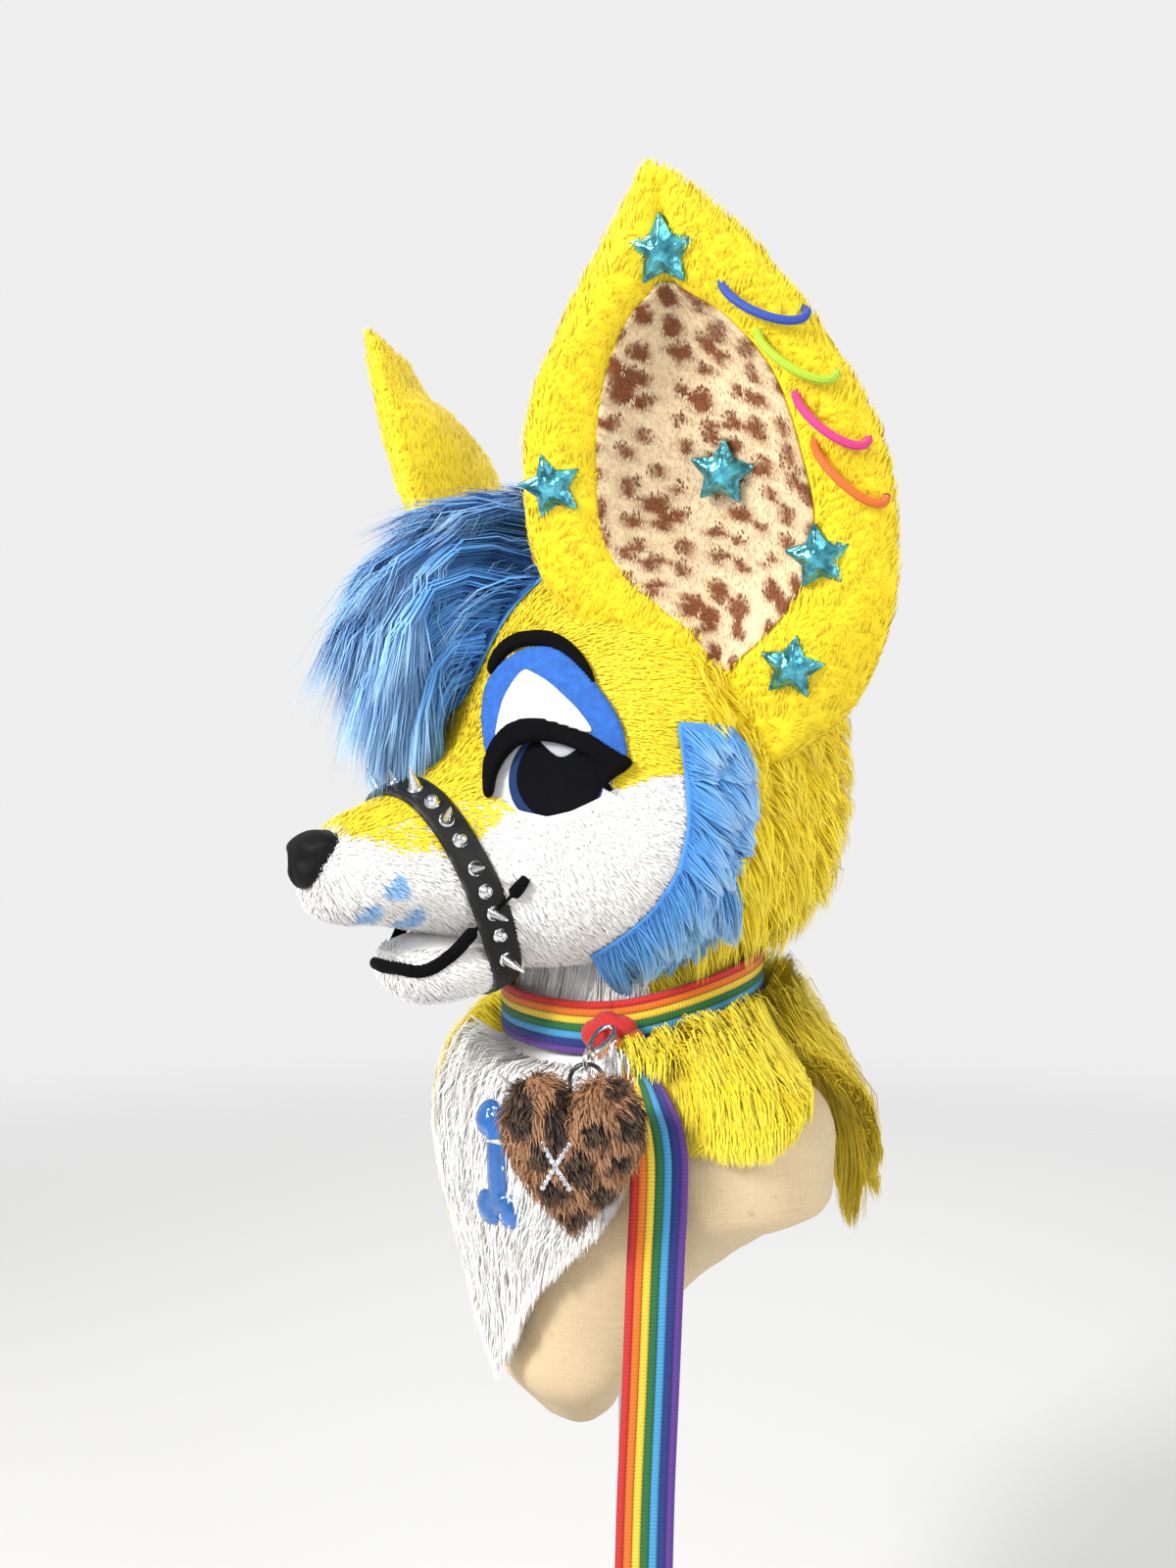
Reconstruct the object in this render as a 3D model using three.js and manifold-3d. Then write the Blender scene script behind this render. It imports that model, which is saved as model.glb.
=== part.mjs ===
// Partial fursuit on a bust form: an animal head with large ears, neck and yoke of long-pile fur,
// a webbing band with its hanging end and a heart charm, on a limbless bust with a pole and a base.
// Millimetres, +Z up. The face looks along -Y and its left side is +X. The origin is on the floor at
// the pole. Heights in the tables are measured from the line of the eyes, LEVEL above the floor.
import * as THREE from 'three';
import { mergeVertices } from 'three/addons/utils/BufferGeometryUtils.js';
import Module from 'manifold-3d';

const wasm = await Module();
wasm.setup();

// Driving dimensions
const LEVEL = 620;
const SEAM = 0.3;
const HEAD_WALL = 14;
const HEAD_RINGS = 18;
const HEAD_SIDES = 20;
const HEAD_SQUARENESS = 0.88;
const HOLLOW_FRONT = -150;
const NECK_OPENING = { radius: 80, y: 4, top: -60, bottom: -140 };

const FORM_SIDES = 18;
const FORM_RINGS = 19;
const FORM_RATIO = 1.75;
const POLE = { radius: 8, bottom: 4.3, top: 450 };
const BASE = { radius: 135, thickness: 8, boss: 17, bossHeight: 24, seat: 4 };

const NECK_PILE = 14;
const NECK_COLUMNS = 20;
const NECK_TOP = -62;
const NECK_FRONT_HALF_ANGLE = 74;
const KNOT = { azimuth: 51, reach: 83, width: 34, height: 27, depth: 15, pull: 35 };
const BAND = {
  width: 29, thickness: 2, radius: 74.3, height: -115, tilt: 14, lowest: 15, dip: 5, steps: 26,
};
const YOKE_PILE = 20;
const YOKE_ROWS = 4;
const YOKE_COLUMNS = 44;
const HEM_TOOTH = 14;

const EYE = { facing: 45, depth: 118.1, recess: 3, thickness: 3 };
const MUZZLE_STRAP = { width: 18, thickness: 2.6, y: -151, z: 2, lean: 26 };
const CHARM = { azimuth: 48, reach: 160, height: -182, width: 72, tall: 82, thick: 38 };
const SWIVEL = { reach: 126, height: -146, wire: 1.3, eye: 5, ring: 9 };

const YELLOW = '#f7e23a';
const WHITE = '#f4f2ea';
const BLUE = '#4a93e0';
const BLACK = '#131315';
const SILVER = '#c9ccd0';
const LINEN = '#d9cbab';

// Small helpers
const radians = THREE.MathUtils.degToRad;
const vector = (x, y, z) => new THREE.Vector3(x, y, z);
const outward = (azimuth) => vector(Math.sin(radians(azimuth)), -Math.cos(radians(azimuth)), 0);
const sideways = (azimuth) => vector(Math.cos(radians(azimuth)), Math.sin(radians(azimuth)), 0);
const steps = (count, make) => Array.from({ length: count }, (_, i) => make(i));
const mix = THREE.MathUtils.lerp;

// A smooth curve through the points (xs, ys) that never overshoots them
function monotone(xs, ys) {
  const secants = steps(xs.length - 1, (i) => (ys[i + 1] - ys[i]) / (xs[i + 1] - xs[i]));
  const slopes = xs.map((_, i) => {
    const before = secants[Math.max(i - 1, 0)];
    const after = secants[Math.min(i, secants.length - 1)];
    return before * after > 0 ? (2 * before * after) / (before + after) : 0;
  });
  return (x) => {
    let i = xs.findIndex((limit) => limit > x) - 1;
    if (i < 0) i = x <= xs[0] ? 0 : xs.length - 2;
    const span = xs[i + 1] - xs[i];
    const t = THREE.MathUtils.clamp((x - xs[i]) / span, 0, 1);
    const u = 1 - t;
    return ys[i] * (1 + 2 * t) * u * u + ys[i + 1] * (3 - 2 * t) * t * t
      + slopes[i] * span * t * u * u - slopes[i + 1] * span * t * t * u;
  };
}

// A table with named columns, read at any place from 0 (first row) to 1 (last row)
class Profile {
  constructor(names, rows) {
    const length = [0];
    for (let i = 1; i < rows.length; i += 1) {
      const square = rows[i].reduce((sum, value, c) => sum + (value - rows[i - 1][c]) ** 2, 0);
      length.push(length[i - 1] + Math.sqrt(square));
    }
    const places = length.map((value) => value / length[rows.length - 1]);
    this.columns = names.map((name, c) => [name, monotone(places, rows.map((row) => row[c]))]);
  }

  at(place) {
    return Object.fromEntries(this.columns.map(([name, curve]) => [name, curve(place)]));
  }

  // Where the first column, which falls from end to end, has this value
  place(value) {
    const curve = this.columns[0][1];
    let low = 0;
    let high = 1;
    for (let i = 0; i < 40; i += 1) {
      const middle = (low + high) / 2;
      if (curve(middle) > value) low = middle;
      else high = middle;
    }
    return (low + high) / 2;
  }
}

// Geometry from corner points and triangles, turned so that its faces point out
function geometryFrom(points, triangles) {
  let volume = 0;
  for (const [a, b, c] of triangles) volume += points[a].dot(points[b].clone().cross(points[c]));
  const faces = volume < 0 ? triangles.map(([a, b, c]) => [a, c, b]) : triangles;
  const geometry = new THREE.BufferGeometry();
  const corners = points.flatMap((p) => [p.x, p.y, p.z]);
  geometry.setAttribute('position', new THREE.Float32BufferAttribute(corners, 3));
  geometry.setIndex(faces.flat());
  return geometry;
}

// A closed body through rings of equal count; start and finish are the end points of its caps
function loft(rings, start, finish) {
  const count = rings[0].length;
  const centre = (ring) => ring.reduce((sum, p) => sum.add(p), vector(0, 0, 0)).divideScalar(ring.length);
  const points = [...rings.flat(), start ?? centre(rings[0]), finish ?? centre(rings[rings.length - 1])];
  const first = rings.length * count;
  const triangles = [];
  for (let i = 0; i < count; i += 1) {
    const next = (i + 1) % count;
    triangles.push([first, next, i], [first + 1, first - count + i, first - count + next]);
    for (let r = 0; r < rings.length - 1; r += 1) {
      const a = r * count;
      const b = a + count;
      triangles.push([a + i, a + next, b + next], [a + i, b + next, b + i]);
    }
  }
  return geometryFrom(points, triangles);
}

// A closed loop of a round section: points of its centre line and the section's radius
function hoop(path, radius, sides = 6) {
  const count = path.length;
  const points = [];
  const centre = path.reduce((sum, p) => sum.add(p), vector(0, 0, 0)).divideScalar(count);
  const axis = path[0].clone().sub(centre).cross(path[Math.floor(count / 4)].clone().sub(centre)).normalize();
  path.forEach((p, i) => {
    const along = path[(i + 1) % count].clone().sub(path[(i + count - 1) % count]).normalize();
    const across = along.clone().cross(axis).normalize();
    const rise = across.clone().cross(along).normalize();
    for (let s = 0; s < sides; s += 1) {
      const angle = (2 * Math.PI * s) / sides;
      points.push(p.clone().addScaledVector(across, radius * Math.cos(angle))
        .addScaledVector(rise, radius * Math.sin(angle)));
    }
  });
  const triangles = [];
  for (let i = 0; i < count; i += 1) {
    for (let s = 0; s < sides; s += 1) {
      const a = i * sides;
      const b = ((i + 1) % count) * sides;
      const next = (s + 1) % sides;
      triangles.push([a + s, a + next, b + next], [a + s, b + next, b + s]);
    }
  }
  return geometryFrom(points, triangles);
}

// A closed sheet of cloth between two grids of points, grid[column][row]
function wall(outer, inner) {
  const columns = outer.length;
  const rows = outer[0].length;
  const points = [...outer.flat(), ...inner.flat()];
  const face = (c, r) => c * rows + r;
  const back = (c, r) => columns * rows + c * rows + r;
  const triangles = [];
  const quad = (a, b, c, d) => triangles.push([a, b, c], [a, c, d]);
  for (let c = 0; c < columns - 1; c += 1) {
    for (let r = 0; r < rows - 1; r += 1) {
      quad(face(c, r), face(c, r + 1), face(c + 1, r + 1), face(c + 1, r));
      quad(back(c, r), back(c + 1, r), back(c + 1, r + 1), back(c, r + 1));
    }
    quad(face(c, 0), face(c + 1, 0), back(c + 1, 0), back(c, 0));
    quad(face(c, rows - 1), back(c, rows - 1), back(c + 1, rows - 1), face(c + 1, rows - 1));
  }
  for (let r = 0; r < rows - 1; r += 1) {
    quad(face(0, r), back(0, r), back(0, r + 1), face(0, r + 1));
    quad(face(columns - 1, r), face(columns - 1, r + 1), back(columns - 1, r + 1), back(columns - 1, r));
  }
  return geometryFrom(points, triangles);
}

// Solids for cutting and joining
function solidOf(geometry) {
  const bare = geometry.clone();
  bare.deleteAttribute('normal');
  bare.deleteAttribute('uv');
  const merged = mergeVertices(bare, 1e-4);
  return new wasm.Manifold(new wasm.Mesh({
    numProp: 3,
    vertProperties: new Float32Array(merged.attributes.position.array),
    triVerts: new Uint32Array(merged.index.array),
  }));
}

function geometryOf(solid) {
  const mesh = solid.getMesh();
  const geometry = new THREE.BufferGeometry();
  geometry.setAttribute('position', new THREE.BufferAttribute(new Float32Array(mesh.vertProperties), 3));
  geometry.setIndex(new THREE.BufferAttribute(new Uint32Array(mesh.triVerts), 1));
  return geometry;
}

const mainBody = (solid) => solid.decompose().sort((a, b) => b.volume() - a.volume())[0];
// The main body of a cut solid, without the slivers that a cut leaves
const largest = (solid) => mainBody(solidOf(geometryOf(mainBody(solid))));
const joined = (solids) => solids.reduce((sum, solid) => sum.add(solid));

const mirrored = (solid) => solid.mirror([1, 0, 0]);
const leftSide = solidOf(new THREE.BoxGeometry(600, 600, 1400).translate(300, 0, 0));
const symmetric = (solid) => {
  const left = solid.intersect(leftSide);
  return left.add(mirrored(left));
};

// A prism of a flat outline, drawn along the axes across and up of a frame and run along its depth
function prism(outline, origin, across, up, from, to) {
  const shape = new THREE.Shape(outline.map(([u, v]) => new THREE.Vector2(u, v)));
  const geometry = new THREE.ExtrudeGeometry(shape, { depth: to - from, bevelEnabled: false });
  const depth = across.clone().cross(up).normalize();
  const frame = new THREE.Matrix4().makeBasis(across, up, depth);
  geometry.translate(0, 0, from).applyMatrix4(frame).translate(origin.x, origin.y, origin.z);
  return solidOf(geometry);
}

// A side-view outline in (y, height), run from one x to another
const sidePrism = (outline, from, to) => prism(
  outline, vector(0, 0, 0), vector(0, 1, 0), vector(0, 0, 1), from, to,
);

// A flat outline moved out by a distance, or in where the distance is negative
function grown(outline, distance) {
  const area = outline.reduce((sum, [x, y], i) => {
    const [nextX, nextY] = outline[(i + 1) % outline.length];
    return sum + x * nextY - nextX * y;
  }, 0);
  const side = Math.sign(area) * distance;
  return outline.map(([x, y], i) => {
    const [ax, ay] = outline[(i + outline.length - 1) % outline.length];
    const [bx, by] = outline[(i + 1) % outline.length];
    const before = new THREE.Vector2(y - ay, ax - x).normalize();
    const after = new THREE.Vector2(by - y, x - bx).normalize();
    const bisector = before.clone().add(after).normalize();
    const reach = side / Math.max(bisector.dot(after), 0.35);
    return [x + bisector.x * reach, y + bisector.y * reach];
  });
}

// A cone that stands on a surface point, its foot sunk by a little
function spike(foot, direction, radius, height, sides = 4) {
  const sunk = 1.5;
  const geometry = new THREE.ConeGeometry(radius, height + sunk, sides).rotateX(Math.PI / 2);
  geometry.translate(0, 0, (height + sunk) / 2 - sunk);
  const turn = new THREE.Quaternion().setFromUnitVectors(vector(0, 0, 1), direction.clone().normalize());
  geometry.applyQuaternion(turn).translate(foot.x, foot.y, foot.z);
  return solidOf(geometry);
}

// A four-sided lock of fur along a bent path, wide at its root and pointed at its tip
function lock(path, face, width, thickness) {
  const curve = new THREE.CatmullRomCurve3(path);
  const stations = [[0, 0.9], [0.5, 1]];
  const rings = stations.map(([place, size]) => {
    const along = curve.getTangent(place);
    const across = along.clone().cross(face).normalize();
    const rise = across.clone().cross(along).normalize();
    const p = curve.getPoint(place);
    return [[1, 0], [0, 1], [-1, 0], [0, -1]].map(([u, v]) => p.clone()
      .addScaledVector(across, (u * size * width) / 2).addScaledVector(rise, (v * size * thickness) / 2));
  });
  return solidOf(loft(rings, undefined, curve.getPoint(1)));
}

// A solid moved out of a surface function by a distance along its normal
function movedOut(surface, centre, place, angle, out) {
  const step = 1e-3;
  const point = surface(place, angle);
  if (!out) return point;
  const alongPlace = surface(Math.min(place + step, 1), angle).sub(surface(Math.max(place - step, 0), angle));
  const alongAngle = surface(place, angle + step).sub(surface(place, angle - step));
  const normal = alongPlace.cross(alongAngle);
  if (normal.length() < 1e-9) return point;
  normal.normalize();
  if (normal.dot(point.clone().sub(centre(place))) < 0) normal.negate();
  return point.addScaledVector(normal, out);
}

// Head: sections from the back of the skull to the tip of the muzzle
const head = new Profile(['y', 'half', 'top', 'bottom', 'widest'], [
  [113, 0, 20, 20, 20],
  [107, 45, 70, -30, 20],
  [91, 82, 105, -70, 20],
  [58, 106, 130, -95, 18],
  [20, 115, 138, -102, 12],
  [-20, 117, 137, -104, 2],
  [-50, 112, 130, -104, -8],
  [-75, 97, 115, -102, -20],
  [-95, 78, 92, -99, -30],
  [-110, 62, 55, -95, -38],
  [-122, 54, 22, -88, -42],
  [-140, 49, 5, -80, -46],
  [-160, 45, -8, -76, -47],
  [-178, 40, -16, -75, -47],
  [-192, 31, -25, -72, -47],
  [-200, 17, -34, -63, -48],
  [-203, 0, -48, -48, -48],
]);
const rounded = (value, power) => Math.sign(value) * Math.abs(value) ** power;

function headPoint(place, angle, out = 0) {
  const surface = (s, a) => {
    const { y, half, top, bottom, widest } = head.at(s);
    const rise = Math.sin(a) > 0 ? top - widest : widest - bottom;
    return vector(
      half * rounded(Math.cos(a), HEAD_SQUARENESS),
      y,
      widest + rise * rounded(Math.sin(a), HEAD_SQUARENESS),
    );
  };
  const centre = (s) => vector(0, THREE.MathUtils.clamp(head.at(s).y, -190, 90), head.at(s).widest);
  return movedOut(surface, centre, place, angle, out);
}

function headSolid(out) {
  const rings = steps(HEAD_RINGS, (i) => {
    const place = (i + 0.6) / (HEAD_RINGS + 0.2);
    return steps(HEAD_SIDES, (j) => headPoint(place, (2 * Math.PI * j) / HEAD_SIDES, out));
  });
  const back = headPoint(0, 0).add(vector(0, out, 0));
  const front = headPoint(1, 0).add(vector(0, -out, 0));
  return symmetric(solidOf(loft(rings, back, front)));
}

// The hollow keeps the foam's thickness to the outside and ends before the muzzle's solid tip
function headHollow() {
  const from = head.place(113 - HEAD_WALL);
  const to = head.place(HOLLOW_FRONT);
  const rings = steps(9, (i) => {
    const { y, half, top, bottom, widest } = head.at(mix(from, to, i / 8));
    return steps(16, (j) => {
      const angle = (2 * Math.PI * j) / 16;
      const rise = (Math.sin(angle) > 0 ? top - widest : widest - bottom) - HEAD_WALL;
      return vector(
        (half - HEAD_WALL) * rounded(Math.cos(angle), HEAD_SQUARENESS),
        y,
        widest + rise * rounded(Math.sin(angle), HEAD_SQUARENESS),
      );
    });
  });
  return solidOf(loft(rings));
}

// Where the head's surface has this x and height, seen from the front
function foreheadPlace(x, height) {
  let low = -209;
  let high = -20;
  for (let i = 0; i < 40; i += 1) {
    const y = (low + high) / 2;
    const { half, top, bottom, widest } = head.at(head.place(y));
    const rise = height > widest ? top - widest : widest - bottom;
    const power = 2 / HEAD_SQUARENESS;
    const inside = (Math.abs(x) / half) ** power + (Math.abs(height - widest) / rise) ** power < 1;
    if (inside) high = y;
    else low = y;
  }
  const y = (low + high) / 2;
  const { half } = head.at(head.place(y));
  const angle = Math.acos(THREE.MathUtils.clamp(rounded(x / half, 1 / HEAD_SQUARENESS), -1, 1));
  return { place: head.place(y), angle: height > head.at(head.place(y)).widest ? angle : -angle };
}

// Bust form: sections from the crown of its plain head down to the tongue of its chest
const form = new Profile(['height', 'halfX', 'halfY', 'centreY'], [
  [123.3, 0, 0, 5],
  [119, 24, 30, 5],
  [103, 52, 62, 4],
  [70, 74, 88, 2],
  [20, 76, 93, 0],
  [-25, 66, 76, 1],
  [-55, 57, 60, 3],
  [-105, 58, 58, 1],
  [-132, 60, 60, 0],
  [-145, 69, 63, 1],
  [-153, 92, 70, 2],
  [-162, 128, 77, 2],
  [-174, 148, 84, 1],
  [-190, 154, 88, 0],
  [-220, 152, 86, -1],
  [-235, 130, 73, -15],
  [-250, 110, 61, -25],
  [-270, 89, 50, -35],
  [-300, 72, 40, -41],
  [-331, 54, 30, -48],
  [-350, 32, 18, -42],
  [-358, 18, 10, -41],
  [-361, 0, 0, -41],
]);

function formPoint(place, angle, out = 0) {
  const surface = (s, a) => {
    const { height, halfX, halfY, centreY } = form.at(s);
    return vector(halfX * Math.sin(a), centreY - halfY * Math.cos(a), height);
  };
  const centre = (s) => vector(0, form.at(s).centreY, THREE.MathUtils.clamp(form.at(s).height, -200, 60));
  return movedOut(surface, centre, place, angle, out);
}

// The angle of a form section's point that lies at this azimuth, seen from above
const aroundForm = (azimuth) => {
  const turns = Math.round(azimuth / 360);
  const rest = radians(azimuth - 360 * turns);
  return Math.atan2(Math.sin(rest) / FORM_RATIO, Math.cos(rest)) + 2 * Math.PI * turns;
};

function formSolid(out) {
  const rings = steps(FORM_RINGS, (i) => {
    const place = (i + 0.5) / FORM_RINGS;
    return steps(FORM_SIDES, (j) => formPoint(place, (2 * Math.PI * j) / FORM_SIDES, out));
  });
  const top = formPoint(0, 0).add(vector(0, 0, out));
  const tip = formPoint(1, 0).add(vector(0, 0, -out));
  return solidOf(loft(rings, top, tip));
}

// Outlines of the cut pieces of the head in the side view: y, height
const CHEEK_TOP = [
  [-216, -36], [-190, -28], [-160, -20], [-135, -10], [-118, -8], [-100, -10], [-72, -3], [-55, 4], [-25, 8],
];
const CHEEK_BACK = [[-25, -45], [-30, -80], [-45, -125]];
const CROWN_SEAM = [[-32, 160], [-28, 60]];

// Outlines round the eye, in the plane that faces along the eye: across, height
const EYE_OPENING = [
  [-49, -5], [-49.5, 6], [-46.5, 17], [-40, 24], [-31, 27], [-20, 27.5], [-8, 25], [5, 20.5], [17, 12.5],
  [24, 9], [18, 3], [15, 0], [18, -4], [8, -9], [-3, -14], [-16, -17], [-31, -14], [-39, -10],
];
const LASH = [
  [-50.5, -6], [-51.5, 8], [-48, 20], [-41, 29], [-31, 33.5], [-20, 34], [-8, 31], [6, 26], [18, 18.5],
  [29, 11], [20, 3], [17, 0.5], [20, -4.5], [14, -2], [13, 4], [9, 12], [-4, 19], [-18, 22], [-31, 20.5],
  [-39, 14], [-44, 5], [-46, -6],
];
const LID = [
  [-51, 15], [-55.7, 30.4], [-57.3, 42.5], [-56.2, 53], [-53, 58], [-43.8, 66.4], [-32.8, 71.5], [-20.2, 72],
  [-9.4, 68], [3, 58], [10.6, 49], [18.3, 38.7], [24, 26.8], [26, 12], [18, 16.5], [6, 24], [-8, 28.5],
  [-20, 31.5], [-31, 31.5], [-41, 27], [-47, 18],
];
const LID_PATCH = [
  [-44.5, 27], [-43.8, 36.3], [-40.6, 46.8], [-32, 58], [-24.9, 57], [-15.6, 51.7], [-6.3, 44], [0, 37.4],
  [3, 31], [-8, 34], [-20, 36.5], [-31, 36], [-40, 31],
];
const BROW = [
  [-55.7, 59], [-54.9, 66.7], [-50, 74], [-42.2, 79], [-31.2, 81.2], [-20.2, 80.2], [-9.4, 75.5], [0, 67],
  [6, 58], [9, 47.6], [3, 55.5], [-6.3, 64.2], [-15.6, 70], [-28, 73], [-39, 72], [-46.9, 67.5], [-52, 60.5],
];
const eyePrism = (outline, from = -60, to = 40) => prism(
  outline, outward(EYE.facing).multiplyScalar(EYE.depth), sideways(EYE.facing), vector(0, 0, 1), from, to,
);

const headOut = new Map();
const headMoved = (out) => {
  if (!headOut.has(out)) headOut.set(out, headSolid(out));
  return headOut.get(out);
};
const headLayer = (from, to) => headMoved(to).subtract(headMoved(from));

// Pieces of the head shell, which rests on the crown of the form
const formGrown = formSolid(SEAM);
const eyeOpenings = joined([eyePrism(EYE_OPENING), mirrored(eyePrism(EYE_OPENING))]);
const neckOpening = solidOf(new THREE.CylinderGeometry(
  NECK_OPENING.radius, NECK_OPENING.radius, NECK_OPENING.top - NECK_OPENING.bottom, 32,
).rotateX(Math.PI / 2).translate(0, NECK_OPENING.y, (NECK_OPENING.top + NECK_OPENING.bottom) / 2));
const headShell = headMoved(0).subtract(headHollow()).subtract(neckOpening).subtract(eyeOpenings)
  .subtract(formGrown);
const cheekOutline = [...CHEEK_TOP, ...CHEEK_BACK, [-216, -125]];
const backOutline = [
  ...CROWN_SEAM, CHEEK_TOP[CHEEK_TOP.length - 1], ...CHEEK_BACK, [140, -125], [140, 160],
];
const backSide = sidePrism(backOutline, -160, 160);
const backSideGrown = sidePrism(grown(backOutline, SEAM), -160, 160);
const cheekSide = sidePrism(cheekOutline, SEAM / 2, 160).subtract(backSideGrown);
const cheekLeft = largest(headShell.intersect(cheekSide));
const cheekRight = mirrored(cheekLeft);
const facePanel = largest(
  headShell.subtract(sidePrism(grown(cheekOutline, SEAM), -160, 160)).subtract(backSideGrown),
);
const headBack = largest(headShell.intersect(backSide));

// Lower jaw, lip line and nose
const JAW_RINGS = 8;
const JAW_SIDES = 12;
const jaw = new Profile(['y', 'half', 'top', 'bottom', 'widest'], [
  [-80, 0, -96, -96, -96],
  [-84, 22, -86, -104, -95],
  [-100, 39, -80, -112, -94],
  [-120, 40, -78, -117, -95],
  [-133, 37, -80, -118, -96],
  [-144, 31, -83, -115, -97],
  [-152, 20, -88, -107, -98],
  [-156, 0, -98, -98, -98],
]);
function jawPoint(place, angle, out = 0) {
  const { y, half, top, bottom, widest } = jaw.at(place);
  const rise = (Math.sin(angle) > 0 ? top - widest : widest - bottom) + out;
  return vector((half + out) * rounded(Math.cos(angle), 0.9), y, widest + rise * Math.sin(angle));
}
function jawSolid(out) {
  const rings = steps(JAW_RINGS, (i) => steps(JAW_SIDES, (j) => (
    jawPoint((i + 0.6) / (JAW_RINGS + 0.2), (2 * Math.PI * j) / JAW_SIDES, out))));
  const back = jawPoint(0, 0).setX(0).add(vector(0, out, 0));
  const front = jawPoint(1, 0).setX(0).add(vector(0, -out, 0));
  return symmetric(solidOf(loft(rings, back, front)));
}
const LIP_PATH = [
  [68, -106, -49], [62, -110, -57], [53, -117, -67], [44, -125, -77], [37, -135, -89], [27, -145, -95],
  [13, -154, -93],
];
function lipSolid(radius) {
  const route = [...LIP_PATH, [0, -156, -92], ...[...LIP_PATH].reverse().map(([x, y, z]) => [-x, y, z])];
  const curve = new THREE.CatmullRomCurve3(route.map(([x, y, z]) => vector(x, y, z)));
  const section = new THREE.Shape(steps(6, (i) => {
    const angle = (Math.PI * i) / 3;
    return new THREE.Vector2(radius * Math.cos(angle), radius * Math.sin(angle));
  }));
  return solidOf(new THREE.ExtrudeGeometry(section, { steps: 18, bevelEnabled: false, extrudePath: curve }));
}
const jawPiece = largest(jawSolid(0).subtract(headMoved(SEAM)).subtract(lipSolid(3 + SEAM)));
const lipLine = largest(lipSolid(3).subtract(headMoved(SEAM)));

const noseProfile = new Profile(['y', 'half', 'top', 'bottom', 'widest'], [
  [-178, 0, -34, -34, -34],
  [-180, 12, -27, -44, -34],
  [-186, 20, -24, -51, -33],
  [-195, 22.5, -24, -55, -32],
  [-203, 19, -27, -55, -34],
  [-208, 12, -31, -49, -37],
  [-210, 0, -40, -40, -40],
]);
const noseSolid = solidOf(loft(steps(8, (i) => steps(12, (j) => {
  const { y, half, top, bottom, widest } = noseProfile.at((i + 0.6) / 8.2);
  const angle = (Math.PI * j) / 6;
  const rise = Math.sin(angle) > 0 ? top - widest : widest - bottom;
  return vector(half * rounded(Math.cos(angle), 0.85), y, widest + rise * Math.sin(angle));
})), vector(0, -178, -34), vector(0, -210, -40)));
const nose = largest(noseSolid.subtract(headMoved(SEAM)));

// Eyes: a mesh plate set into the opening, with lash, lid, patch and brow laid round it
const eyePlate = largest(headMoved(-EYE.recess).subtract(headMoved(-EYE.recess - EYE.thickness))
  .intersect(eyePrism(grown(EYE_OPENING, -SEAM))));
const lash = largest(headLayer(SEAM, 5).intersect(eyePrism(LASH)));
const lid = largest(headLayer(SEAM, 3.2).intersect(eyePrism(LID))
  .subtract(eyePrism(grown(LASH, SEAM))).subtract(eyePrism(grown(EYE_OPENING, SEAM))));
const lidPatch = largest(headLayer(3.5, 4.8).intersect(eyePrism(LID_PATCH)));
const brow = largest(headLayer(SEAM, 4).intersect(eyePrism(BROW)).subtract(eyePrism(grown(LID, SEAM))));

// Strap round the muzzle with cone spikes and low studs: section angle and height of each
const STRAP_METAL = [
  [90, 9], [64, 14], [44, 7], [28, 14], [14, 7], [0, 12], [-14, 7], [-28, 14], [-42, 7],
];
const JAW_SPIKE = { angle: 6, height: 17 };
const strapLean = radians(MUZZLE_STRAP.lean);
const strapNormal = vector(0, Math.cos(strapLean), Math.sin(strapLean));
function strapPoint(surface, angle, out, back, front) {
  let low = back;
  let high = front;
  for (let i = 0; i < 30; i += 1) {
    const middle = (low + high) / 2;
    const p = surface(middle, angle);
    const beyond = (p.y - MUZZLE_STRAP.y) * strapNormal.y + (p.z - MUZZLE_STRAP.z) * strapNormal.z;
    if (beyond > 0) low = middle;
    else high = middle;
  }
  return surface((low + high) / 2, angle, out);
}
const onHead = (angle, out) => strapPoint(headPoint, angle, out, head.place(-90), head.place(-175));
const onJaw = (angle, out) => strapPoint(jawPoint, angle, out, 0, 1);
const strapSlab = solidOf(new THREE.BoxGeometry(180, MUZZLE_STRAP.width, 320)
  .rotateX(strapLean).translate(0, MUZZLE_STRAP.y, MUZZLE_STRAP.z));
const strapOuter = headMoved(SEAM + MUZZLE_STRAP.thickness).add(jawSolid(SEAM + MUZZLE_STRAP.thickness));
const strapInner = headMoved(SEAM).add(jawSolid(SEAM)).add(lipSolid(3 + SEAM));
const strapCloth = largest(strapOuter.subtract(strapInner).intersect(strapSlab));
const strapSpike = (place, degrees, height) => [degrees, 180 - degrees].map((side) => {
  const foot = place(radians(side), SEAM + MUZZLE_STRAP.thickness);
  return spike(foot, foot.clone().sub(place(radians(side), 0)), height > 8 ? 3.6 : 4.2, height);
});
const strapMetal = [
  ...STRAP_METAL.flatMap(([degrees, height]) => strapSpike(onHead, degrees, height)),
  ...strapSpike(onJaw, JAW_SPIKE.angle, JAW_SPIKE.height),
];
const muzzleStrap = largest(strapCloth.add(joined(strapMetal).subtract(strapInner)));

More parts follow.
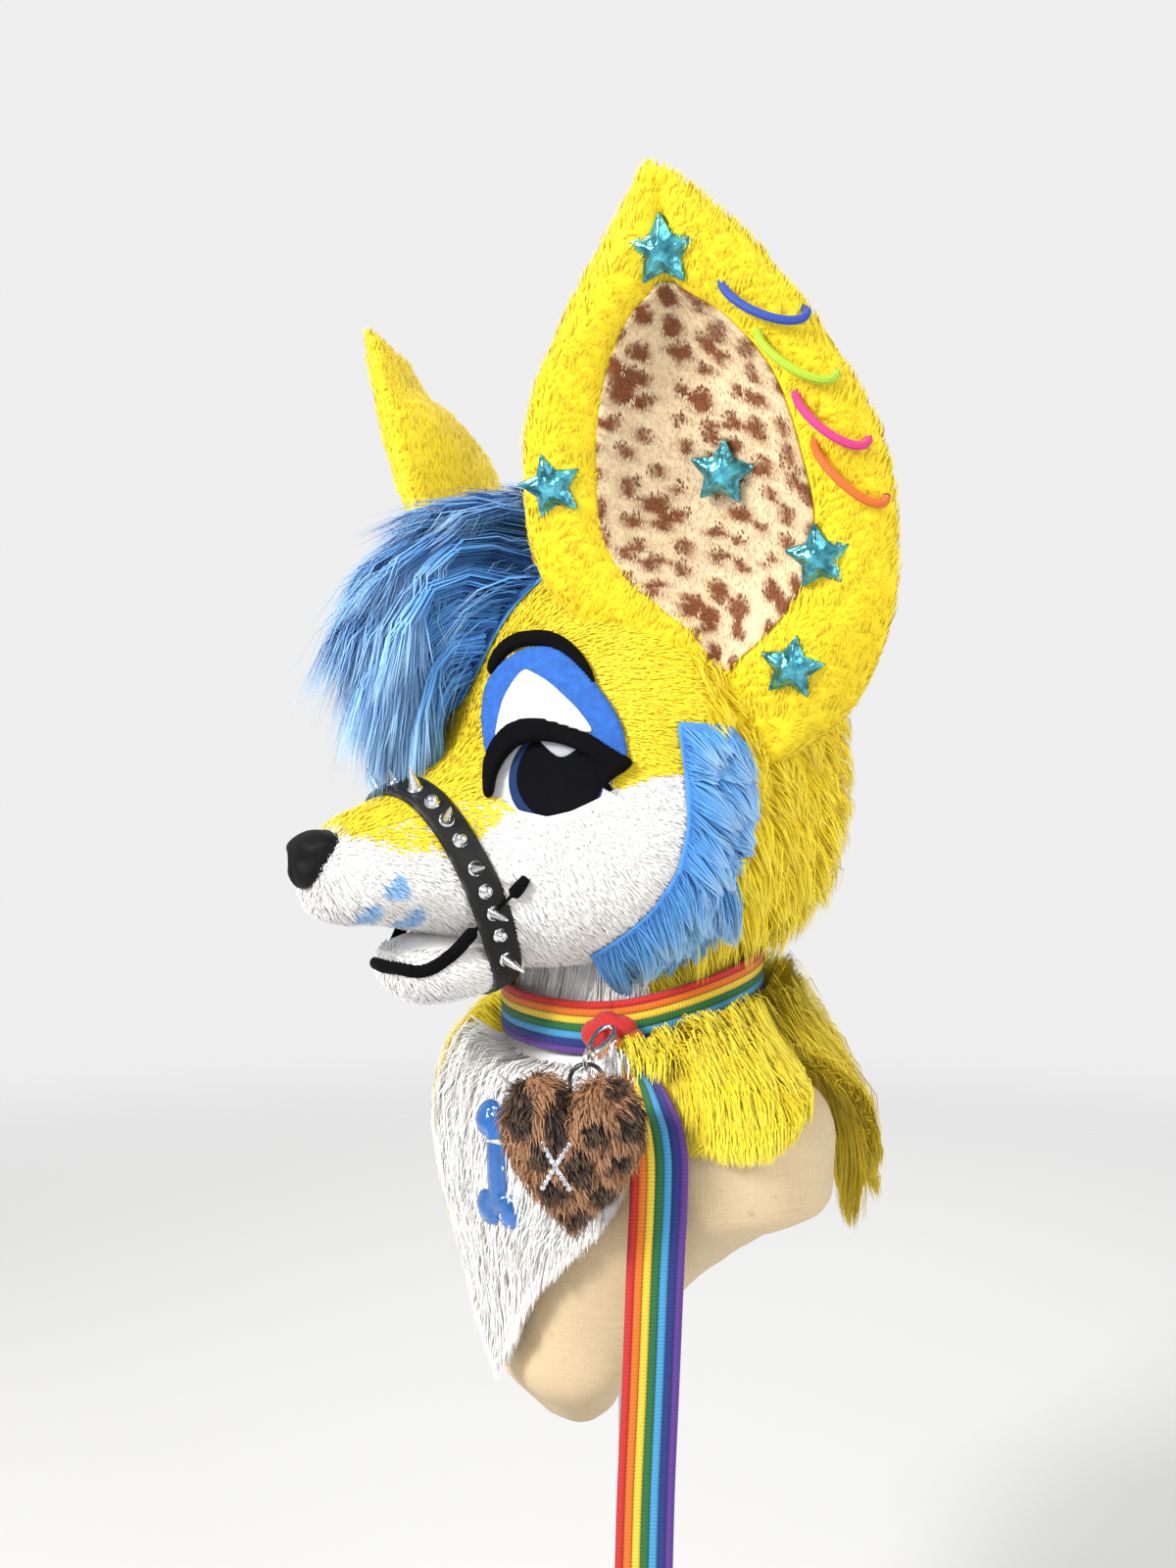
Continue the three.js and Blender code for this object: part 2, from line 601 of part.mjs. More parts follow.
// Hair tuft: a backing on the forehead and crown with large locks, row by row from the crown down
const HAIR_OUTLINE = [
  [-34, 150], [34, 150], [40, 120], [40, 90], [34, 62], [20, 40], [0, 34], [-20, 40], [-34, 62], [-40, 90],
  [-40, 120],
];
const HAIR_ROWS = [
  // height, spread, count, length, stand, fall
  [126, 30, 5, 62, 34, -4],
  [112, 36, 5, 70, 46, 14],
  [94, 36, 5, 76, 52, 34],
  [74, 28, 4, 70, 44, 44],
  [54, 18, 3, 56, 32, 44],
];
const hairBacking = headLayer(SEAM, 14).intersect(
  prism(HAIR_OUTLINE, vector(0, -20, 0), vector(1, 0, 0), vector(0, 0, 1), 0, 160),
);
const hairLocks = HAIR_ROWS.flatMap(([height, spread, count, length, stand, fall]) => steps(count, (i) => {
  const side = count > 1 ? (2 * i) / (count - 1) - 1 : 0;
  const { place, angle } = foreheadPlace(side * spread, height);
  const root = headPoint(place, angle, 3);
  const normal = headPoint(place, angle, 4).sub(root).normalize();
  const middle = root.clone().addScaledVector(normal, stand * 0.8)
    .add(vector(side * 4, -length * 0.22, -fall * 0.2));
  const tip = root.clone().addScaledVector(normal, stand)
    .add(vector(side * 16, -length * 0.45 - (i % 2) * 6, -fall - (i % 2) * 10));
  return lock([root, middle, tip], normal, 26, 18);
}));
const browRoom = eyePrism(grown(BROW, SEAM)).add(eyePrism(grown(LID, SEAM)));
const hairWhole = hairBacking.add(joined(hairLocks).subtract(headMoved(SEAM)))
  .subtract(headLayer(0, 4 + SEAM).intersect(browRoom.add(mirrored(browRoom))));

// Cheek ruff: a backing behind the white cheek with locks that fall back and down
const RUFF_OUTLINE = [
  [-42, 32], [-39, 5], [-37, -20], [-39, -45], [-47, -66], [-64, -92], [-34, -100], [-18, -92], [-10, -62],
  [-5, -31], [-4, 5], [-8, 30],
];
const RUFF_LOCKS = [
  // y, height of the root; how far the tip lies back and down
  [-12, 24, 16, 10], [-10, 4, 17, 20], [-10, -14, 16, 26], [-12, -32, 15, 30], [-14, -50, 12, 32],
  [-20, -66, 8, 32], [-32, -76, 2, 30], [-46, -80, -6, 24], [-30, -36, 10, 30],
];
function sidePlace(y, height) {
  const place = head.place(y);
  const { top, bottom, widest } = head.at(place);
  const rise = height > widest ? top - widest : widest - bottom;
  const share = THREE.MathUtils.clamp((height - widest) / rise, -1, 1);
  return { place, angle: Math.asin(rounded(share, 1 / HEAD_SQUARENESS)) };
}
const ruffBacking = headLayer(SEAM, 11).intersect(sidePrism(RUFF_OUTLINE, 20, 160));
const ruffLocks = RUFF_LOCKS.map(([y, height, back, down]) => {
  const { place, angle } = sidePlace(y, height);
  const root = headPoint(place, angle, 4);
  const normal = headPoint(place, angle, 5).sub(root).normalize();
  const middle = root.clone().addScaledVector(normal, 13).add(vector(0, back * 0.4, -down * 0.4));
  const tip = root.clone().addScaledVector(normal, 13).add(vector(0, back, -down));
  return lock([root, middle, tip], normal, 24, 13);
});
const ruffWhole = ruffBacking.add(joined(ruffLocks).subtract(headMoved(SEAM)));

// Ear: flat frame of its opening, and its outline and inner panel by height along its axis
const EAR_BASE = vector(95, -25, 52);
const EAR_TIP = vector(170, -96, 290);
const earAxis = EAR_TIP.clone().sub(EAR_BASE).normalize();
const earFacing = vector(0.614, -0.682, -0.397).normalize();
const earAcross = earAxis.clone().cross(earFacing).normalize();
const ear = new Profile(['height', 'front', 'back', 'panelFront', 'panelBack'], [
  [261, -1, 1, 0, 0],
  [256, -5, 11, 3, 3],
  [247, -11, 21, 5, 5],
  [225, -27, 45, 6, 6],
  [208, -39, 59, 1, 9],
  [190, -50, 73, -16, 33],
  [160, -67, 91, -31, 56],
  [127, -77, 106, -38, 66],
  [90, -80, 112, -40, 72],
  [62, -76, 112, -31, 69],
  [43, -66, 110, -12, 58],
  [27, -46, 106, 6, 44],
  [8, -28, 99, 15, 25],
  [-12, -12, 88, 19, 21],
  [-34, 2, 64, 22, 22],
  [-50, 12, 36, 22, 22],
  [-56, 17, 19, 18, 18],
]);
const EAR_RIM = { edge: -5, crest: 4, lip: -1 };
const DISH_STEPS = 5;
const earPoint = (across, depth, height) => EAR_BASE.clone().addScaledVector(earAxis, height)
  .addScaledVector(earAcross, across).addScaledVector(earFacing, depth);

// One section of the ear: rim, dished opening, rim, then round its back; fill raises the dish
function earSection(height, out, fill) {
  const { front, back, panelFront, panelBack } = ear.at(ear.place(height));
  const dish = Math.min(22, 0.24 * (panelBack - panelFront));
  const slim = Math.min(1, (back - front) / 60);
  const belly = (dish + 10) * slim;
  const points = [
    [front, EAR_RIM.edge * slim],
    [mix(front, panelFront, 0.3), EAR_RIM.crest * slim],
    [mix(front, panelFront, 0.75), (EAR_RIM.crest - 1) * slim],
    ...steps(DISH_STEPS + 1, (i) => [
      mix(panelFront, panelBack, i / DISH_STEPS) + (i - DISH_STEPS / 2) * 0.02,
      EAR_RIM.lip * slim - dish * Math.sin((Math.PI * i) / DISH_STEPS) + fill,
    ]),
    [mix(back, panelBack, 0.75), (EAR_RIM.crest - 1) * slim],
    [mix(back, panelBack, 0.3), EAR_RIM.crest * slim],
    [back, EAR_RIM.edge * slim],
    ...steps(5, (i) => {
      const share = (i + 1) / 6;
      return [mix(back, front, share), EAR_RIM.edge * slim - belly * Math.sin(Math.PI * share) ** 0.7];
    }),
  ];
  return out ? grown(points, out) : points;
}
const EAR_LEVELS = [254, 240, 222, 204, 186, 164, 140, 114, 88, 62, 40, 18, -8, -32, -50];
function earSolid(out, fill = 0) {
  const rings = EAR_LEVELS.map((height) => earSection(height, out, fill)
    .map(([across, depth]) => earPoint(across, depth, height)));
  return solidOf(loft(rings, earPoint(0, -2, 261 + out), earPoint(18, -6, -56 - out)));
}
const PANEL_LEVELS = [206, 190, 166, 140, 114, 88, 62, 36, 8];
const PANEL_THICKNESS = 2.2;
const panelRings = PANEL_LEVELS.map((height) => {
  const { panelFront, panelBack } = ear.at(ear.place(height));
  const dish = Math.min(22, 0.24 * (panelBack - panelFront));
  const depth = (share) => EAR_RIM.lip - dish * Math.sin(Math.PI * share);
  const row = (lift) => steps(DISH_STEPS + 1, (i) => {
    const share = i / DISH_STEPS;
    return earPoint(mix(panelFront, panelBack, share), depth(share) + lift, height);
  });
  return [...row(PANEL_THICKNESS + SEAM), ...row(-2).reverse()];
});
const earTrimmed = largest(earSolid(0).subtract(headMoved(SEAM)));
const earGrown = earSolid(SEAM);
const hairTuft = largest(hairWhole.subtract(earGrown).subtract(mirrored(earGrown)));
const earPanel = largest(solidOf(wall(
  panelRings.map((ring) => ring.slice(0, DISH_STEPS + 1)),
  panelRings.map((ring) => ring.slice(DISH_STEPS + 1).reverse()),
)).subtract(earGrown).subtract(headMoved(SEAM)));

// Puffy stars on the left ear: name, across, height along the ear, turn in degrees, raised by
const STAR = { radius: 18, thickness: 5 };
const STARS = [
  ['star_tip', 5, 221, 0, 3], ['star_front', -62, 109, 12, 0], ['star_panel', 23, 109, -8, 5],
  ['star_back', 74, 70, 6, 2], ['star_low', 58, 12, -10, 1],
];
function surfaceDepth(across, height) {
  const section = earSection(height, 0, 0).slice(0, DISH_STEPS + 7);
  for (let i = 0; i < section.length - 1; i += 1) {
    const [a, depthA] = section[i];
    const [b, depthB] = section[i + 1];
    if (across >= a && across <= b) return mix(depthA, depthB, (across - a) / (b - a));
  }
  return EAR_RIM.edge;
}
const starCutter = earGrown.add(earSolid(SEAM, PANEL_THICKNESS + SEAM));
const stars = STARS.map(([name, across, height, turn, raised]) => {
  const outline = steps(10, (i) => {
    const angle = radians(turn + 90 + 36 * i);
    const radius = i % 2 ? STAR.radius * 0.52 : STAR.radius;
    return [radius * Math.cos(angle), radius * Math.sin(angle)];
  });
  const centre = earPoint(across, surfaceDepth(across, height) + raised, height);
  const ring = (size, lift) => outline.map(([u, v]) => centre.clone().addScaledVector(earAcross, u * size)
    .addScaledVector(earAxis, v * size).addScaledVector(earFacing, lift));
  const body = loft([ring(1, -8), ring(1, STAR.thickness * 0.4)], undefined,
    centre.clone().addScaledVector(earFacing, STAR.thickness + 2));
  return [name, largest(solidOf(body).subtract(starCutter))];
});

// Elastic loops through the back rim of the left ear: name, colour, inner end, outer end
const ELASTIC = { radius: 2.3, rise: 9, sag: 7, steps: 12, sides: 4 };
const ELASTICS = [
  ['elastic_blue', '#1c50c8', [33, 206], [73, 189]],
  ['elastic_lime', '#c6ea2f', [49, 182], [86, 160]],
  ['elastic_pink', '#f0389a', [66, 152], [100, 128]],
  ['elastic_orange', '#fb7a1c', [74, 128], [108, 99]],
];
function elasticSolid(from, to, radius) {
  const path = steps(ELASTIC.steps, (i) => {
    const angle = (2 * Math.PI * i) / ELASTIC.steps;
    const share = 0.5 + 0.5 * Math.cos(angle);
    const bow = Math.max(Math.sin(angle), 0) * ELASTIC.sag;
    return earPoint(
      mix(from[0], to[0], share),
      EAR_RIM.crest - 2 + ELASTIC.rise * Math.sin(angle),
      mix(from[1], to[1], share) - bow,
    );
  });
  return solidOf(hoop(path, radius, ELASTIC.sides));
}
const elastics = ELASTICS.map(([name, colour, from, to]) => (
  [name, colour, elasticSolid(from, to, ELASTIC.radius)]
));
const elasticRoom = joined(ELASTICS.map(([, , from, to]) => elasticSolid(from, to, ELASTIC.radius + SEAM)));
const earLeft = largest(earTrimmed.subtract(elasticRoom));
const earRight = mirrored(earTrimmed);

// Webbing band round the neck: height of its middle at an azimuth, and its ring
const bandHeight = (azimuth) => {
  const fromKnot = ((azimuth - KNOT.azimuth + 540) % 360) - 180;
  return BAND.height - BAND.tilt * Math.cos(radians(azimuth - BAND.lowest))
    - BAND.dip * Math.exp(-((fromKnot / KNOT.pull) ** 2));
};
function bandRing(inner, outer, low = -BAND.width / 2, high = BAND.width / 2) {
  const count = BAND.steps;
  const corner = (azimuth, radius, offset) => outward(azimuth).multiplyScalar(radius)
    .setZ(bandHeight(azimuth) + offset);
  const rings = steps(count, (i) => {
    const azimuth = (360 * i) / count;
    return [[inner, low], [outer, low], [outer, high], [inner, high]]
      .map(([radius, offset]) => corner(azimuth, radius, offset));
  });
  const points = rings.flat();
  const triangles = [];
  for (let i = 0; i < count; i += 1) {
    for (let s = 0; s < 4; s += 1) {
      const a = 4 * i;
      const b = 4 * ((i + 1) % count);
      const next = (s + 1) % 4;
      triangles.push([a + s, a + next, b + next], [a + s, b + next, b + s]);
    }
  }
  return solidOf(geometryFrom(points, triangles));
}
const bandEdge = BAND.width / 2 + SEAM;
const collarBand = bandRing(BAND.radius, BAND.radius + BAND.thickness);
const bandGroove = bandRing(BAND.radius - SEAM, BAND.radius + 40, -bandEdge, bandEdge);
const bandInside = bandRing(20, BAND.radius, -bandEdge, bandEdge);
const aboveBandEdge = bandRing(20, BAND.radius - SEAM, -BAND.width / 2, 100);

// Fur wall all round the form from the azimuth START; edge(azimuth) gives its heights and loft
const START = -103;
function furWall(columns, rows, edge, pile) {
  const grid = (lift) => steps(columns + 1, (c) => {
    const azimuth = START + (360 * c) / columns;
    const { top, hem, flare, rise } = edge(azimuth, c);
    const first = form.place(top);
    const last = form.place(hem);
    return steps(rows + 1, (r) => {
      const share = r / rows;
      const standing = flare * share * share;
      const bulge = Math.sin(Math.PI * Math.min(1, 0.25 + share));
      const raised = (rise * bulge * Math.max(0, lift(share))) / YOKE_PILE;
      return formPoint(mix(first, last, share), aroundForm(azimuth), lift(share) + standing)
        .add(vector(0, 0, raised));
    });
  });
  return solidOf(wall(grid(pile), grid(() => -2))).subtract(formGrown);
}

// The part of a wall between two azimuths, half a seam in from each
function sector(from, to) {
  const count = Math.ceil((to - from) / 30);
  const arc = steps(count + 1, (i) => outward(mix(from, to, i / count)).multiplyScalar(400));
  const outline = grown([[0, 0], ...arc.map((p) => [p.x, p.y])], -SEAM / 2);
  return prism(outline, vector(0, 0, 0), vector(1, 0, 0), vector(0, 1, 0), -400, 100);
}
const cutBetween = (solid, from, to) => {
  const middle = (from + to) / 2;
  if (to - from < 170) return largest(solid.intersect(sector(from, to)));
  const overlap = 5;
  return largest(solid.intersect(sector(from, middle + overlap).add(sector(middle - overlap, to))));
};

// Neck of short fur inside the head's opening, cut off by the band's lower edge
const neckPiece = (extra) => furWall(NECK_COLUMNS, 3, (azimuth) => (
  { top: NECK_TOP + extra, hem: bandHeight(azimuth) - BAND.width / 2 - 5, flare: 0, rise: 0 }
), () => NECK_PILE + extra);
const neckWall = neckPiece(0).intersect(aboveBandEdge);
const neckGrown = neckPiece(SEAM);
const neckFront = cutBetween(neckWall, -NECK_FRONT_HALF_ANGLE, NECK_FRONT_HALF_ANGLE);
const neckBack = cutBetween(neckWall, NECK_FRONT_HALF_ANGLE, 360 - NECK_FRONT_HALF_ANGLE);
const [ruffLeft, ruffRight] = [ruffWhole, mirrored(ruffWhole)]
  .map((solid) => largest(solid.subtract(neckGrown).subtract(formGrown)));

// Hanging end of the band, which lies on the fur and then hangs straight down
const HANGING_END = [
  // azimuth, height, distance from the pole, width
  [56, -140, 84, 12], [58, -147, 95, 14], [60, -153, 104, 18], [61.5, -159, 114, 23], [62.5, -167, 127, 27],
  [63.5, -177, 138, 29], [63.9, -190, 143, 29], [63.7, -210, 144, 29], [63.2, -235, 144, 29],
  [62.2, -300, 144, 29], [61.2, -360, 144, 29], [60.5, -430, 143, 29], [59.9, -500, 142, 29],
  [59.5, -560, 142, 29],
];
const endSolid = (margin, depth) => solidOf(loft(HANGING_END.map(([azimuth, height, reach, width]) => {
  const corners = [[-1, -margin], [1, -margin], [1, depth], [-1, depth]];
  return corners.map(([side, lift]) => outward(azimuth).multiplyScalar(reach + lift).setZ(height)
    .addScaledVector(sideways(azimuth), side * (width / 2 + margin)));
})));
const endRoom = endSolid(SEAM, 40);

// Yoke of long fur, by azimuth
const YOKE_HEM = [
  // azimuth, hem height, how far the hem stands off, how high the fur rises
  [-103, -205, 12, 26], [-86, -165, 2, 22], [-70, -172, 0, 16], [-57, -195, 0, 12], [-38, -242, 0, 10],
  [-10, -292, 0, 4], [11, -308, 0, 0], [30, -288, 0, 0], [50, -240, 0, 0], [60, -198, 0, 4],
  [70, -182, 0, 8], [79, -184, 0, 12], [99, -166, 2, 20], [108, -156, 5, 24], [125, -202, 20, 34],
  [145, -222, 34, 38], [180, -216, 36, 38], [215, -222, 34, 38], [257, -205, 12, 26],
];
const hemColumn = (c) => monotone(YOKE_HEM.map((row) => row[0]), YOKE_HEM.map((row) => row[c]));
const hemHeight = hemColumn(1);
const hemFlare = hemColumn(2);
const furRise = hemColumn(3);
const YOKE_PIECES = [
  ['bib', WHITE, -38, 60],
  ['shoulder_left', YELLOW, 60, 125],
  ['yoke_back', YELLOW, 125, 257],
  ['shoulder_right', YELLOW, -103, -38],
];
const yokePile = (extra) => (share) => (
  extra + YOKE_PILE * Math.min(1, 0.5 + 2 * share) * (1 - 0.45 * share ** 3)
);
const yokeWall = (extra) => furWall(YOKE_COLUMNS, YOKE_ROWS, (azimuth, column) => ({
  top: bandHeight(azimuth) - BAND.width / 2 - 2 * SEAM,
  hem: hemHeight(azimuth) + (column % 2 ? HEM_TOOTH : 0),
  flare: hemFlare(azimuth),
  rise: furRise(azimuth),
}), yokePile(extra));
const yokeWhole = yokeWall(0).subtract(bandInside).subtract(bandGroove).subtract(endRoom);
const yokeGrown = yokeWall(SEAM);
const yoke = YOKE_PIECES.map(([name, colour, from, to]) => [name, colour, cutBetween(yokeWhole, from, to)]);

// Puffy vinyl applique on the bib: a plain bone, its outline in (across, height)
const BONE = { azimuth: 17.3, height: -204.4, length: 68, lobe: 10, thickness: 4 };
const LOBE_TURNS = [-95, -45, 10, 60, 110, 160];
const boneEnd = (end) => [1, -1].flatMap((side) => {
  const turns = side > 0 ? LOBE_TURNS : [...LOBE_TURNS].reverse();
  return turns.map((turn) => [
    end * side * (BONE.lobe * 0.8 + BONE.lobe * Math.cos(radians(turn))),
    end * (BONE.length / 2 - BONE.lobe + BONE.lobe * Math.sin(radians(turn))),
  ]);
});
const boneOutline = [...boneEnd(1), ...boneEnd(-1)];
const bonePrism = prism(
  boneOutline, vector(0, 0, BONE.height), sideways(BONE.azimuth), vector(0, 0, 1), 20, 160,
);
const applique = largest(yokeWall(SEAM + BONE.thickness).intersect(bonePrism).subtract(yokeGrown));

// Knot of the band
const knotCentre = outward(KNOT.azimuth).multiplyScalar(KNOT.reach).setZ(bandHeight(KNOT.azimuth) - 4);
function ellipsoid(centre, azimuth, width, depth, height, grow = 0) {
  const geometry = new THREE.SphereGeometry(1, 12, 8);
  geometry.scale(width / 2 + grow, depth / 2 + grow, height / 2 + grow).rotateZ(radians(azimuth));
  return solidOf(geometry.translate(centre.x, centre.y, centre.z));
}
const knotGrown = ellipsoid(knotCentre, KNOT.azimuth, KNOT.width, KNOT.depth, KNOT.height, SEAM);
const bandRoom = bandRing(BAND.radius - 12, BAND.radius + BAND.thickness + SEAM, -bandEdge, bandEdge);
const knot = largest(ellipsoid(knotCentre, KNOT.azimuth, KNOT.width, KNOT.depth, KNOT.height)
  .subtract(bandRoom).subtract(yokeGrown));

const hangingEnd = largest(endSolid(0, BAND.thickness).subtract(knotGrown).subtract(bandRoom));

// Clasp: a bar with an eye at its lower end, from the knot over the slope of the chest
const charmAcross = sideways(CHARM.azimuth);
const charmOut = outward(CHARM.azimuth);
const swivel = charmOut.clone().multiplyScalar(SWIVEL.reach).setZ(SWIVEL.height);
const circle = (centre, first, second, radius, count) => steps(count, (i) => {
  const angle = (2 * Math.PI * i) / count;
  return centre.clone().addScaledVector(first, radius * Math.cos(angle))
    .addScaledVector(second, radius * Math.sin(angle));
});
const up = vector(0, 0, 1);
const eyeCentre = swivel.clone().addScaledVector(up, SWIVEL.eye);
const claspEye = solidOf(hoop(circle(eyeCentre, charmOut, up, SWIVEL.eye, 12), SWIVEL.wire));
const claspEnd = knotCentre.clone().addScaledVector(outward(KNOT.azimuth), KNOT.depth / 2 - 3)
  .addScaledVector(up, 7);
const claspStart = eyeCentre.clone().addScaledVector(charmOut, -SWIVEL.eye);
const claspAxis = claspEnd.clone().sub(claspStart);
const claspSide = claspAxis.clone().cross(up).normalize();
const claspRise = claspSide.clone().cross(claspAxis).normalize();
const claspBody = solidOf(loft([[0, 1.6], [0.15, 3], [0.5, 4.2], [0.8, 3.4], [1, 2]].map(([place, size]) => (
  steps(6, (i) => {
    const angle = (Math.PI * i) / 3;
    return claspStart.clone().addScaledVector(claspAxis, place)
      .addScaledVector(claspSide, size * Math.cos(angle))
      .addScaledVector(claspRise, size * 0.8 * Math.sin(angle));
  })))));
const clasp = largest(claspEye.add(claspBody).subtract(knotGrown).subtract(bandRoom).subtract(yokeGrown));

// Charm: a ring that hangs in the clasp's eye, a link, and a padded heart with spikes
const ringCentre = swivel.clone().addScaledVector(up, 2 * SWIVEL.wire + SEAM - SWIVEL.ring);
const linkCentre = ringCentre.clone().addScaledVector(up, -SWIVEL.ring - 3).addScaledVector(charmOut, 8);
const chainSolid = (wire) => solidOf(hoop(circle(ringCentre, charmAcross, up, SWIVEL.ring, 12), wire, 5))
  .add(solidOf(hoop(circle(linkCentre, charmOut, up, 8.5, 10), wire, 5)));
const charmCentre = charmOut.clone().multiplyScalar(CHARM.reach).setZ(CHARM.height);
const heartOutline = steps(20, (i) => {
  const t = (2 * Math.PI * i) / 20;
  const across = Math.sin(t) ** 3;
  const rise = (13 * Math.cos(t) - 5 * Math.cos(2 * t) - 2 * Math.cos(3 * t) - Math.cos(4 * t)) / 14.5;
  return [(across * CHARM.width) / 2, (rise * CHARM.tall) / 2 + 6];
});
const heartRings = steps(5, (i) => {
  const angle = radians(mix(-66, 66, i / 4));
  const size = Math.cos(angle) ** 0.7;
  const depth = (Math.sin(angle) * CHARM.thick) / 2;
  return heartOutline.map(([u, v]) => charmCentre.clone().addScaledVector(charmAcross, u * size)
    .addScaledVector(up, v * size).addScaledVector(charmOut, depth));
});
const heartBody = solidOf(loft(
  heartRings,
  charmCentre.clone().addScaledVector(charmOut, -CHARM.thick / 2),
  charmCentre.clone().addScaledVector(charmOut, CHARM.thick / 2),
));
// across, height, outward part of each spike's direction, and its length
const HEART_SPIKES = [
  [-0.75, 0.7, 0.1, 14], [-1, 0.05, 0.1, 13], [-0.35, -1, 0.1, 13], [0.25, -1, 0.1, 13], [0.6, 0.75, 0.5, 9],
];
const heartSpikes = HEART_SPIKES.map(([across, rise, out, length]) => {
  const direction = charmAcross.clone().multiplyScalar(across).addScaledVector(up, rise)
    .addScaledVector(charmOut, out).normalize();
  const flat = Math.atan2(across, rise);
  const near = heartOutline.reduce((best, point) => {
    const gap = Math.abs(Math.atan2(point[0], point[1] - 2) - flat);
    return gap < best.gap ? { gap, point } : best;
  }, { gap: Infinity, point: heartOutline[0] }).point;
  const foot = charmCentre.clone().addScaledVector(charmAcross, near[0] * 0.94)
    .addScaledVector(up, near[1] * 0.94);
  return spike(foot, direction, 4, length);
});
const heart = largest(joined([heartBody, ...heartSpikes]).subtract(chainSolid(SWIVEL.wire + SEAM))
  .subtract(yokeGrown));
const chain = chainSolid(SWIVEL.wire);

// Form with the socket for its pole; the stand is below
const poleSocket = solidOf(new THREE.CylinderGeometry(POLE.radius + SEAM, POLE.radius + SEAM, 420, 24)
  .rotateX(Math.PI / 2).translate(0, 0, POLE.top + SEAM - LEVEL - 210));
const bust = formSolid(0).subtract(poleSocket);
const pole = new THREE.CylinderGeometry(POLE.radius, POLE.radius, POLE.top - POLE.bottom, 24)
  .rotateX(Math.PI / 2).translate(0, 0, (POLE.top + POLE.bottom) / 2);
const basePlate = new THREE.LatheGeometry([
  [0, 0], [BASE.radius, 0], [BASE.radius, BASE.thickness - 2], [BASE.radius - 2, BASE.thickness],
  [BASE.boss, BASE.thickness], [BASE.boss, BASE.bossHeight], [POLE.radius + SEAM, BASE.bossHeight],
  [POLE.radius + SEAM, BASE.seat], [0, BASE.seat],
].map(([x, y]) => new THREE.Vector2(x, y)), 20).rotateX(Math.PI / 2);

// The scene graph
const model = new THREE.Group();
const costume = new THREE.Group();
costume.position.z = LEVEL;
model.add(costume);

function addMesh(parent, name, geometry, color, roughness = 0.9, metalness = 0) {
  const mesh = new THREE.Mesh(geometry, new THREE.MeshStandardMaterial({ color, roughness, metalness }));
  mesh.name = name;
  parent.add(mesh);
}
const addSolid = (name, solid, ...finish) => addMesh(costume, name, geometryOf(solid), ...finish);

addMesh(model, 'stand_base', basePlate, BLACK, 0.5, 0.6);
addMesh(model, 'stand_pole', pole, SILVER, 0.35, 1);
addSolid('form_bust', bust, LINEN, 0.85);
addSolid('face_panel', facePanel, YELLOW);
addSolid('cheek_left', cheekLeft, WHITE);
addSolid('cheek_right', cheekRight, WHITE);
addSolid('head_back', headBack, YELLOW);
addSolid('jaw', jawPiece, WHITE);
addSolid('lip_line', lipLine, BLACK);
addSolid('nose', nose, BLACK);
addSolid('ear_left', earLeft, YELLOW);
addSolid('ear_right', earRight, YELLOW);
addSolid('ear_panel_left', earPanel, '#e9d3a8');
addSolid('ear_panel_right', mirrored(earPanel), '#e9d3a8');
stars.forEach(([name, solid]) => addSolid(name, solid, '#1c8fb0', 0.25, 0.7));
elastics.forEach(([name, colour, solid]) => addSolid(name, solid, colour, 0.5));
addSolid('hair_tuft', hairTuft, BLUE);
addSolid('ruff_left', ruffLeft, BLUE);
addSolid('ruff_right', ruffRight, BLUE);
[['eye', eyePlate, '#20242c'], ['lash', lash, BLACK], ['lid', lid, '#3f83dd'], ['lid_patch', lidPatch, WHITE],
  ['brow', brow, BLACK]].forEach(([name, solid, colour]) => {
  addSolid(`${name}_left`, solid, colour);
  addSolid(`${name}_right`, mirrored(solid), colour);
});
addSolid('muzzle_strap', muzzleStrap, BLACK, 0.5);
addSolid('neck_front', neckFront, WHITE);
addSolid('neck_back', neckBack, YELLOW);
yoke.forEach(([name, colour, solid]) => addSolid(name, solid, colour));
addSolid('chest_applique', applique, '#2f7fe0', 0.2);
addSolid('collar_band', collarBand, '#e23a2e', 0.8);
addSolid('collar_knot', knot, '#e23a2e', 0.8);
addSolid('hanging_end', hangingEnd, '#3aa55a', 0.8);
addSolid('clasp', clasp, SILVER, 0.3, 1);
addSolid('charm_chain', chain, SILVER, 0.3, 1);
addSolid('charm_heart', heart, '#6b4a30');

export default model;
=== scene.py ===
# Partial fursuit on a bust form: fur head, neck and yoke, webbing band, heart charm and stand.
# Tables are in millimetres with heights from the line of the eyes, LEVEL above the floor.
import math

import bpy
import numpy as np
from bpy.props import FloatProperty, FloatVectorProperty, IntProperty, PointerProperty
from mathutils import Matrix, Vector, kdtree


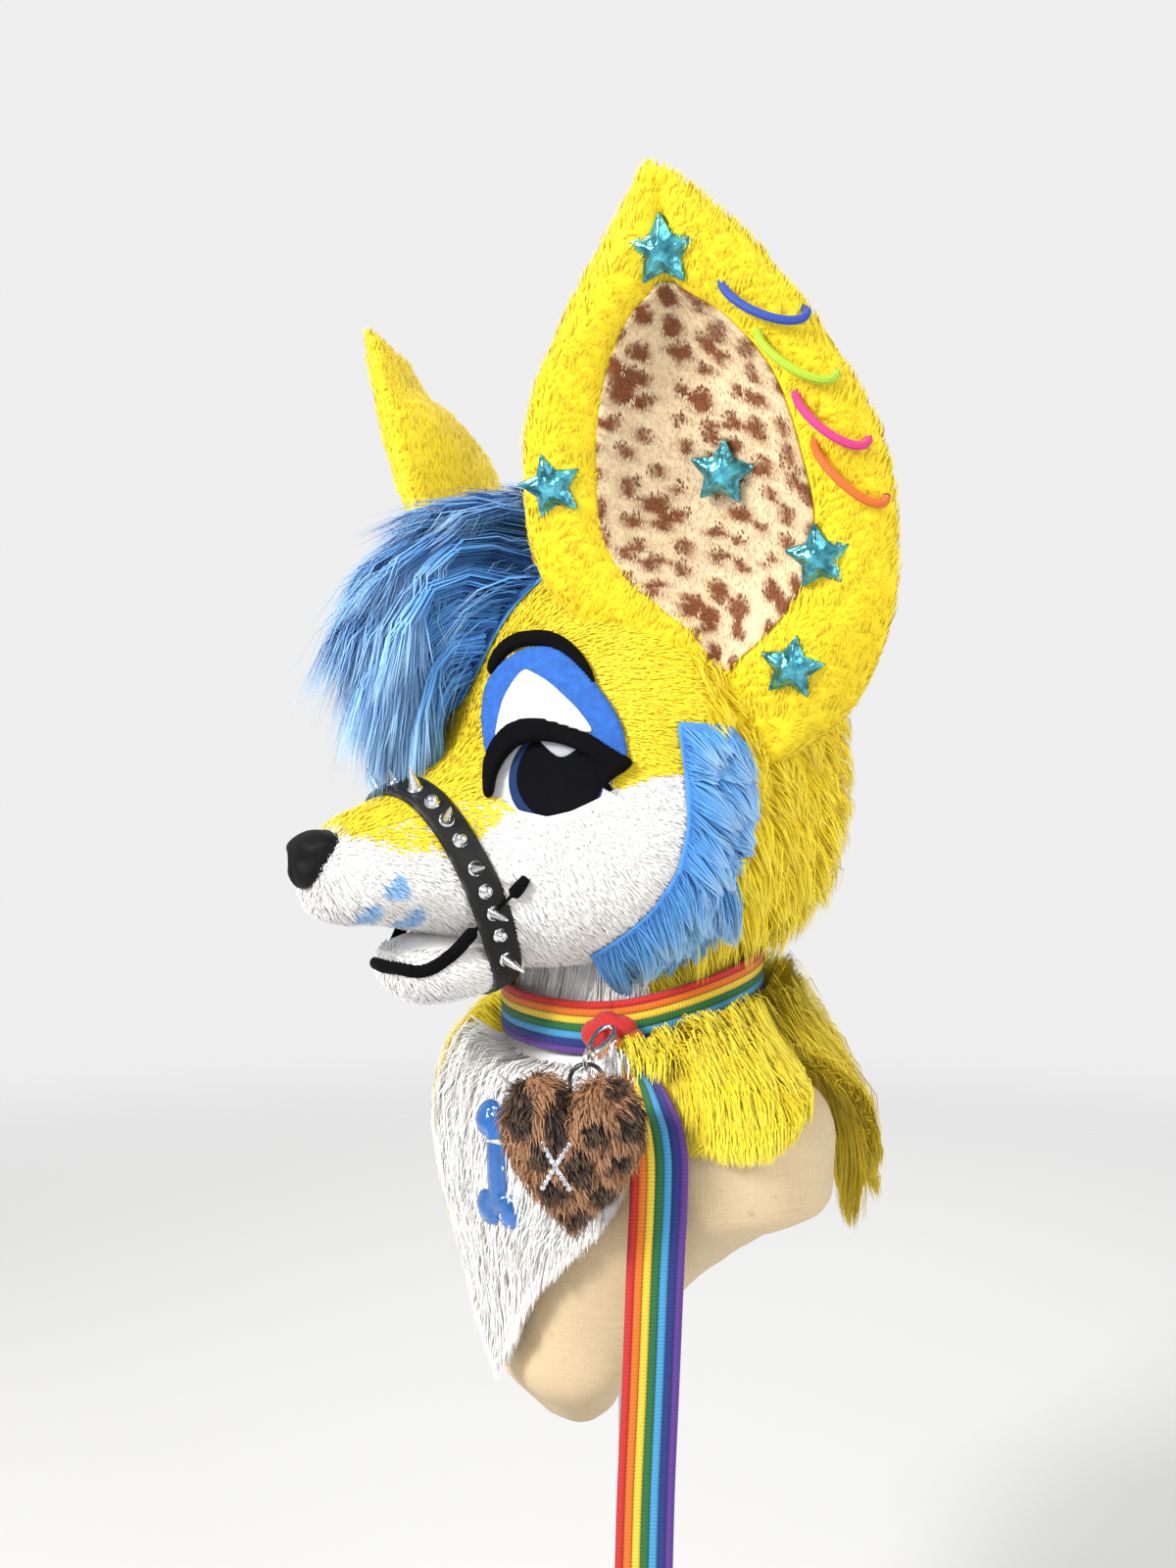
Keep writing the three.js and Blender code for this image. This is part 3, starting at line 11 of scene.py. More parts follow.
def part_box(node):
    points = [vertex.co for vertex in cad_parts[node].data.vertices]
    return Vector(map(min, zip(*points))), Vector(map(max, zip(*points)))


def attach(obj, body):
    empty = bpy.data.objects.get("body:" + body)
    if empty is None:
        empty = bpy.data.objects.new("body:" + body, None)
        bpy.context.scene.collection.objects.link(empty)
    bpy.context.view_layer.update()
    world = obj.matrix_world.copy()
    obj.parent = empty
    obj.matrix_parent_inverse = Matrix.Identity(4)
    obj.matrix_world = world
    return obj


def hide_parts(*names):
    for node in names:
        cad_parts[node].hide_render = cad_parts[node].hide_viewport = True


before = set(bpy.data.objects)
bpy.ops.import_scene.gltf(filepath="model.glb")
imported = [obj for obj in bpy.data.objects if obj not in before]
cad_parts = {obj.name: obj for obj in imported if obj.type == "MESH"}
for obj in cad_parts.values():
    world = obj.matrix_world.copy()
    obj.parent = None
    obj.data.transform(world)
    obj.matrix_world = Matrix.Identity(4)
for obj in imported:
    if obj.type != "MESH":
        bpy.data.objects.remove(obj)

bl_info = {
    "name": "Partial fursuit",
    "version": (1, 0, 0),
    "blender": (4, 5, 0),
    "location": "3D View > Sidebar > Fursuit",
    "description": "Builds a fur animal head, neck and yoke on a bust form with its stand",
    "category": "Add Mesh",
}

MM = 0.001
LEVEL = 620.0
UP = np.array([0.0, 0.0, 1.0])
SQUARENESS = 0.88

# Camera at the photograph's angle and level with the eyes, where the lamps aim, and the floor, in metres
CAMERA_PLACE, CAMERA_TURN = (0.8532, -0.5223, 0.620), 60
SENSOR_WIDTH, LENS = 36.0, 39.375
LIGHT_TARGET = (0, -0.03, 0.6)
FLOOR_HALF = 20.0


# Small helpers
def unit(v):
    return v / np.maximum(np.linalg.norm(v, axis=-1, keepdims=True), 1e-12)


def outward(azimuth):
    a = np.radians(np.asarray(azimuth, float))
    return np.stack([np.sin(a), -np.cos(a), 0 * a], -1)


def sideways(azimuth):
    a = np.radians(np.asarray(azimuth, float))
    return np.stack([np.cos(a), np.sin(a), 0 * a], -1)


def signed(value, power):
    return np.sign(value) * np.abs(value) ** power


def mix(a, b, share):
    return a + (b - a) * share


def mirrored(points):
    return points * np.array([-1.0, 1.0, 1.0])


class Curve:
    """A smooth curve through points that never overshoots them"""

    def __init__(self, xs, ys):
        self.x, self.y = np.asarray(xs, float), np.asarray(ys, float)
        secant = np.diff(self.y) / np.diff(self.x)
        before, after = np.r_[secant[0], secant], np.r_[secant, secant[-1]]
        same = before * after > 0
        self.slope = np.where(same, 2 * before * after / np.where(same, before + after, 1), 0)

    def __call__(self, value):
        x, y, m = self.x, self.y, self.slope
        i = np.clip(np.searchsorted(x, value, side="right") - 1, 0, len(x) - 2)
        span = x[i + 1] - x[i]
        t = np.clip((value - x[i]) / span, 0, 1)
        u = 1 - t
        ends = y[i] * (1 + 2 * t) * u * u + y[i + 1] * (3 - 2 * t) * t * t
        return ends + m[i] * span * t * u * u - m[i + 1] * span * t * t * u


class Profile:
    """A table of sections, read at a place from 0, its first row, to 1, its last"""

    def __init__(self, rows):
        rows = np.array(rows, float)
        length = np.r_[0, np.cumsum(np.linalg.norm(np.diff(rows, axis=0), axis=1))]
        places = length / length[-1]
        self.curves = [Curve(places, rows[:, c]) for c in range(rows.shape[1])]
        self.fine = np.linspace(0, 1, 6001)
        self.falling = -self.curves[0](self.fine)

    def at(self, place):
        return [curve(place) for curve in self.curves]

    def place(self, value):
        return np.interp(-np.asarray(value, float), self.falling, self.fine)


def moved_out(surface, centre, place, angle, out):
    """A surface point moved out along the normal"""
    point = surface(place, angle)
    step = 1e-3
    along = surface(np.minimum(place + step, 1), angle) - surface(np.maximum(place - step, 0), angle)
    normal = unit(np.cross(along, surface(place, angle + step) - surface(place, angle - step)))
    away = ((point - centre(place)) * normal).sum(-1, keepdims=True)
    normal = np.where(away < 0, -normal, normal)
    return point + normal * np.asarray(out, float)[..., None], normal


# Head: y, half width, top, bottom and height of the widest line of each section
HEAD = Profile([
    [113, 0, 20, 20, 20], [107, 45, 70, -30, 20], [91, 82, 105, -70, 20], [58, 106, 130, -95, 18],
    [20, 115, 138, -102, 12], [-20, 117, 137, -104, 2], [-50, 112, 130, -104, -8],
    [-75, 97, 115, -102, -20], [-95, 78, 92, -99, -30], [-110, 62, 55, -95, -38],
    [-122, 54, 22, -88, -42], [-140, 49, 5, -80, -46], [-160, 45, -8, -76, -47],
    [-178, 40, -16, -75, -47], [-192, 31, -25, -72, -47], [-200, 17, -34, -63, -48],
    [-203, 0, -48, -48, -48],
])


def head_surface(place, angle):
    y, half, top, bottom, widest = HEAD.at(place)
    rise = np.where(np.sin(angle) > 0, top - widest, widest - bottom)
    return np.stack(np.broadcast_arrays(
        half * signed(np.cos(angle), SQUARENESS), y, widest + rise * signed(np.sin(angle), SQUARENESS),
    ), -1)


def head_centre(place):
    y, _, _, _, widest = HEAD.at(place)
    return np.stack([0 * y, np.clip(y, -190, 90), widest], -1)


def head_point(place, angle, out=0.0):
    place, angle, out = np.broadcast_arrays(*(np.asarray(v, float) for v in (place, angle, out)))
    return moved_out(head_surface, head_centre, place, angle, out)


def head_field(points):
    """Below 0 inside the head and above 0 outside"""
    x, y, z = np.moveaxis(points, -1, 0)
    _, half, top, bottom, widest = HEAD.at(HEAD.place(y))
    rise = np.maximum(np.where(z > widest, top - widest, widest - bottom), 0.05)
    power = 2 / SQUARENESS
    value = (np.abs(x) / np.maximum(half, 0.05)) ** power + (np.abs(z - widest) / rise) ** power - 1
    return np.where((y < -203) | (y > 113), 1.0, value)


def field_normal(field, points, step=0.4):
    slope = [field(points + step * axis) - field(points - step * axis) for axis in np.eye(3)]
    return unit(np.stack(slope, -1))


def drop(field, start, direction, reach):
    """Points where straight lines from outside first meet a solid, by halving"""
    low, high = np.zeros(len(start)), np.full(len(start), float(reach))
    for _ in range(22):
        middle = (low + high) / 2
        inside = field(start + direction * middle[:, None]) < 0
        high, low = np.where(inside, middle, high), np.where(inside, low, middle)
    return start + direction * ((low + high) / 2)[:, None]


# Jaw and nose in the same columns as the head
JAW = Profile([
    [-80, 0, -96, -96, -96], [-84, 22, -86, -104, -95], [-100, 39, -80, -112, -94],
    [-120, 40, -78, -117, -95], [-133, 37, -80, -118, -96], [-144, 31, -83, -115, -97],
    [-152, 20, -88, -107, -98], [-156, 0, -98, -98, -98],
])
NOSE = Profile([
    [-178, 0, -34, -34, -34], [-180, 12, -27, -44, -34], [-186, 20, -24, -51, -33],
    [-195, 22.5, -24, -55, -32], [-203, 19, -27, -55, -34], [-208, 12, -31, -49, -37],
    [-210, 0, -40, -40, -40],
])


def section_point(profile, power, place, angle):
    y, half, top, bottom, widest = profile.at(place)
    rise = np.where(np.sin(angle) > 0, top - widest, widest - bottom)
    return np.stack(np.broadcast_arrays(
        half * signed(np.cos(angle), power), y, widest + rise * np.sin(angle)), -1)


def jaw_field(points):
    x, y, z = np.moveaxis(points, -1, 0)
    _, half, top, bottom, widest = JAW.at(JAW.place(y))
    rise = np.maximum(np.where(z > widest, top - widest, widest - bottom), 0.05)
    value = (np.abs(x) / np.maximum(half, 0.05)) ** (2 / 0.9) + ((z - widest) / rise) ** 2 - 1
    return np.where((y < -156) | (y > -80), 1.0, value)


# Bust form: height, half widths across and from front to back, and middle from front to back
FORM = Profile([
    [123.3, 0, 0, 5], [119, 24, 30, 5], [103, 52, 62, 4], [70, 74, 88, 2], [20, 76, 93, 0],
    [-25, 66, 76, 1], [-55, 57, 60, 3], [-105, 58, 58, 1], [-132, 60, 60, 0], [-145, 69, 63, 1],
    [-153, 92, 70, 2], [-162, 128, 77, 2], [-174, 148, 84, 1], [-190, 154, 88, 0],
    [-220, 152, 86, -1], [-235, 130, 73, -15], [-250, 110, 61, -25], [-270, 89, 50, -35],
    [-300, 72, 40, -41], [-331, 54, 30, -48], [-350, 32, 18, -42], [-358, 18, 10, -41],
    [-361, 0, 0, -41],
])
FORM_RATIO = 1.75


def form_surface(place, angle):
    height, half_x, half_y, centre = FORM.at(place)
    return np.stack([half_x * np.sin(angle), centre - half_y * np.cos(angle), height], -1)


def form_centre(place):
    height, _, _, centre = FORM.at(place)
    return np.stack([0 * height, centre, np.clip(height, -200, 60)], -1)


def form_point(place, angle, out=0.0):
    place, angle, out = np.broadcast_arrays(*(np.asarray(v, float) for v in (place, angle, out)))
    return moved_out(form_surface, form_centre, place, angle, out)


def around_form(azimuth):
    turns = np.round(np.asarray(azimuth, float) / 360)
    rest = np.radians(azimuth - 360 * turns)
    return np.arctan2(np.sin(rest) / FORM_RATIO, np.cos(rest)) + 2 * np.pi * turns


# Outlines of the head's pieces in the side view: y, height
CHEEK_TOP = [
    [-216, -36], [-190, -28], [-160, -20], [-135, -10], [-118, -8], [-100, -10], [-72, -3],
    [-55, 4], [-25, 8],
]
PATCH = Curve([-200, -190, -160, -140, -125, -112, -104], [-30, -28, -34, -34, -26, -14, -8])
CHEEK_BACK = [[-25, -45], [-30, -80], [-45, -125]]
CROWN_SEAM = [[-32, 160], [-28, 60]]
CHEEK_OUTLINE = CHEEK_TOP + CHEEK_BACK + [[-216, -125]]
BACK_OUTLINE = CROWN_SEAM + CHEEK_TOP[-1:] + CHEEK_BACK + [[140, -125], [140, 160]]

# Outlines round the eye, in the plane that faces along the eye: across, height
EYE_FACING, EYE_DEPTH = 45, 118.1
EYE_OPENING = [
    [-49, -5], [-49.5, 6], [-46.5, 17], [-40, 24], [-31, 27], [-20, 27.5], [-8, 25], [5, 20.5],
    [17, 12.5], [24, 9], [18, 3], [15, 0], [18, -4], [8, -9], [-3, -14], [-16, -17], [-31, -14],
    [-39, -10],
]
LASH = [
    [-50.5, -6], [-51.5, 8], [-48, 20], [-41, 29], [-31, 33.5], [-20, 34], [-8, 31], [6, 26],
    [18, 18.5], [29, 11], [20, 3], [17, 0.5], [20, -4.5], [14, -2], [13, 4], [9, 12], [-4, 19],
    [-18, 22], [-31, 20.5], [-39, 14], [-44, 5], [-46, -6],
]
LID = [
    [-51, 15], [-55.7, 30.4], [-57.3, 42.5], [-56.2, 53], [-53, 58], [-43.8, 66.4], [-32.8, 71.5],
    [-20.2, 72], [-9.4, 68], [3, 58], [10.6, 49], [18.3, 38.7], [24, 26.8], [26, 12], [18, 16.5],
    [6, 24], [-8, 28.5], [-20, 31.5], [-31, 31.5], [-41, 27], [-47, 18],
]
LID_PATCH = [
    [-45, 24], [-43.8, 36.3], [-40.6, 46.8], [-32, 58.5], [-24.9, 57], [-15.6, 51.7], [-6.3, 44],
    [2, 36], [8, 26], [-8, 29.5], [-20, 32], [-31, 32], [-40, 27],
]
BROW = [
    [-55.7, 59], [-54.9, 66.7], [-50, 74], [-42.2, 79], [-31.2, 81.2], [-20.2, 80.2], [-9.4, 75.5],
    [0, 67], [6, 58], [9, 47.6], [3, 55.5], [-6.3, 64.2], [-15.6, 70], [-28, 73], [-39, 72],
    [-46.9, 67.5], [-52, 60.5],
]
HAIR_OUTLINE = [
    [-34, 150], [30, 150], [31, 120], [24, 90], [16, 62], [8, 44], [-4, 38], [-20, 40], [-34, 62],
    [-40, 90], [-40, 120],
]
RUFF_OUTLINE = [
    [-42, 32], [-39, 5], [-37, -20], [-39, -45], [-47, -66], [-64, -92], [-34, -100], [-18, -92],
    [-10, -62], [-5, -31], [-4, 5], [-8, 30],
]


def signed_distance(outline, points):
    """Distance to a closed flat outline, above 0 inside it"""
    a = np.asarray(outline, float)
    b = np.roll(a, -1, axis=0)
    nearest = np.full(len(points), 1e9)
    inside = np.zeros(len(points), bool)
    for (ax, ay), (bx, by) in zip(a, b):
        edge = np.array([bx - ax, by - ay])
        rel = points - [ax, ay]
        share = np.clip(rel @ edge / max(edge @ edge, 1e-9), 0, 1)
        nearest = np.minimum(nearest, np.linalg.norm(rel - share[:, None] * edge, axis=1))
        crosses = (ay > points[:, 1]) != (by > points[:, 1])
        level = np.where(by == ay, 1e-9, by - ay)
        inside ^= crosses & (points[:, 0] < ax + (points[:, 1] - ay) / level * edge[0])
    return np.where(inside, nearest, -nearest)


def rounded_outline(outline, per_edge=5, closed=True):
    """A curve through the points of an outline"""
    p = np.asarray(outline, float)
    count = len(p)
    out = []
    for i in range(count if closed else count - 1):
        if closed:
            a, b, c, d = (p[(i + k) % count] for k in (-1, 0, 1, 2))
        else:
            a, b, c, d = (p[min(max(i + k, 0), count - 1)] for k in (-1, 0, 1, 2))
        for t in np.arange(per_edge) / per_edge:
            out.append(0.5 * (2 * b + (c - a) * t + (2 * a - 5 * b + 4 * c - d) * t * t
                              + (3 * b - a - 3 * c + d) * t ** 3))
    if not closed:
        out.append(p[-1])
    return np.array(out)


# Mesh tools: points are rows of a table whose first three columns are the place
def grid_faces(rows, columns, wrap=False):
    r, c = np.meshgrid(np.arange(rows - 1), np.arange(columns if wrap else columns - 1), indexing="ij")
    a, b = r * columns + c, r * columns + (c + 1) % columns
    d, e = a + columns, b + columns
    return np.stack([np.stack([a, b, e], -1), np.stack([a, e, d], -1)], 2).reshape(-1, 3)


def compact(points, faces):
    used, faces = np.unique(faces, return_inverse=True)
    return points[used], faces.reshape(-1, 3)


def clip(points, faces, field):
    """The part of a mesh where the field is above 0, cut through its faces"""
    inside = field > 0
    count = inside[faces].sum(1)
    kept, fresh, pairs = [faces[count == 3]], [], []
    for k in (1, 2):
        tri = faces[count == k]
        turn = (inside[tri] == (k == 1)).argmax(1)
        tri = np.take_along_axis(tri, (turn[:, None] + np.arange(3)) % 3, 1)
        fresh.append(tri)
        pairs += [tri[:, [0, 1]], tri[:, [0, 2]]]
    edges = np.sort(np.vstack(pairs), axis=1)
    if not len(edges):
        return compact(points, kept[0])
    unique, index = np.unique(edges, axis=0, return_inverse=True)
    index = index.reshape(-1)
    f0, f1 = field[unique[:, 0]], field[unique[:, 1]]
    t = np.clip(f0 / np.where(f0 == f1, 1, f0 - f1), 0.02, 0.98)[:, None]
    cut = points[unique[:, 0]] * (1 - t) + points[unique[:, 1]] * t
    one, two = len(fresh[0]), len(fresh[1])
    index = index + len(points)
    a, b, c, d = index[:one], index[one:2 * one], index[2 * one:2 * one + two], index[2 * one + two:]
    kept.append(np.stack([fresh[0][:, 0], a, b], -1))
    kept.append(np.stack([c, fresh[1][:, 1], fresh[1][:, 2]], -1))
    kept.append(np.stack([c, fresh[1][:, 2], d], -1))
    return compact(np.vstack([points, cut]), np.vstack(kept))


def cut_flat(outline, across, up):
    """A flat mesh inside an outline: across, up and the distance from the outline, and its faces"""
    flat = np.stack(np.meshgrid(across, up, indexing="ij"), -1).reshape(-1, 2)
    gap = signed_distance(outline, flat)
    table, faces = clip(np.hstack([flat, gap[:, None]]), grid_faces(len(across), len(up)), gap)
    return table.T, faces


def rim_edges(faces):
    edges = np.vstack([faces[:, [0, 1]], faces[:, [1, 2]], faces[:, [2, 0]]])
    size = faces.max() + 1
    forward = edges[:, 0] * size + edges[:, 1]
    backward = edges[:, 1] * size + edges[:, 0]
    return edges[~np.isin(forward, backward)]


def shell(points, faces, normals, low, high):
    """A closed sheet between two distances from a surface"""
    low, high = (np.broadcast_to(np.asarray(v, float), len(points))[:, None] for v in (low, high))
    outer, inner = points + normals * high, points + normals * low
    rim, count = rim_edges(faces), len(points)
    a, b = rim[:, 0], rim[:, 1]
    sides = np.vstack([np.stack([b, a, a + count], -1), np.stack([b, a + count, b + count], -1)])
    return np.vstack([outer, inner]), np.vstack([faces, faces[:, ::-1] + count, sides])


def loft(rings, start=None, finish=None):
    """A closed body through rings of equal count; the end points close it"""
    rings = np.asarray(rings, float)
    count, size = rings.shape[:2]
    points = rings.reshape(-1, rings.shape[2])
    faces = grid_faces(count, size, wrap=True)
    start = rings[0].mean(0) if start is None else np.asarray(start, float)
    finish = rings[-1].mean(0) if finish is None else np.asarray(finish, float)
    i = np.arange(size)
    first, last = len(points), len(points) + 1
    near = np.stack([np.full(size, first), (i + 1) % size, i], -1)
    back = (count - 1) * size
    far = np.stack([np.full(size, last), back + i, back + (i + 1) % size], -1)
    return np.vstack([points, start, finish]), np.vstack([faces, near, far])


def outside_out(points, faces):
    """Faces turned so that a closed body's volume is above 0"""
    a, b, c = (points[faces[:, k], :3] for k in range(3))
    volume = (a * np.cross(b, c)).sum()
    return faces if volume > 0 else faces[:, ::-1]


def frames_along(path, closed, toward=UP):
    """Tangent and two cross directions at each point of a path"""
    path = np.asarray(path, float)
    if closed:
        tangent = unit(np.roll(path, -1, 0) - np.roll(path, 1, 0))
    else:
        tangent = unit(np.gradient(path, axis=0))
    side = np.cross(tangent, toward)
    weak = np.linalg.norm(side, axis=1) < 1e-3
    side[weak] = np.cross(tangent[weak], [0.31, 0.95, 0.05])
    side = unit(side)
    for i in range(1, len(side)):
        if side[i] @ side[i - 1] < 0:
            side[i] *= -1
    return tangent, side, np.cross(side, tangent)


def tube(path, radius, sides=10, closed=False, toward=UP, flat=1.0):
    """A round body along a path; the radius may change along it"""
    path = np.asarray(path, float)
    _, side, rise = frames_along(path, closed, toward)
    radius = np.broadcast_to(np.asarray(radius, float), len(path))[:, None, None]
    turn = 2 * np.pi * np.arange(sides) / sides
    ring = np.cos(turn)[None, :, None] * side[:, None] + flat * np.sin(turn)[None, :, None] * rise[:, None]
    rings = path[:, None] + radius * ring
    if closed:
        rings = np.vstack([rings, rings[:1]])
        points, faces = rings.reshape(-1, 3), grid_faces(len(rings), sides, wrap=True)
        faces = np.where(faces >= len(path) * sides, faces - len(path) * sides, faces)
        points = points[:len(path) * sides]
    else:
        points, faces = loft(rings)
    return points, outside_out(points, faces)


def circle(centre, first, second, radius, count):
    turn = 2 * np.pi * np.arange(count)[:, None] / count
    return centre + radius * (np.cos(turn) * first + np.sin(turn) * second)


def joined(*bodies):
    points, faces, first = [], [], 0
    for p, f in bodies:
        points.append(p)
        faces.append(f + first)
        first += len(p)
    return np.vstack(points), np.vstack(faces)


def mesh_piece(name, points, faces, material, body="costume", marks=None, normals=None, smooth=True):
    """A Blender object from a table of points in millimetres; it rides on a body"""
    place = np.array(points[:, :3], float)
    place[:, 2] += LEVEL
    place *= MM
    mesh = bpy.data.meshes.new(name)
    mesh.vertices.add(len(place))
    mesh.vertices.foreach_set("co", place.ravel())
    mesh.loops.add(faces.size)
    mesh.loops.foreach_set("vertex_index", faces.astype(np.int32).ravel())
    mesh.polygons.add(len(faces))
    mesh.polygons.foreach_set("loop_start", np.arange(0, faces.size, 3, dtype=np.int32))
    mesh.update(calc_edges=True)
    if smooth:
        mesh.shade_smooth()
    marks = dict(marks or {})
    for key, values in marks.items():
        values = np.asarray(values, float)
        kind = "FLOAT_VECTOR" if values.ndim == 2 else "FLOAT"
        attribute = mesh.attributes.new(key, kind, "POINT")
        attribute.data.foreach_set("vector" if values.ndim == 2 else "value", values.ravel())
    if normals is not None:
        mesh.normals_split_custom_set_from_vertices(unit(normals).tolist())
    mesh.materials.append(material)
    piece = bpy.data.objects.new(name, mesh)
    bpy.context.scene.collection.objects.link(piece)
    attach(piece, body)
    return piece


def scatter(points, faces, count, rng):
    """Random places spread evenly over a mesh; every column of its table is mixed"""
    a, b, c = (points[faces[:, k]] for k in range(3))
    area = np.linalg.norm(np.cross(b[:, :3] - a[:, :3], c[:, :3] - a[:, :3]), axis=1)
    pick = rng.choice(len(faces), size=count, p=area / area.sum())
    u, v = rng.random((2, count, 1))
    flip = u + v > 1
    u, v = np.where(flip, 1 - u, u), np.where(flip, 1 - v, v)
    return a[pick] + (b[pick] - a[pick]) * u + (c[pick] - a[pick]) * v


# Fur: each strand is a thin tapered ribbon along its own path
def clumped(paths, per_clump, strength, rng):
    """Strands drawn together towards the tip of the strand in the middle of their clump"""
    count = max(len(paths) // per_clump, 1)
    centres = rng.choice(len(paths), size=count, replace=False)
    tree = kdtree.KDTree(count)
    for i, k in enumerate(centres):
        tree.insert(Vector(paths[k, 0]), i)
    tree.balance()
    owner = np.array([tree.find(Vector(p))[1] for p in paths[:, 0]])
    share = np.linspace(0, 1, paths.shape[1])[None, :, None] ** 1.4
    pull = strength * (0.7 + 0.6 * rng.random((len(paths), 1, 1)))
    return paths + pull * share * (paths[centres[owner]] - paths), rng.random(count)[owner]


def combed(roots, normals, lay, length, stand, droop, jitter, segments, rng):
    """Paths that leave the surface at an angle and turn to the lay of the fur"""
    count = len(roots)
    wild = rng.normal(0, jitter, (2, count, 3))
    first = unit(stand * normals + (1 - stand) * lay + wild[0])
    last = unit(lay + 0.25 * stand * normals - droop * UP + wild[1])
    path = [roots]
    step = np.asarray(length, float)[:, None] / segments
    for k in range(segments):
        path.append(path[-1] + step * unit(mix(first, last, (k + 0.5) / segments)))
    return np.stack(path, 1)


def strands(name, paths, normals, width, material, rng, tone=None, paint=None, body="costume"):
    count, steps = paths.shape[0], paths.shape[1]
    tangent = unit(np.gradient(paths, axis=1))
    facing = normals[:, None] + rng.normal(0, 0.25, (count, 1, 3))
    side = unit(np.cross(tangent, facing))
    share = np.linspace(0, 1, steps)
    taper = (0.75 + 0.9 * share - 1.4 * share ** 2)[None, :, None]
    half = np.asarray(width, float).reshape(-1, 1, 1) * taper / 2 * (0.7 + 0.6 * rng.random((count, 1, 1)))
    left, right = paths[:, :-1] - (side * half)[:, :-1], paths[:, :-1] + (side * half)[:, :-1]
    points = np.concatenate([np.stack([left, right], 2).reshape(count, -1, 3), paths[:, -1:]], 1)
    each = points.shape[1]
    rows = []
    for k in range(steps - 2):
        a = 2 * k
        rows += [[a, a + 1, a + 3], [a, a + 3, a + 2]]
    rows.append([each - 3, each - 2, each - 1])
    faces = (np.array(rows)[None] + each * np.arange(count)[:, None, None]).reshape(-1, 3)
    bent = normals[:, None] - 0.7 * (normals[:, None] * tangent).sum(-1, keepdims=True) * tangent
    shade = unit(bent)
    wide = np.stack([unit(shade - 0.45 * side)[:, :-1], unit(shade + 0.45 * side)[:, :-1]], 2)
    shading = np.concatenate([wide.reshape(count, -1, 3), shade[:, -1:]], 1).reshape(-1, 3)
    along = np.concatenate([np.repeat(share[:-1], 2), [1.0]])
    tone = rng.random(count) if tone is None else 0.5 * tone + 0.5 * rng.random(count)
    paint = np.zeros(count) if paint is None else paint
    marks = {"along": np.tile(along, count), "tone": np.repeat(tone, each),
             "paint": np.repeat(paint, each)}
    return mesh_piece(name, points.reshape(-1, 3), faces, material, body, marks, shading)


# Node tools
def node(tree, kind, inputs=None, **settings):
    made = tree.nodes.new(kind)
    for key, value in settings.items():
        setattr(made, key, value)
    for key, value in (inputs or {}).items():
        if isinstance(value, bpy.types.NodeSocket):
            tree.links.new(value, made.inputs[key])
        else:
            made.inputs[key].default_value = value
    return made


def maths(tree, operation, *values, clamp=False):
    made = node(tree, "ShaderNodeMath", dict(enumerate(values)), operation=operation)
    made.use_clamp = clamp
    return made.outputs[0]


def blend(tree, share, first, second, kind="MIX"):
    made = node(tree, "ShaderNodeMix", {0: share, 6: first, 7: second}, data_type="RGBA", blend_type=kind)
    return made.outputs[2]


def spread(tree, value, low, high, to_low=0.0, to_high=1.0, smooth=False):
    kind = "SMOOTHSTEP" if smooth else "LINEAR"
    made = node(tree, "ShaderNodeMapRange", {0: value, 1: low, 2: high, 3: to_low, 4: to_high})
    made.interpolation_type = kind
    return made.outputs[0]


def mark(tree, name, output="Fac"):
    return node(tree, "ShaderNodeAttribute", attribute_name=name).outputs[output]


def noise(tree, vector, scale, detail=3.0, output="Fac"):
    made = node(tree, "ShaderNodeTexNoise", {"Vector": vector, "Scale": scale, "Detail": detail})
    return made.outputs[output]


def place_of(tree):
    return node(tree, "ShaderNodeTexCoord").outputs["Object"]


def colour(value, share=1.0):
    """A colour for a socket, made darker or lighter by a share"""
    return (*(min(c * share, 1.0) for c in value[:3]), 1.0)


def group(name, inputs, outputs, fill):
    """A shader node group: inputs and outputs are (name, socket type, default) and fill links it"""
    if name in bpy.data.node_groups:
        return bpy.data.node_groups[name]
    tree = bpy.data.node_groups.new(name, "ShaderNodeTree")
    for label, kind, default in inputs:
        socket = tree.interface.new_socket(label, in_out="INPUT", socket_type="NodeSocket" + kind)
        socket.default_value = default
    for label, kind in outputs:
        tree.interface.new_socket(label, in_out="OUTPUT", socket_type="NodeSocket" + kind)
    start, end = tree.nodes.new("NodeGroupInput"), tree.nodes.new("NodeGroupOutput")
    for label, socket in fill(tree, start.outputs).items():
        tree.links.new(socket, end.inputs[label])
    return tree


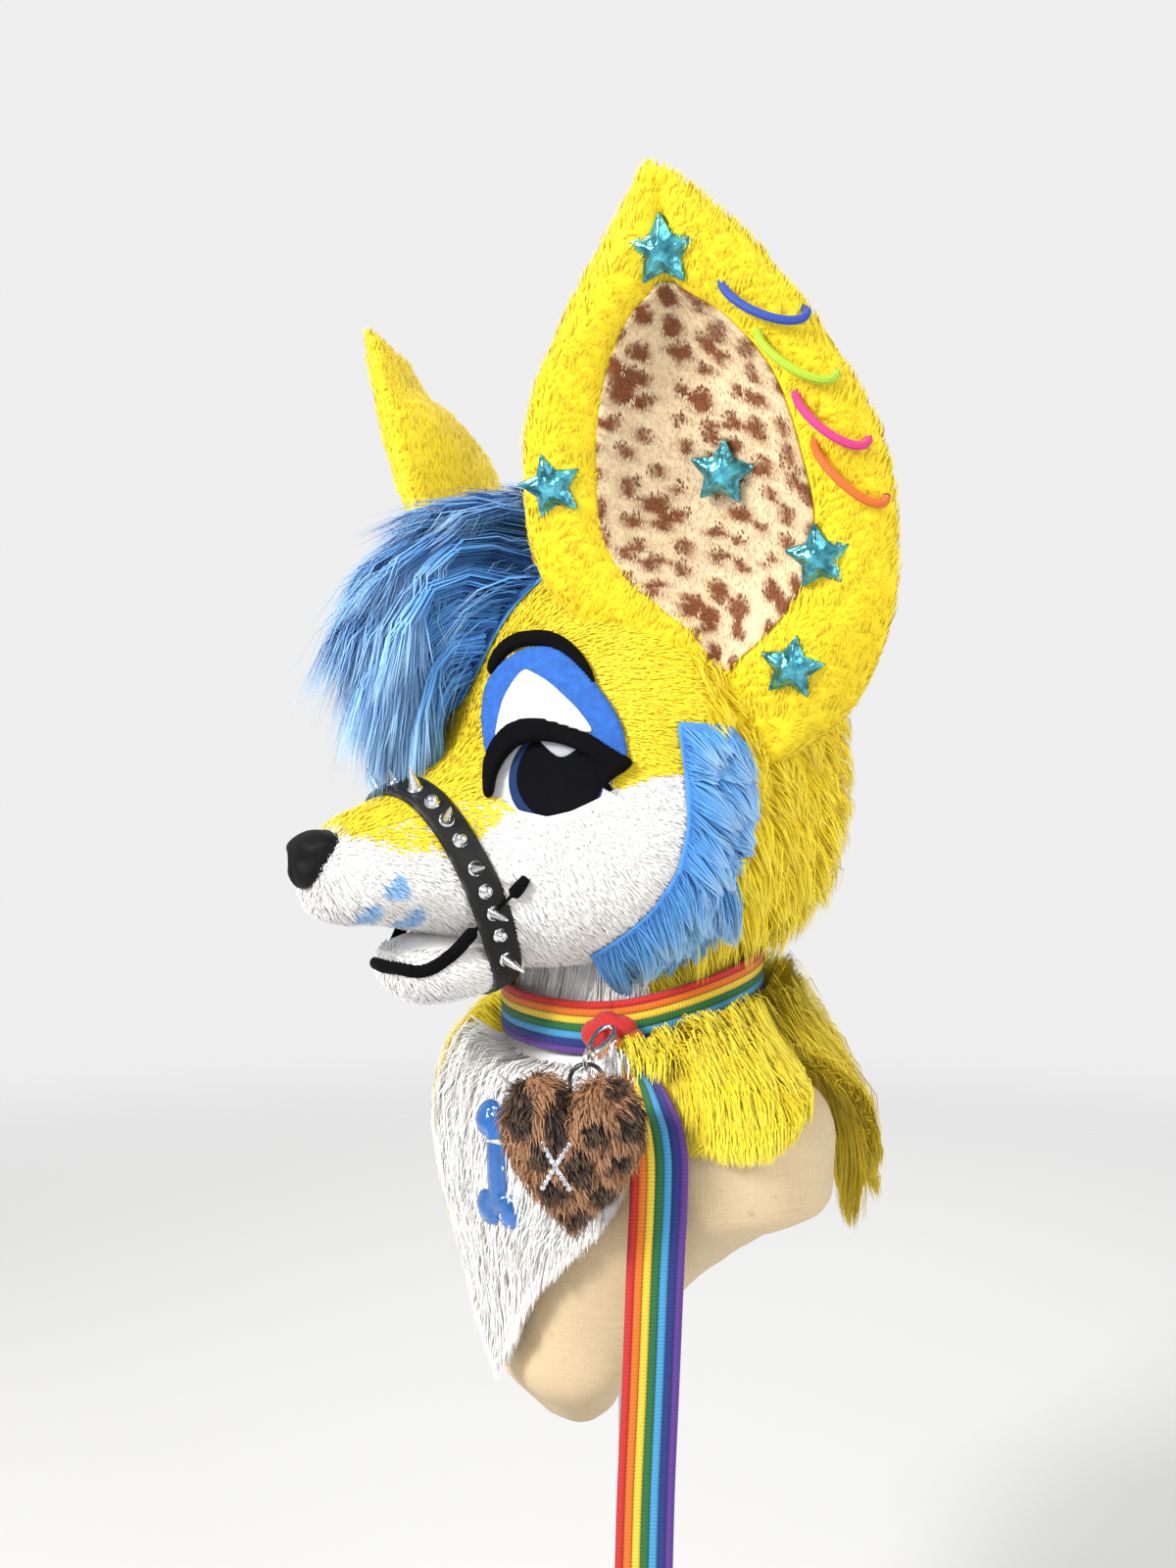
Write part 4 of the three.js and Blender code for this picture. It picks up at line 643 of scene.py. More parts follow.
def fur_colour_group():
    """Colour along a strand, from a painted shade at its dark root to its pale tip, with a second painted
    colour
    """
    def fill(tree, inside):
        along, tone, paint = (mark(tree, name) for name in ("along", "tone", "paint"))
        body = blend(tree, paint, inside["Body"], inside["Painted"])
        # The root colour multiplied in by the depth share is painted shade deep in the fur
        deep = blend(tree, inside["Depth"], body, inside["Root"], "MULTIPLY")
        pale = blend(tree, inside["Paleness"], body, inside["Tip"])
        low = blend(tree, spread(tree, along, 0.0, 0.45, smooth=True), deep, body)
        high = blend(tree, spread(tree, along, 0.5, 1.0, smooth=True), low, pale)
        value = spread(tree, tone, 0.0, 1.0, maths(tree, "SUBTRACT", 1.0, inside["Variation"]),
                       maths(tree, "ADD", 1.0, maths(tree, "MULTIPLY", inside["Variation"], 0.45)))
        made = node(tree, "ShaderNodeHueSaturation", {"Value": value, "Color": high})
        patch = noise(tree, place_of(tree), 22.0, 2.0)
        made.inputs["Hue"].default_value = 0.5
        shade = spread(tree, patch, 0.3, 0.7, 0.94, 1.03)
        return {"Color": blend(tree, 1.0, made.outputs[0], node(
            tree, "ShaderNodeCombineColor", {0: shade, 1: shade, 2: shade}).outputs[0], "MULTIPLY")}

    white = (1.0, 1.0, 1.0, 1.0)
    return group("Fur colour", [
        ("Root", "Color", white), ("Body", "Color", white), ("Tip", "Color", white),
        ("Painted", "Color", white), ("Depth", "Float", 0.5), ("Paleness", "Float", 0.3),
        ("Variation", "Float", 0.12),
    ], [("Color", "Color")], fill)


def grain_and_hollow_shade_group():
    """Fine fibres and soft lumps for cloth, felt and leather, as a height and a painted shade that is darkest
    where the height is low
    """
    def fill(tree, inside):
        here = place_of(tree)
        fine = noise(tree, here, inside["Fine"], 4.0)
        broad = noise(tree, here, inside["Broad"], 2.0)
        height = maths(tree, "ADD", maths(tree, "MULTIPLY", fine, inside["Fibre"]),
                       maths(tree, "MULTIPLY", broad, inside["Lumps"]))
        shade = spread(tree, maths(tree, "ADD", maths(tree, "MULTIPLY", fine, 0.5),
                                   maths(tree, "MULTIPLY", broad, 0.5)), 0.35, 0.65)
        return {"Height": height, "Shade": shade}

    return group("Cloth grain", [
        ("Fine", "Float", 900.0), ("Broad", "Float", 40.0), ("Fibre", "Float", 1.0), ("Lumps", "Float", 0.4),
    ], [("Height", "Float"), ("Shade", "Float")], fill)


def weave_group():
    """Crossed threads along two directions of the place mark, as a height"""
    def fill(tree, inside):
        made = node(tree, "ShaderNodeSeparateXYZ", {0: inside["Vector"]})
        first = maths(tree, "SINE", maths(tree, "MULTIPLY", made.outputs[0], inside["Pitch"]))
        second = maths(tree, "SINE", maths(tree, "MULTIPLY", made.outputs[1], inside["Pitch"]))
        height = maths(tree, "MULTIPLY", first, second)
        return {"Height": spread(tree, height, -1.0, 1.0)}

    return group("Crossed weave", [("Vector", "Vector", (0, 0, 0)), ("Pitch", "Float", 1.0)],
                 [("Height", "Float")], fill)


def placed(tree, made, **inputs):
    labels = {key.replace("_", " "): value for key, value in inputs.items()}
    result = node(tree, "ShaderNodeGroup", node_tree=made)
    for key, value in labels.items():
        if isinstance(value, bpy.types.NodeSocket):
            tree.links.new(value, result.inputs[key])
        else:
            result.inputs[key].default_value = value
    return result.outputs


def new_material(name, roughness=0.8, **sockets):
    """A material with one shader; sockets are constants on the shader itself"""
    made = bpy.data.materials.new(name)
    made.use_nodes = True
    tree = made.node_tree
    shader = tree.nodes["Principled BSDF"]
    shader.inputs["Roughness"].default_value = roughness
    for key, value in sockets.items():
        shader.inputs[key.replace("_", " ")].default_value = value
    return made, tree, shader


def tint(tree, shader, share, first, second):
    """Mix the base colour of a shader from two colours"""
    tree.links.new(blend(tree, share, first, second), shader.inputs["Base Color"])


def bump(tree, shader, height, distance, strength=1.0):
    made = node(tree, "ShaderNodeBump", {"Height": height, "Distance": distance, "Strength": strength})
    tree.links.new(made.outputs[0], shader.inputs["Normal"])


def fur_material(name, body, root, tip, painted=None, depth=0.6, paleness=0.35, variation=0.14, shine=0.35):
    if name in bpy.data.materials:
        return bpy.data.materials[name]
    made, tree, shader = new_material(name, 0.62, Sheen_Weight=shine, Sheen_Roughness=0.5,
                                      Specular_IOR_Level=0.3)
    shader.inputs["Sheen Tint"].default_value = colour(tip)
    # The depth argument sets how much painted shade the roots carry: the root colour multiplied into the body
    # colour
    shade = placed(tree, fur_colour_group(), Body=colour(body), Root=colour(root), Tip=colour(tip),
                   Painted=colour(painted or body), Depth=depth, Paleness=paleness, Variation=variation)
    tree.links.new(shade["Color"], shader.inputs["Base Color"])
    grain_and_shade = placed(tree, grain_and_hollow_shade_group(), Fine=1400.0, Broad=120.0, Fibre=1.0, Lumps=0.2)
    bump(tree, shader, grain_and_shade["Height"], 0.0003, 0.3)
    return made


def cloth_material(name, base, dark, fine=1100.0, broad=55.0, depth=0.0004, roughness=0.85, sheen=0.3,
                   **sockets):
    """Felt, plush or skin: one colour with fibres and soft lumps, and a painted shade that darkens its hollows
    """
    if name in bpy.data.materials:
        return bpy.data.materials[name]
    made, tree, shader = new_material(name, roughness, Sheen_Weight=sheen, Sheen_Roughness=0.4, **sockets)
    shader.inputs["Sheen Tint"].default_value = colour(base)
    grain_and_shade = placed(tree, grain_and_hollow_shade_group(), Fine=fine, Broad=broad, Fibre=1.0, Lumps=0.5)
    # Painted shade: the dark colour fills the hollows of the bump
    tint(tree, shader, grain_and_shade["Shade"], colour(dark), colour(base))
    bump(tree, shader, grain_and_shade["Height"], depth)
    return made


def metal_material(name, base, roughness, scale=500.0, dull=0.2):
    if name in bpy.data.materials:
        return bpy.data.materials[name]
    made, tree, shader = new_material(name, roughness, Metallic=1.0)
    worn = noise(tree, place_of(tree), scale, 3.0)
    tint(tree, shader, spread(tree, worn, 0.35, 0.65), colour(base, 1 - dull), colour(base))
    tree.links.new(spread(tree, worn, 0.3, 0.7, roughness * 0.7, roughness * 1.5),
                   shader.inputs["Roughness"])
    bump(tree, shader, worn, 0.00005)
    return made


# Sizes and colours that a user would change
def length_property(name, text, value):
    return FloatProperty(name=name, description=text, default=value, min=0.0, unit="LENGTH", precision=4)


def colour_property(name, text, value):
    return FloatVectorProperty(name=name, description=text, default=value, size=3, min=0.0, max=1.0,
                               subtype="COLOR")


class FurSettings(bpy.types.PropertyGroup):
    amount: FloatProperty(name="Amount", description="Share of the full number of strands", default=1.0,
                          min=0.02, max=1.0, subtype="FACTOR")
    seed: IntProperty(name="Seed", description="Start of the random draws for the fur", default=7)
    width: length_property("Strand width", "Width of one strand", 0.0009)
    short: length_property("Short pile", "Length of the shaved fur on the face", 0.0052)
    middle: length_property("Back pile", "Length of the fur on the back of the head", 0.024)
    yellow: colour_property("Yellow", "Main colour of the head, ears and yoke", (0.95, 0.76, 0.022))
    yellow_tip: colour_property("Yellow tips", "Tips of the yellow fur", (1.0, 0.90, 0.16))
    yellow_root: colour_property("Yellow roots", "Shade deep in the yellow fur", (0.80, 0.50, 0.02))
    white: colour_property("White", "Cheeks, jaw and bib", (0.93, 0.92, 0.90))
    white_root: colour_property("White roots", "Shade deep in the white fur", (0.78, 0.77, 0.77))
    blue: colour_property("Blue", "Hair and ruffs", (0.13, 0.42, 0.88))
    blue_tip: colour_property("Blue tips", "Tips of the blue fur", (0.46, 0.72, 0.97))
    blue_root: colour_property("Blue roots", "Shade deep in the blue fur", (0.24, 0.52, 0.94))
    freckle: colour_property("Freckles", "Painted spots on the muzzle", (0.14, 0.45, 0.88))
    cream: colour_property("Cream", "Ground of the spotted ear lining", (0.84, 0.66, 0.42))
    rust: colour_property("Rust", "Spots of the ear lining", (0.21, 0.055, 0.010))


class TrimSettings(bpy.types.PropertyGroup):
    felt: colour_property("Felt", "Lashes, brows and lips", (0.004, 0.004, 0.005))
    lid: colour_property("Lid", "Plush over the eyes", (0.03, 0.16, 0.62))
    star: colour_property("Star", "Padded stars on the ear", (0.02, 0.30, 0.42))
    vinyl: colour_property("Chest piece", "Padded bone on the bib", (0.006, 0.14, 0.50))
    leather: colour_property("Leather", "Strap round the muzzle", (0.012, 0.012, 0.012))
    stripe_1: colour_property("Stripe 1", "First stripe of the band", (0.60, 0.014, 0.012))
    stripe_2: colour_property("Stripe 2", "Second stripe of the band", (0.80, 0.17, 0.006))
    stripe_3: colour_property("Stripe 3", "Third stripe of the band", (0.85, 0.60, 0.03))
    stripe_4: colour_property("Stripe 4", "Fourth stripe of the band", (0.008, 0.15, 0.04))
    stripe_5: colour_property("Stripe 5", "Fifth stripe of the band", (0.05, 0.33, 0.62))
    stripe_6: colour_property("Stripe 6", "Sixth stripe of the band", (0.008, 0.025, 0.20))
    stripe_7: colour_property("Stripe 7", "Seventh stripe of the band", (0.11, 0.03, 0.30))


class StandSettings(bpy.types.PropertyGroup):
    linen: colour_property("Form", "Cloth of the bust form", (0.66, 0.51, 0.31))
    enamel: colour_property("Base", "Enamel of the base", (0.02, 0.02, 0.022))
    steel: colour_property("Pole", "Steel of the pole", (0.62, 0.63, 0.65))
    base_radius: length_property("Base radius", "Radius of the round base",
                                 (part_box("stand_base")[1][0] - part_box("stand_base")[0][0]) / 2)


class StageSettings(bpy.types.PropertyGroup):
    floor: colour_property("Floor", "Plain floor", (0.70, 0.70, 0.695))
    key: FloatProperty(name="Key light", description="Strength of the main light", default=56.0, min=0.0,
                       unit="POWER")
    sky: FloatProperty(name="Surroundings", description="Strength of the even light all round",
                       default=0.55, min=0.0)
    backdrop: FloatProperty(name="Backdrop", description="Brightness of the plain surroundings", default=0.86,
                            min=0.0)


def settings(name):
    return getattr(bpy.context.scene, "fursuit_" + name)


def draws(step):
    return np.random.default_rng(settings("fur").seed * 100 + step)


def how_many(count):
    return max(int(count * settings("fur").amount), 20)


# Finishes that several pieces share; the first number given to each fur is how much painted shade its roots
# carry
def yellow_fur():
    s = settings("fur")
    return fur_material("yellow_fur", s.yellow, s.yellow_root, s.yellow_tip, s.white, 0.4, 0.3, 0.08)


def yellow_long():
    s = settings("fur")
    return fur_material("long_yellow_pile", s.yellow, s.yellow_root, s.yellow_tip, None, 0.35, 0.5, 0.10)


def white_fur():
    s = settings("fur")
    return fur_material("white_fur", s.white, s.white_root, (0.95, 0.95, 0.94), s.freckle, 0.3, 0.4, 0.05)


def blue_fur():
    s = settings("fur")
    return fur_material("blue_fur", s.blue, s.blue_root, s.blue_tip, None, 0.5, 0.85, 0.22)


def felt():
    c = settings("trim").felt
    # Its darker half-bright copy is painted shade in the felt's hollows
    return cloth_material("felt_black", c, colour(c, 0.5), sheen=0.02, roughness=1.0, Specular_IOR_Level=0.1)


def charm_metal():
    return metal_material("bright_wire", (0.80, 0.80, 0.82), 0.18)


def vertex_normals(points, faces):
    a, b, c = (points[faces[:, k], :3] for k in range(3))
    face = np.cross(b - a, c - a)
    out = np.zeros((len(points), 3))
    for k in range(3):
        np.add.at(out, faces[:, k], face)
    return unit(out)


def turned(profile, foot, out, across, sides):
    """A turned body that stands on a point; its profile is a list of radius and height"""
    side = unit(np.cross(out, across))
    lift = np.cross(side, out)
    rings = [circle(foot + out * height, side, lift, radius, sides) for radius, height in profile]
    points, faces = loft(rings)
    return points, outside_out(points, faces)


def dressed(piece, stands_for=None):
    """Hide the node that a piece stands for, if one is given"""
    if stands_for:
        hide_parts(stands_for)


def combed_fur(name, roots, lay, length, comb, clump, width, material, rng, paint=None, body="costume"):
    """Fur on scattered roots: comb is stand, droop, jitter and segments, clump is size and strength"""
    normals = unit(roots[:, 3:6])
    paths = combed(roots[:, :3], normals, tangent_lay(normals, lay), length, *comb, rng)
    paths, tone = clumped(paths, *clump, rng)
    return strands(name, paths, normals, width, material, rng, tone, paint, body)


class FURSUIT_OT_stage(bpy.types.Operator):
    """Floor, soft lights, even surroundings and the camera"""
    bl_idname = "fursuit.stage"
    bl_label = "Stage"

    def execute(self, context):
        s = settings("stage")
        scene = bpy.context.scene
        scene.view_settings.view_transform = "Standard"
        camera = bpy.data.objects.new("camera", bpy.data.cameras.new("camera"))
        camera.data.sensor_width, camera.data.lens = SENSOR_WIDTH, LENS
        camera.location = CAMERA_PLACE
        camera.rotation_euler = (math.pi / 2, 0, math.radians(CAMERA_TURN))
        scene.collection.objects.link(camera)
        scene.camera = camera

        mesh = bpy.data.meshes.new("floor")
        far = FLOOR_HALF
        mesh.from_pydata([(-far, -far, 0), (far, -far, 0), (far, far, 0), (-far, far, 0)], [], [(0, 1, 2, 3)])
        floor = bpy.data.objects.new("floor", mesh)
        made, tree, shader = new_material("floor_paper", 0.9)
        patch = noise(tree, place_of(tree), 3.0, 2.0)
        tint(tree, shader, patch, colour(s.floor, 0.985), colour(s.floor))
        reach = node(tree, "ShaderNodeVectorMath", {0: place_of(tree)}, operation="LENGTH").outputs["Value"]
        tree.links.new(spread(tree, reach, 0.7, 3.2, 1.0, 0.0, smooth=True), shader.inputs["Alpha"])
        mesh.materials.append(made)
        scene.collection.objects.link(floor)

        world = bpy.data.worlds.new("surroundings")
        world.use_nodes = True
        back = world.node_tree.nodes["Background"]
        back.inputs[0].default_value = (1.0, 1.0, 1.0, 1.0)
        seen = node(world.node_tree, "ShaderNodeLightPath").outputs["Is Camera Ray"]
        world.node_tree.links.new(spread(world.node_tree, seen, 0.0, 1.0, s.sky, s.backdrop), back.inputs[1])
        scene.world = world
        for name, place, size, energy, warm in (
            ("key_light", (0.31, -1.89, 1.60), 0.55, s.key, (1.0, 0.985, 0.96)),
            ("fill_light", (1.9, 0.6, 1.2), 1.6, s.key * 0.42, (0.97, 0.985, 1.0)),
            ("back_light", (-1.4, 1.3, 1.7), 1.2, s.key * 0.35, (1.0, 1.0, 1.0)),
        ):
            light = bpy.data.lights.new(name, "AREA")
            light.energy, light.size, light.color = energy, size, warm
            lamp = bpy.data.objects.new(name, light)
            lamp.location = place
            aim = Vector(LIGHT_TARGET) - Vector(place)
            lamp.rotation_euler = aim.to_track_quat("-Z", "Y").to_euler()
            scene.collection.objects.link(lamp)
        return {"FINISHED"}


class FURSUIT_OT_stand(bpy.types.Operator):
    """Round base, pole and the bust form"""
    bl_idname = "fursuit.stand"
    bl_label = "Stand and bust form"

    def execute(self, context):
        s = settings("stand")
        radius = s.base_radius / MM
        floor = -LEVEL
        made, tree, shader = new_material("satin_enamel", 0.38, Coat_Roughness=0.2)
        worn = noise(tree, place_of(tree), 60.0, 5.0)
        tint(tree, shader, spread(tree, worn, 0.62, 0.75), colour(s.enamel), (0.06, 0.06, 0.065, 1))
        tree.links.new(spread(tree, worn, 0.3, 0.7, 0.3, 0.5), shader.inputs["Roughness"])
        bump(tree, shader, noise(tree, place_of(tree), 700.0), 0.0001)
        edge = [(radius - 1.5 + 1.5 * math.sin(t), floor + 6.5 + 1.5 * math.cos(t))
                for t in np.linspace(math.pi / 2, 0, 6)]
        profile = [(radius, floor), *edge, (19, floor + 8), (17.5, floor + 9), (17, floor + 12),
                   (17, floor + 22.5), (15.5, floor + 24), (8.3, floor + 24), (8.3, floor + 4.3)]
        points, faces = turned(profile, np.zeros(3), UP, [0, -1, 0], 96)
        dressed(mesh_piece("base", points, faces, made), "stand_base")

        steel = metal_material("brushed_steel", s.steel, 0.32, 900.0)
        profile = [(7.4, floor + 4.4), (8, floor + 5), (8, floor + 449), (7.4, floor + 449.8)]
        points, faces = turned(profile, np.zeros(3), UP, [0, -1, 0], 40)
        dressed(mesh_piece("pole", points, faces, steel), "stand_pole")

        rows, columns = 96, 80
        place = np.linspace(0.004, 0.996, rows)[:, None] + np.zeros(columns)
        angle = np.zeros((rows, 1)) + 2 * np.pi * np.arange(columns) / columns
        points, normals = form_point(place, angle)
        x, y, z = np.moveaxis(points, -1, 0)
        lumps = 0.35 * np.sin(x / 13 + z / 17) * np.sin(y / 11 - z / 23)
        lumps += 0.25 * np.sin(x / 5 + y / 6 + z / 7)
        points = points + normals * lumps[..., None]
        points, faces = loft(points, form_surface(np.array(0.0), 0.0), form_surface(np.array(1.0), 0.0))
        made, tree, shader = new_material("plain_linen", 0.88, Sheen_Weight=0.1)
        here = place_of(tree)
        warp, weft = (node(tree, "ShaderNodeVectorMath", {0: here, 1: stretch}, operation="MULTIPLY").outputs[0]
                      for stretch in ((1.0, 1.0, 0.02), (0.05, 0.05, 1.0)))
        threads = maths(tree, "MULTIPLY", noise(tree, warp, 1500.0, 2.0), noise(tree, weft, 1500.0, 2.0))
        stain = noise(tree, here, 14.0, 5.0)
        scuff = spread(tree, noise(tree, here, 120.0, 6.0), 0.66, 0.74)
        base_tone = blend(tree, spread(tree, stain, 0.35, 0.65), colour(s.linen, 0.86), colour(s.linen))
        thread_tone = blend(tree, spread(tree, threads, 0.15, 0.35, 0.0, 0.35), base_tone,
                            colour(s.linen, 1.25))
        tint(tree, shader, maths(tree, "MULTIPLY", scuff, 0.5), thread_tone, (0.35, 0.26, 0.16, 1))
        bump(tree, shader, maths(tree, "ADD", threads, maths(tree, "MULTIPLY", stain, 0.6)), 0.0006)
        bust = mesh_piece("bust", points, outside_out(points, faces), made)
        dressed(bust, "form_bust")
        return {"FINISHED"}


# Where the head's fur is left out, below the lids, brows, hair, ruffs and strap
STRAP = {"width": 18.0, "thickness": 2.6, "y": -151.0, "z": 2.0, "lean": math.radians(26)}
STRAP_NORMAL = np.array([0, math.cos(STRAP["lean"]), math.sin(STRAP["lean"])])
STRAP_UP = np.array([0, -math.sin(STRAP["lean"]), math.cos(STRAP["lean"])])


def eye_place(points):
    """Across and height in the plane of the eye on the same side, and the distance along it"""
    folded = np.abs(points[:, :1]) * [1, 0, 0] + points[:, 1:2] * [0, 1, 0]
    return np.stack([folded @ sideways(EYE_FACING), points[:, 2]], -1), folded @ outward(EYE_FACING)


def eye_gap(points, outline):
    """Distance outside an outline round either eye"""
    flat, depth = eye_place(points)
    return np.where(depth > 50, -signed_distance(outline, flat), 60.0)


def neck_gap(points):
    return np.maximum(np.hypot(points[:, 0], points[:, 1] - 4) - 80, points[:, 2] + 60)


def strap_gap(points):
    along = (points[:, :3] - [0, STRAP["y"], STRAP["z"]]) @ STRAP_NORMAL
    return np.abs(along) - STRAP["width"] / 2


def free_of_trims(points, hair=True, ruffs=True):
    keep = (eye_gap(points, EYE_OPENING) > 0.3) & (strap_gap(points) > -2)
    for outline, gap in ((LID, -1.0), (BROW, -1.0), (LASH, -1.0)):
        keep &= eye_gap(points, outline) > gap
    if hair:
        inside = signed_distance(HAIR_OUTLINE, points[:, [0, 2]]) > 4
        keep &= ~(inside & (points[:, 1] < -10))
    if ruffs:
        keep &= signed_distance(RUFF_OUTLINE, points[:, [1, 2]]) < 3
    return keep


def head_table(rows=120, columns=170, out=-1.5):
    place = np.linspace(0.003, 0.997, rows)[:, None] + np.zeros(columns)
    angle = np.zeros((rows, 1)) + 2 * np.pi * (np.arange(columns) + 0.5) / columns
    points, normals = head_point(place, angle, out)
    table = np.concatenate([points, normals], -1)
    ends = [np.r_[table[k, :, :3].mean(0), normal] for k, normal in ((0, [0, 1, 0]), (-1, [0, -1, 0]))]
    return loft(table, *ends)


def tangent_lay(normals, direction):
    direction = np.broadcast_to(np.asarray(direction, float), normals.shape)
    return unit(direction - (direction * normals).sum(-1, keepdims=True) * normals)


def skin_marks(count, paint=0.0):
    """Marks of the backing under the fur, which has the colour of the strands' lower part, partly darkened by
    their painted root shade
    """
    return {"along": np.full(count, 0.35), "tone": np.full(count, 0.5), "paint": np.zeros(count) + paint}


class FURSUIT_OT_head(bpy.types.Operator):
    """Shaved face, white cheeks and jaw, the longer fur at the back, lips and nose"""
    bl_idname = "fursuit.head"
    bl_label = "Head"

    def execute(self, context):
        s = settings("fur")
        table, faces = head_table()
        faces = outside_out(table, faces)
        cheek = signed_distance(CHEEK_OUTLINE, table[:, [1, 2]])
        back = signed_distance(BACK_OUTLINE, table[:, [1, 2]])
        eyes, neck = eye_gap(table, EYE_OPENING), neck_gap(table)
        short, width = s.short / MM, s.width / MM
        for name, field, count, material, slot in (
            ("face_panel", np.minimum.reduce([-cheek, -back, eyes]), 34000, yellow_fur(), "yellow_short_fur"),
            ("cheek_left", np.minimum.reduce([cheek, -back, eyes, neck, table[:, 0]]), 15500, white_fur(),
             "white_short_fur"),
            ("cheek_right", np.minimum.reduce([cheek, -back, eyes, neck, -table[:, 0]]), 15500, white_fur(),
             "white_short_fur"),
            ("head_back", np.minimum.reduce([back, eyes, neck]), 15500, yellow_long(), "yellow_long_fur"),
        ):
            points, part = clip(table, faces, field)
            piece = mesh_piece(name + "_skin", points, part, material,
                               marks=skin_marks(len(points), self.painted(points, name)))
            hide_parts(name)
            rng = draws(1 + len(name))
            roots = scatter(points, part, how_many(count), rng)
            roots = roots[free_of_trims(roots)]
            normals = unit(roots[:, 3:6])
            down = -0.45 if name.startswith("cheek") else -0.2
            lay = tangent_lay(normals, [0, 1, down])
            if name == "head_back":
                lay = tangent_lay(normals, [0, 0.35, -1])
                low = np.clip((40 - roots[:, 2]) / 120, 0, 1)
                length = s.middle / MM * (0.65 + 0.75 * low) * rng.uniform(0.75, 1.15, len(roots))
                paths = combed(roots[:, :3], normals, lay, length, 0.5, 0.35, 0.16, 2, rng)
                paths, tone = clumped(paths, 34, 0.6, rng)
            else:
                length = short * rng.uniform(0.75, 1.15, len(roots))
                paths = combed(roots[:, :3], normals, lay, length, 0.36, 0.05, 0.12, 2, rng)
                paths, tone = clumped(paths, 40, 0.15, rng)
            if name.startswith("cheek"):
                patch_edge = PATCH(roots[:, 1]) + rng.normal(0, 1.4, len(roots))
                top = (roots[:, 1] < -104) & (roots[:, 2] > patch_edge)
                patch = strands(name + "_patch_fur", paths[top], normals[top], width, yellow_fur(), rng,
                                tone[top])
                roots, paths, normals, tone = roots[~top], paths[~top], normals[~top], tone[~top]
            paint = self.painted(roots, name)
            fur = strands(name + "_fur", paths, normals, width, material, rng, tone, paint)
            dressed(piece)
        self.jaw()
        self.lips_and_nose()
        return {"FINISHED"}

    def painted(self, points, name):
        """White end of the face panel and the freckles of the cheeks"""
        y, z = points[:, 1], points[:, 2]
        if name.startswith("cheek"):
            paint = np.zeros(len(points))
            for cy, cz, radius in ((-168, -53, 6.2), (-178, -67, 5.6), (-155, -70, 6.2)):
                gap = np.hypot(y - cy, z - cz) + 0.8 * np.sin(3.1 * np.arctan2(z - cz, y - cy))
                paint = np.maximum(paint, np.clip((radius - gap) / 1.6 + 0.5, 0, 1))
            return paint * 0.85
        if name == "face_panel":
            return np.clip((-186 - y) / 7, 0, 1)
        return np.zeros(len(points))

    def jaw(self):
        s = settings("fur")
        rows, columns = 40, 56
        place = np.linspace(0.01, 0.99, rows)[:, None]
        angle = 2 * np.pi * (np.arange(columns) + 0.5) / columns
        points = section_point(JAW, 0.9, place, angle)
        points, faces = loft(points)
        faces = outside_out(points, faces)
        points, faces = clip(points, faces, head_field(points) + 0.12)
        normals = vertex_normals(points, faces)
        table = np.hstack([points, normals])
        piece = mesh_piece("jaw_skin", table, faces, white_fur(), marks=skin_marks(len(table)))
        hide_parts("jaw")
        rng = draws(31)
        roots = scatter(table, faces, how_many(8000), rng)
        roots = roots[(strap_gap(roots) > -2) & (roots[:, 5] < 0.75)]
        length = s.short / MM * rng.uniform(0.75, 1.15, len(roots))
        fur = combed_fur("jaw_fur", roots, [0, 1, -0.4], length, (0.36, 0.05, 0.12, 2), (40, 0.15),
                         s.width / MM, white_fur(), rng)
        dressed(piece)

    def lips_and_nose(self):
        left = [[68, -106, -49], [62, -110, -57], [53, -117, -67], [44, -125, -78], [37, -134, -90],
                [28, -144, -98], [14, -153, -98]]
        route = left + [[0, -156, -98]] + [[-x, y, z] for x, y, z in left[::-1]]
        path = rounded_outline(route, 6, closed=False)
        ends = np.minimum(np.arange(len(path)), np.arange(len(path))[::-1])
        radius = 3.6 * np.clip(0.5 + ends / 9, 0, 1) ** 0.5
        for _ in range(24):
            away = unit(field_normal(jaw_field, path) * [1, 1, 0.2])
            path = path + away * np.where(jaw_field(path) < 0.02, 0.4, 0.0)[:, None]
        radius = np.where(strap_gap(path) < 1.5, 1.0, radius)
        points, faces = tube(path, radius, 12)
        dressed(mesh_piece("lips", points, faces, felt()), "lip_line")
        place = np.linspace(0.02, 0.98, 46)[:, None]
        angle = 2 * np.pi * (np.arange(64) + 0.5) / 64
        points = section_point(NOSE, 0.85, place, angle)
        x, y, z = np.moveaxis(points, -1, 0)
        hole = np.exp(-(((np.abs(x) - 12) / 5) ** 2 + ((z + 40) / 4.5) ** 2)) * (y < -194)
        cleft = np.exp(-(x / 1.8) ** 2) * (z < -36) * (y < -192)
        points[..., 1] += 3.2 * hole + 1.2 * cleft
        points, faces = loft(points)
        # The second colour is painted shade in the felt's hollows
        made = cloth_material("nose_felt", (0.006, 0.006, 0.007), (0.002, 0.002, 0.003), 900.0, 160.0, 0.0003,
                              0.6, 0.02, Specular_IOR_Level=0.15)
        dressed(mesh_piece("nose_pad", points, outside_out(points, faces), made), "nose")


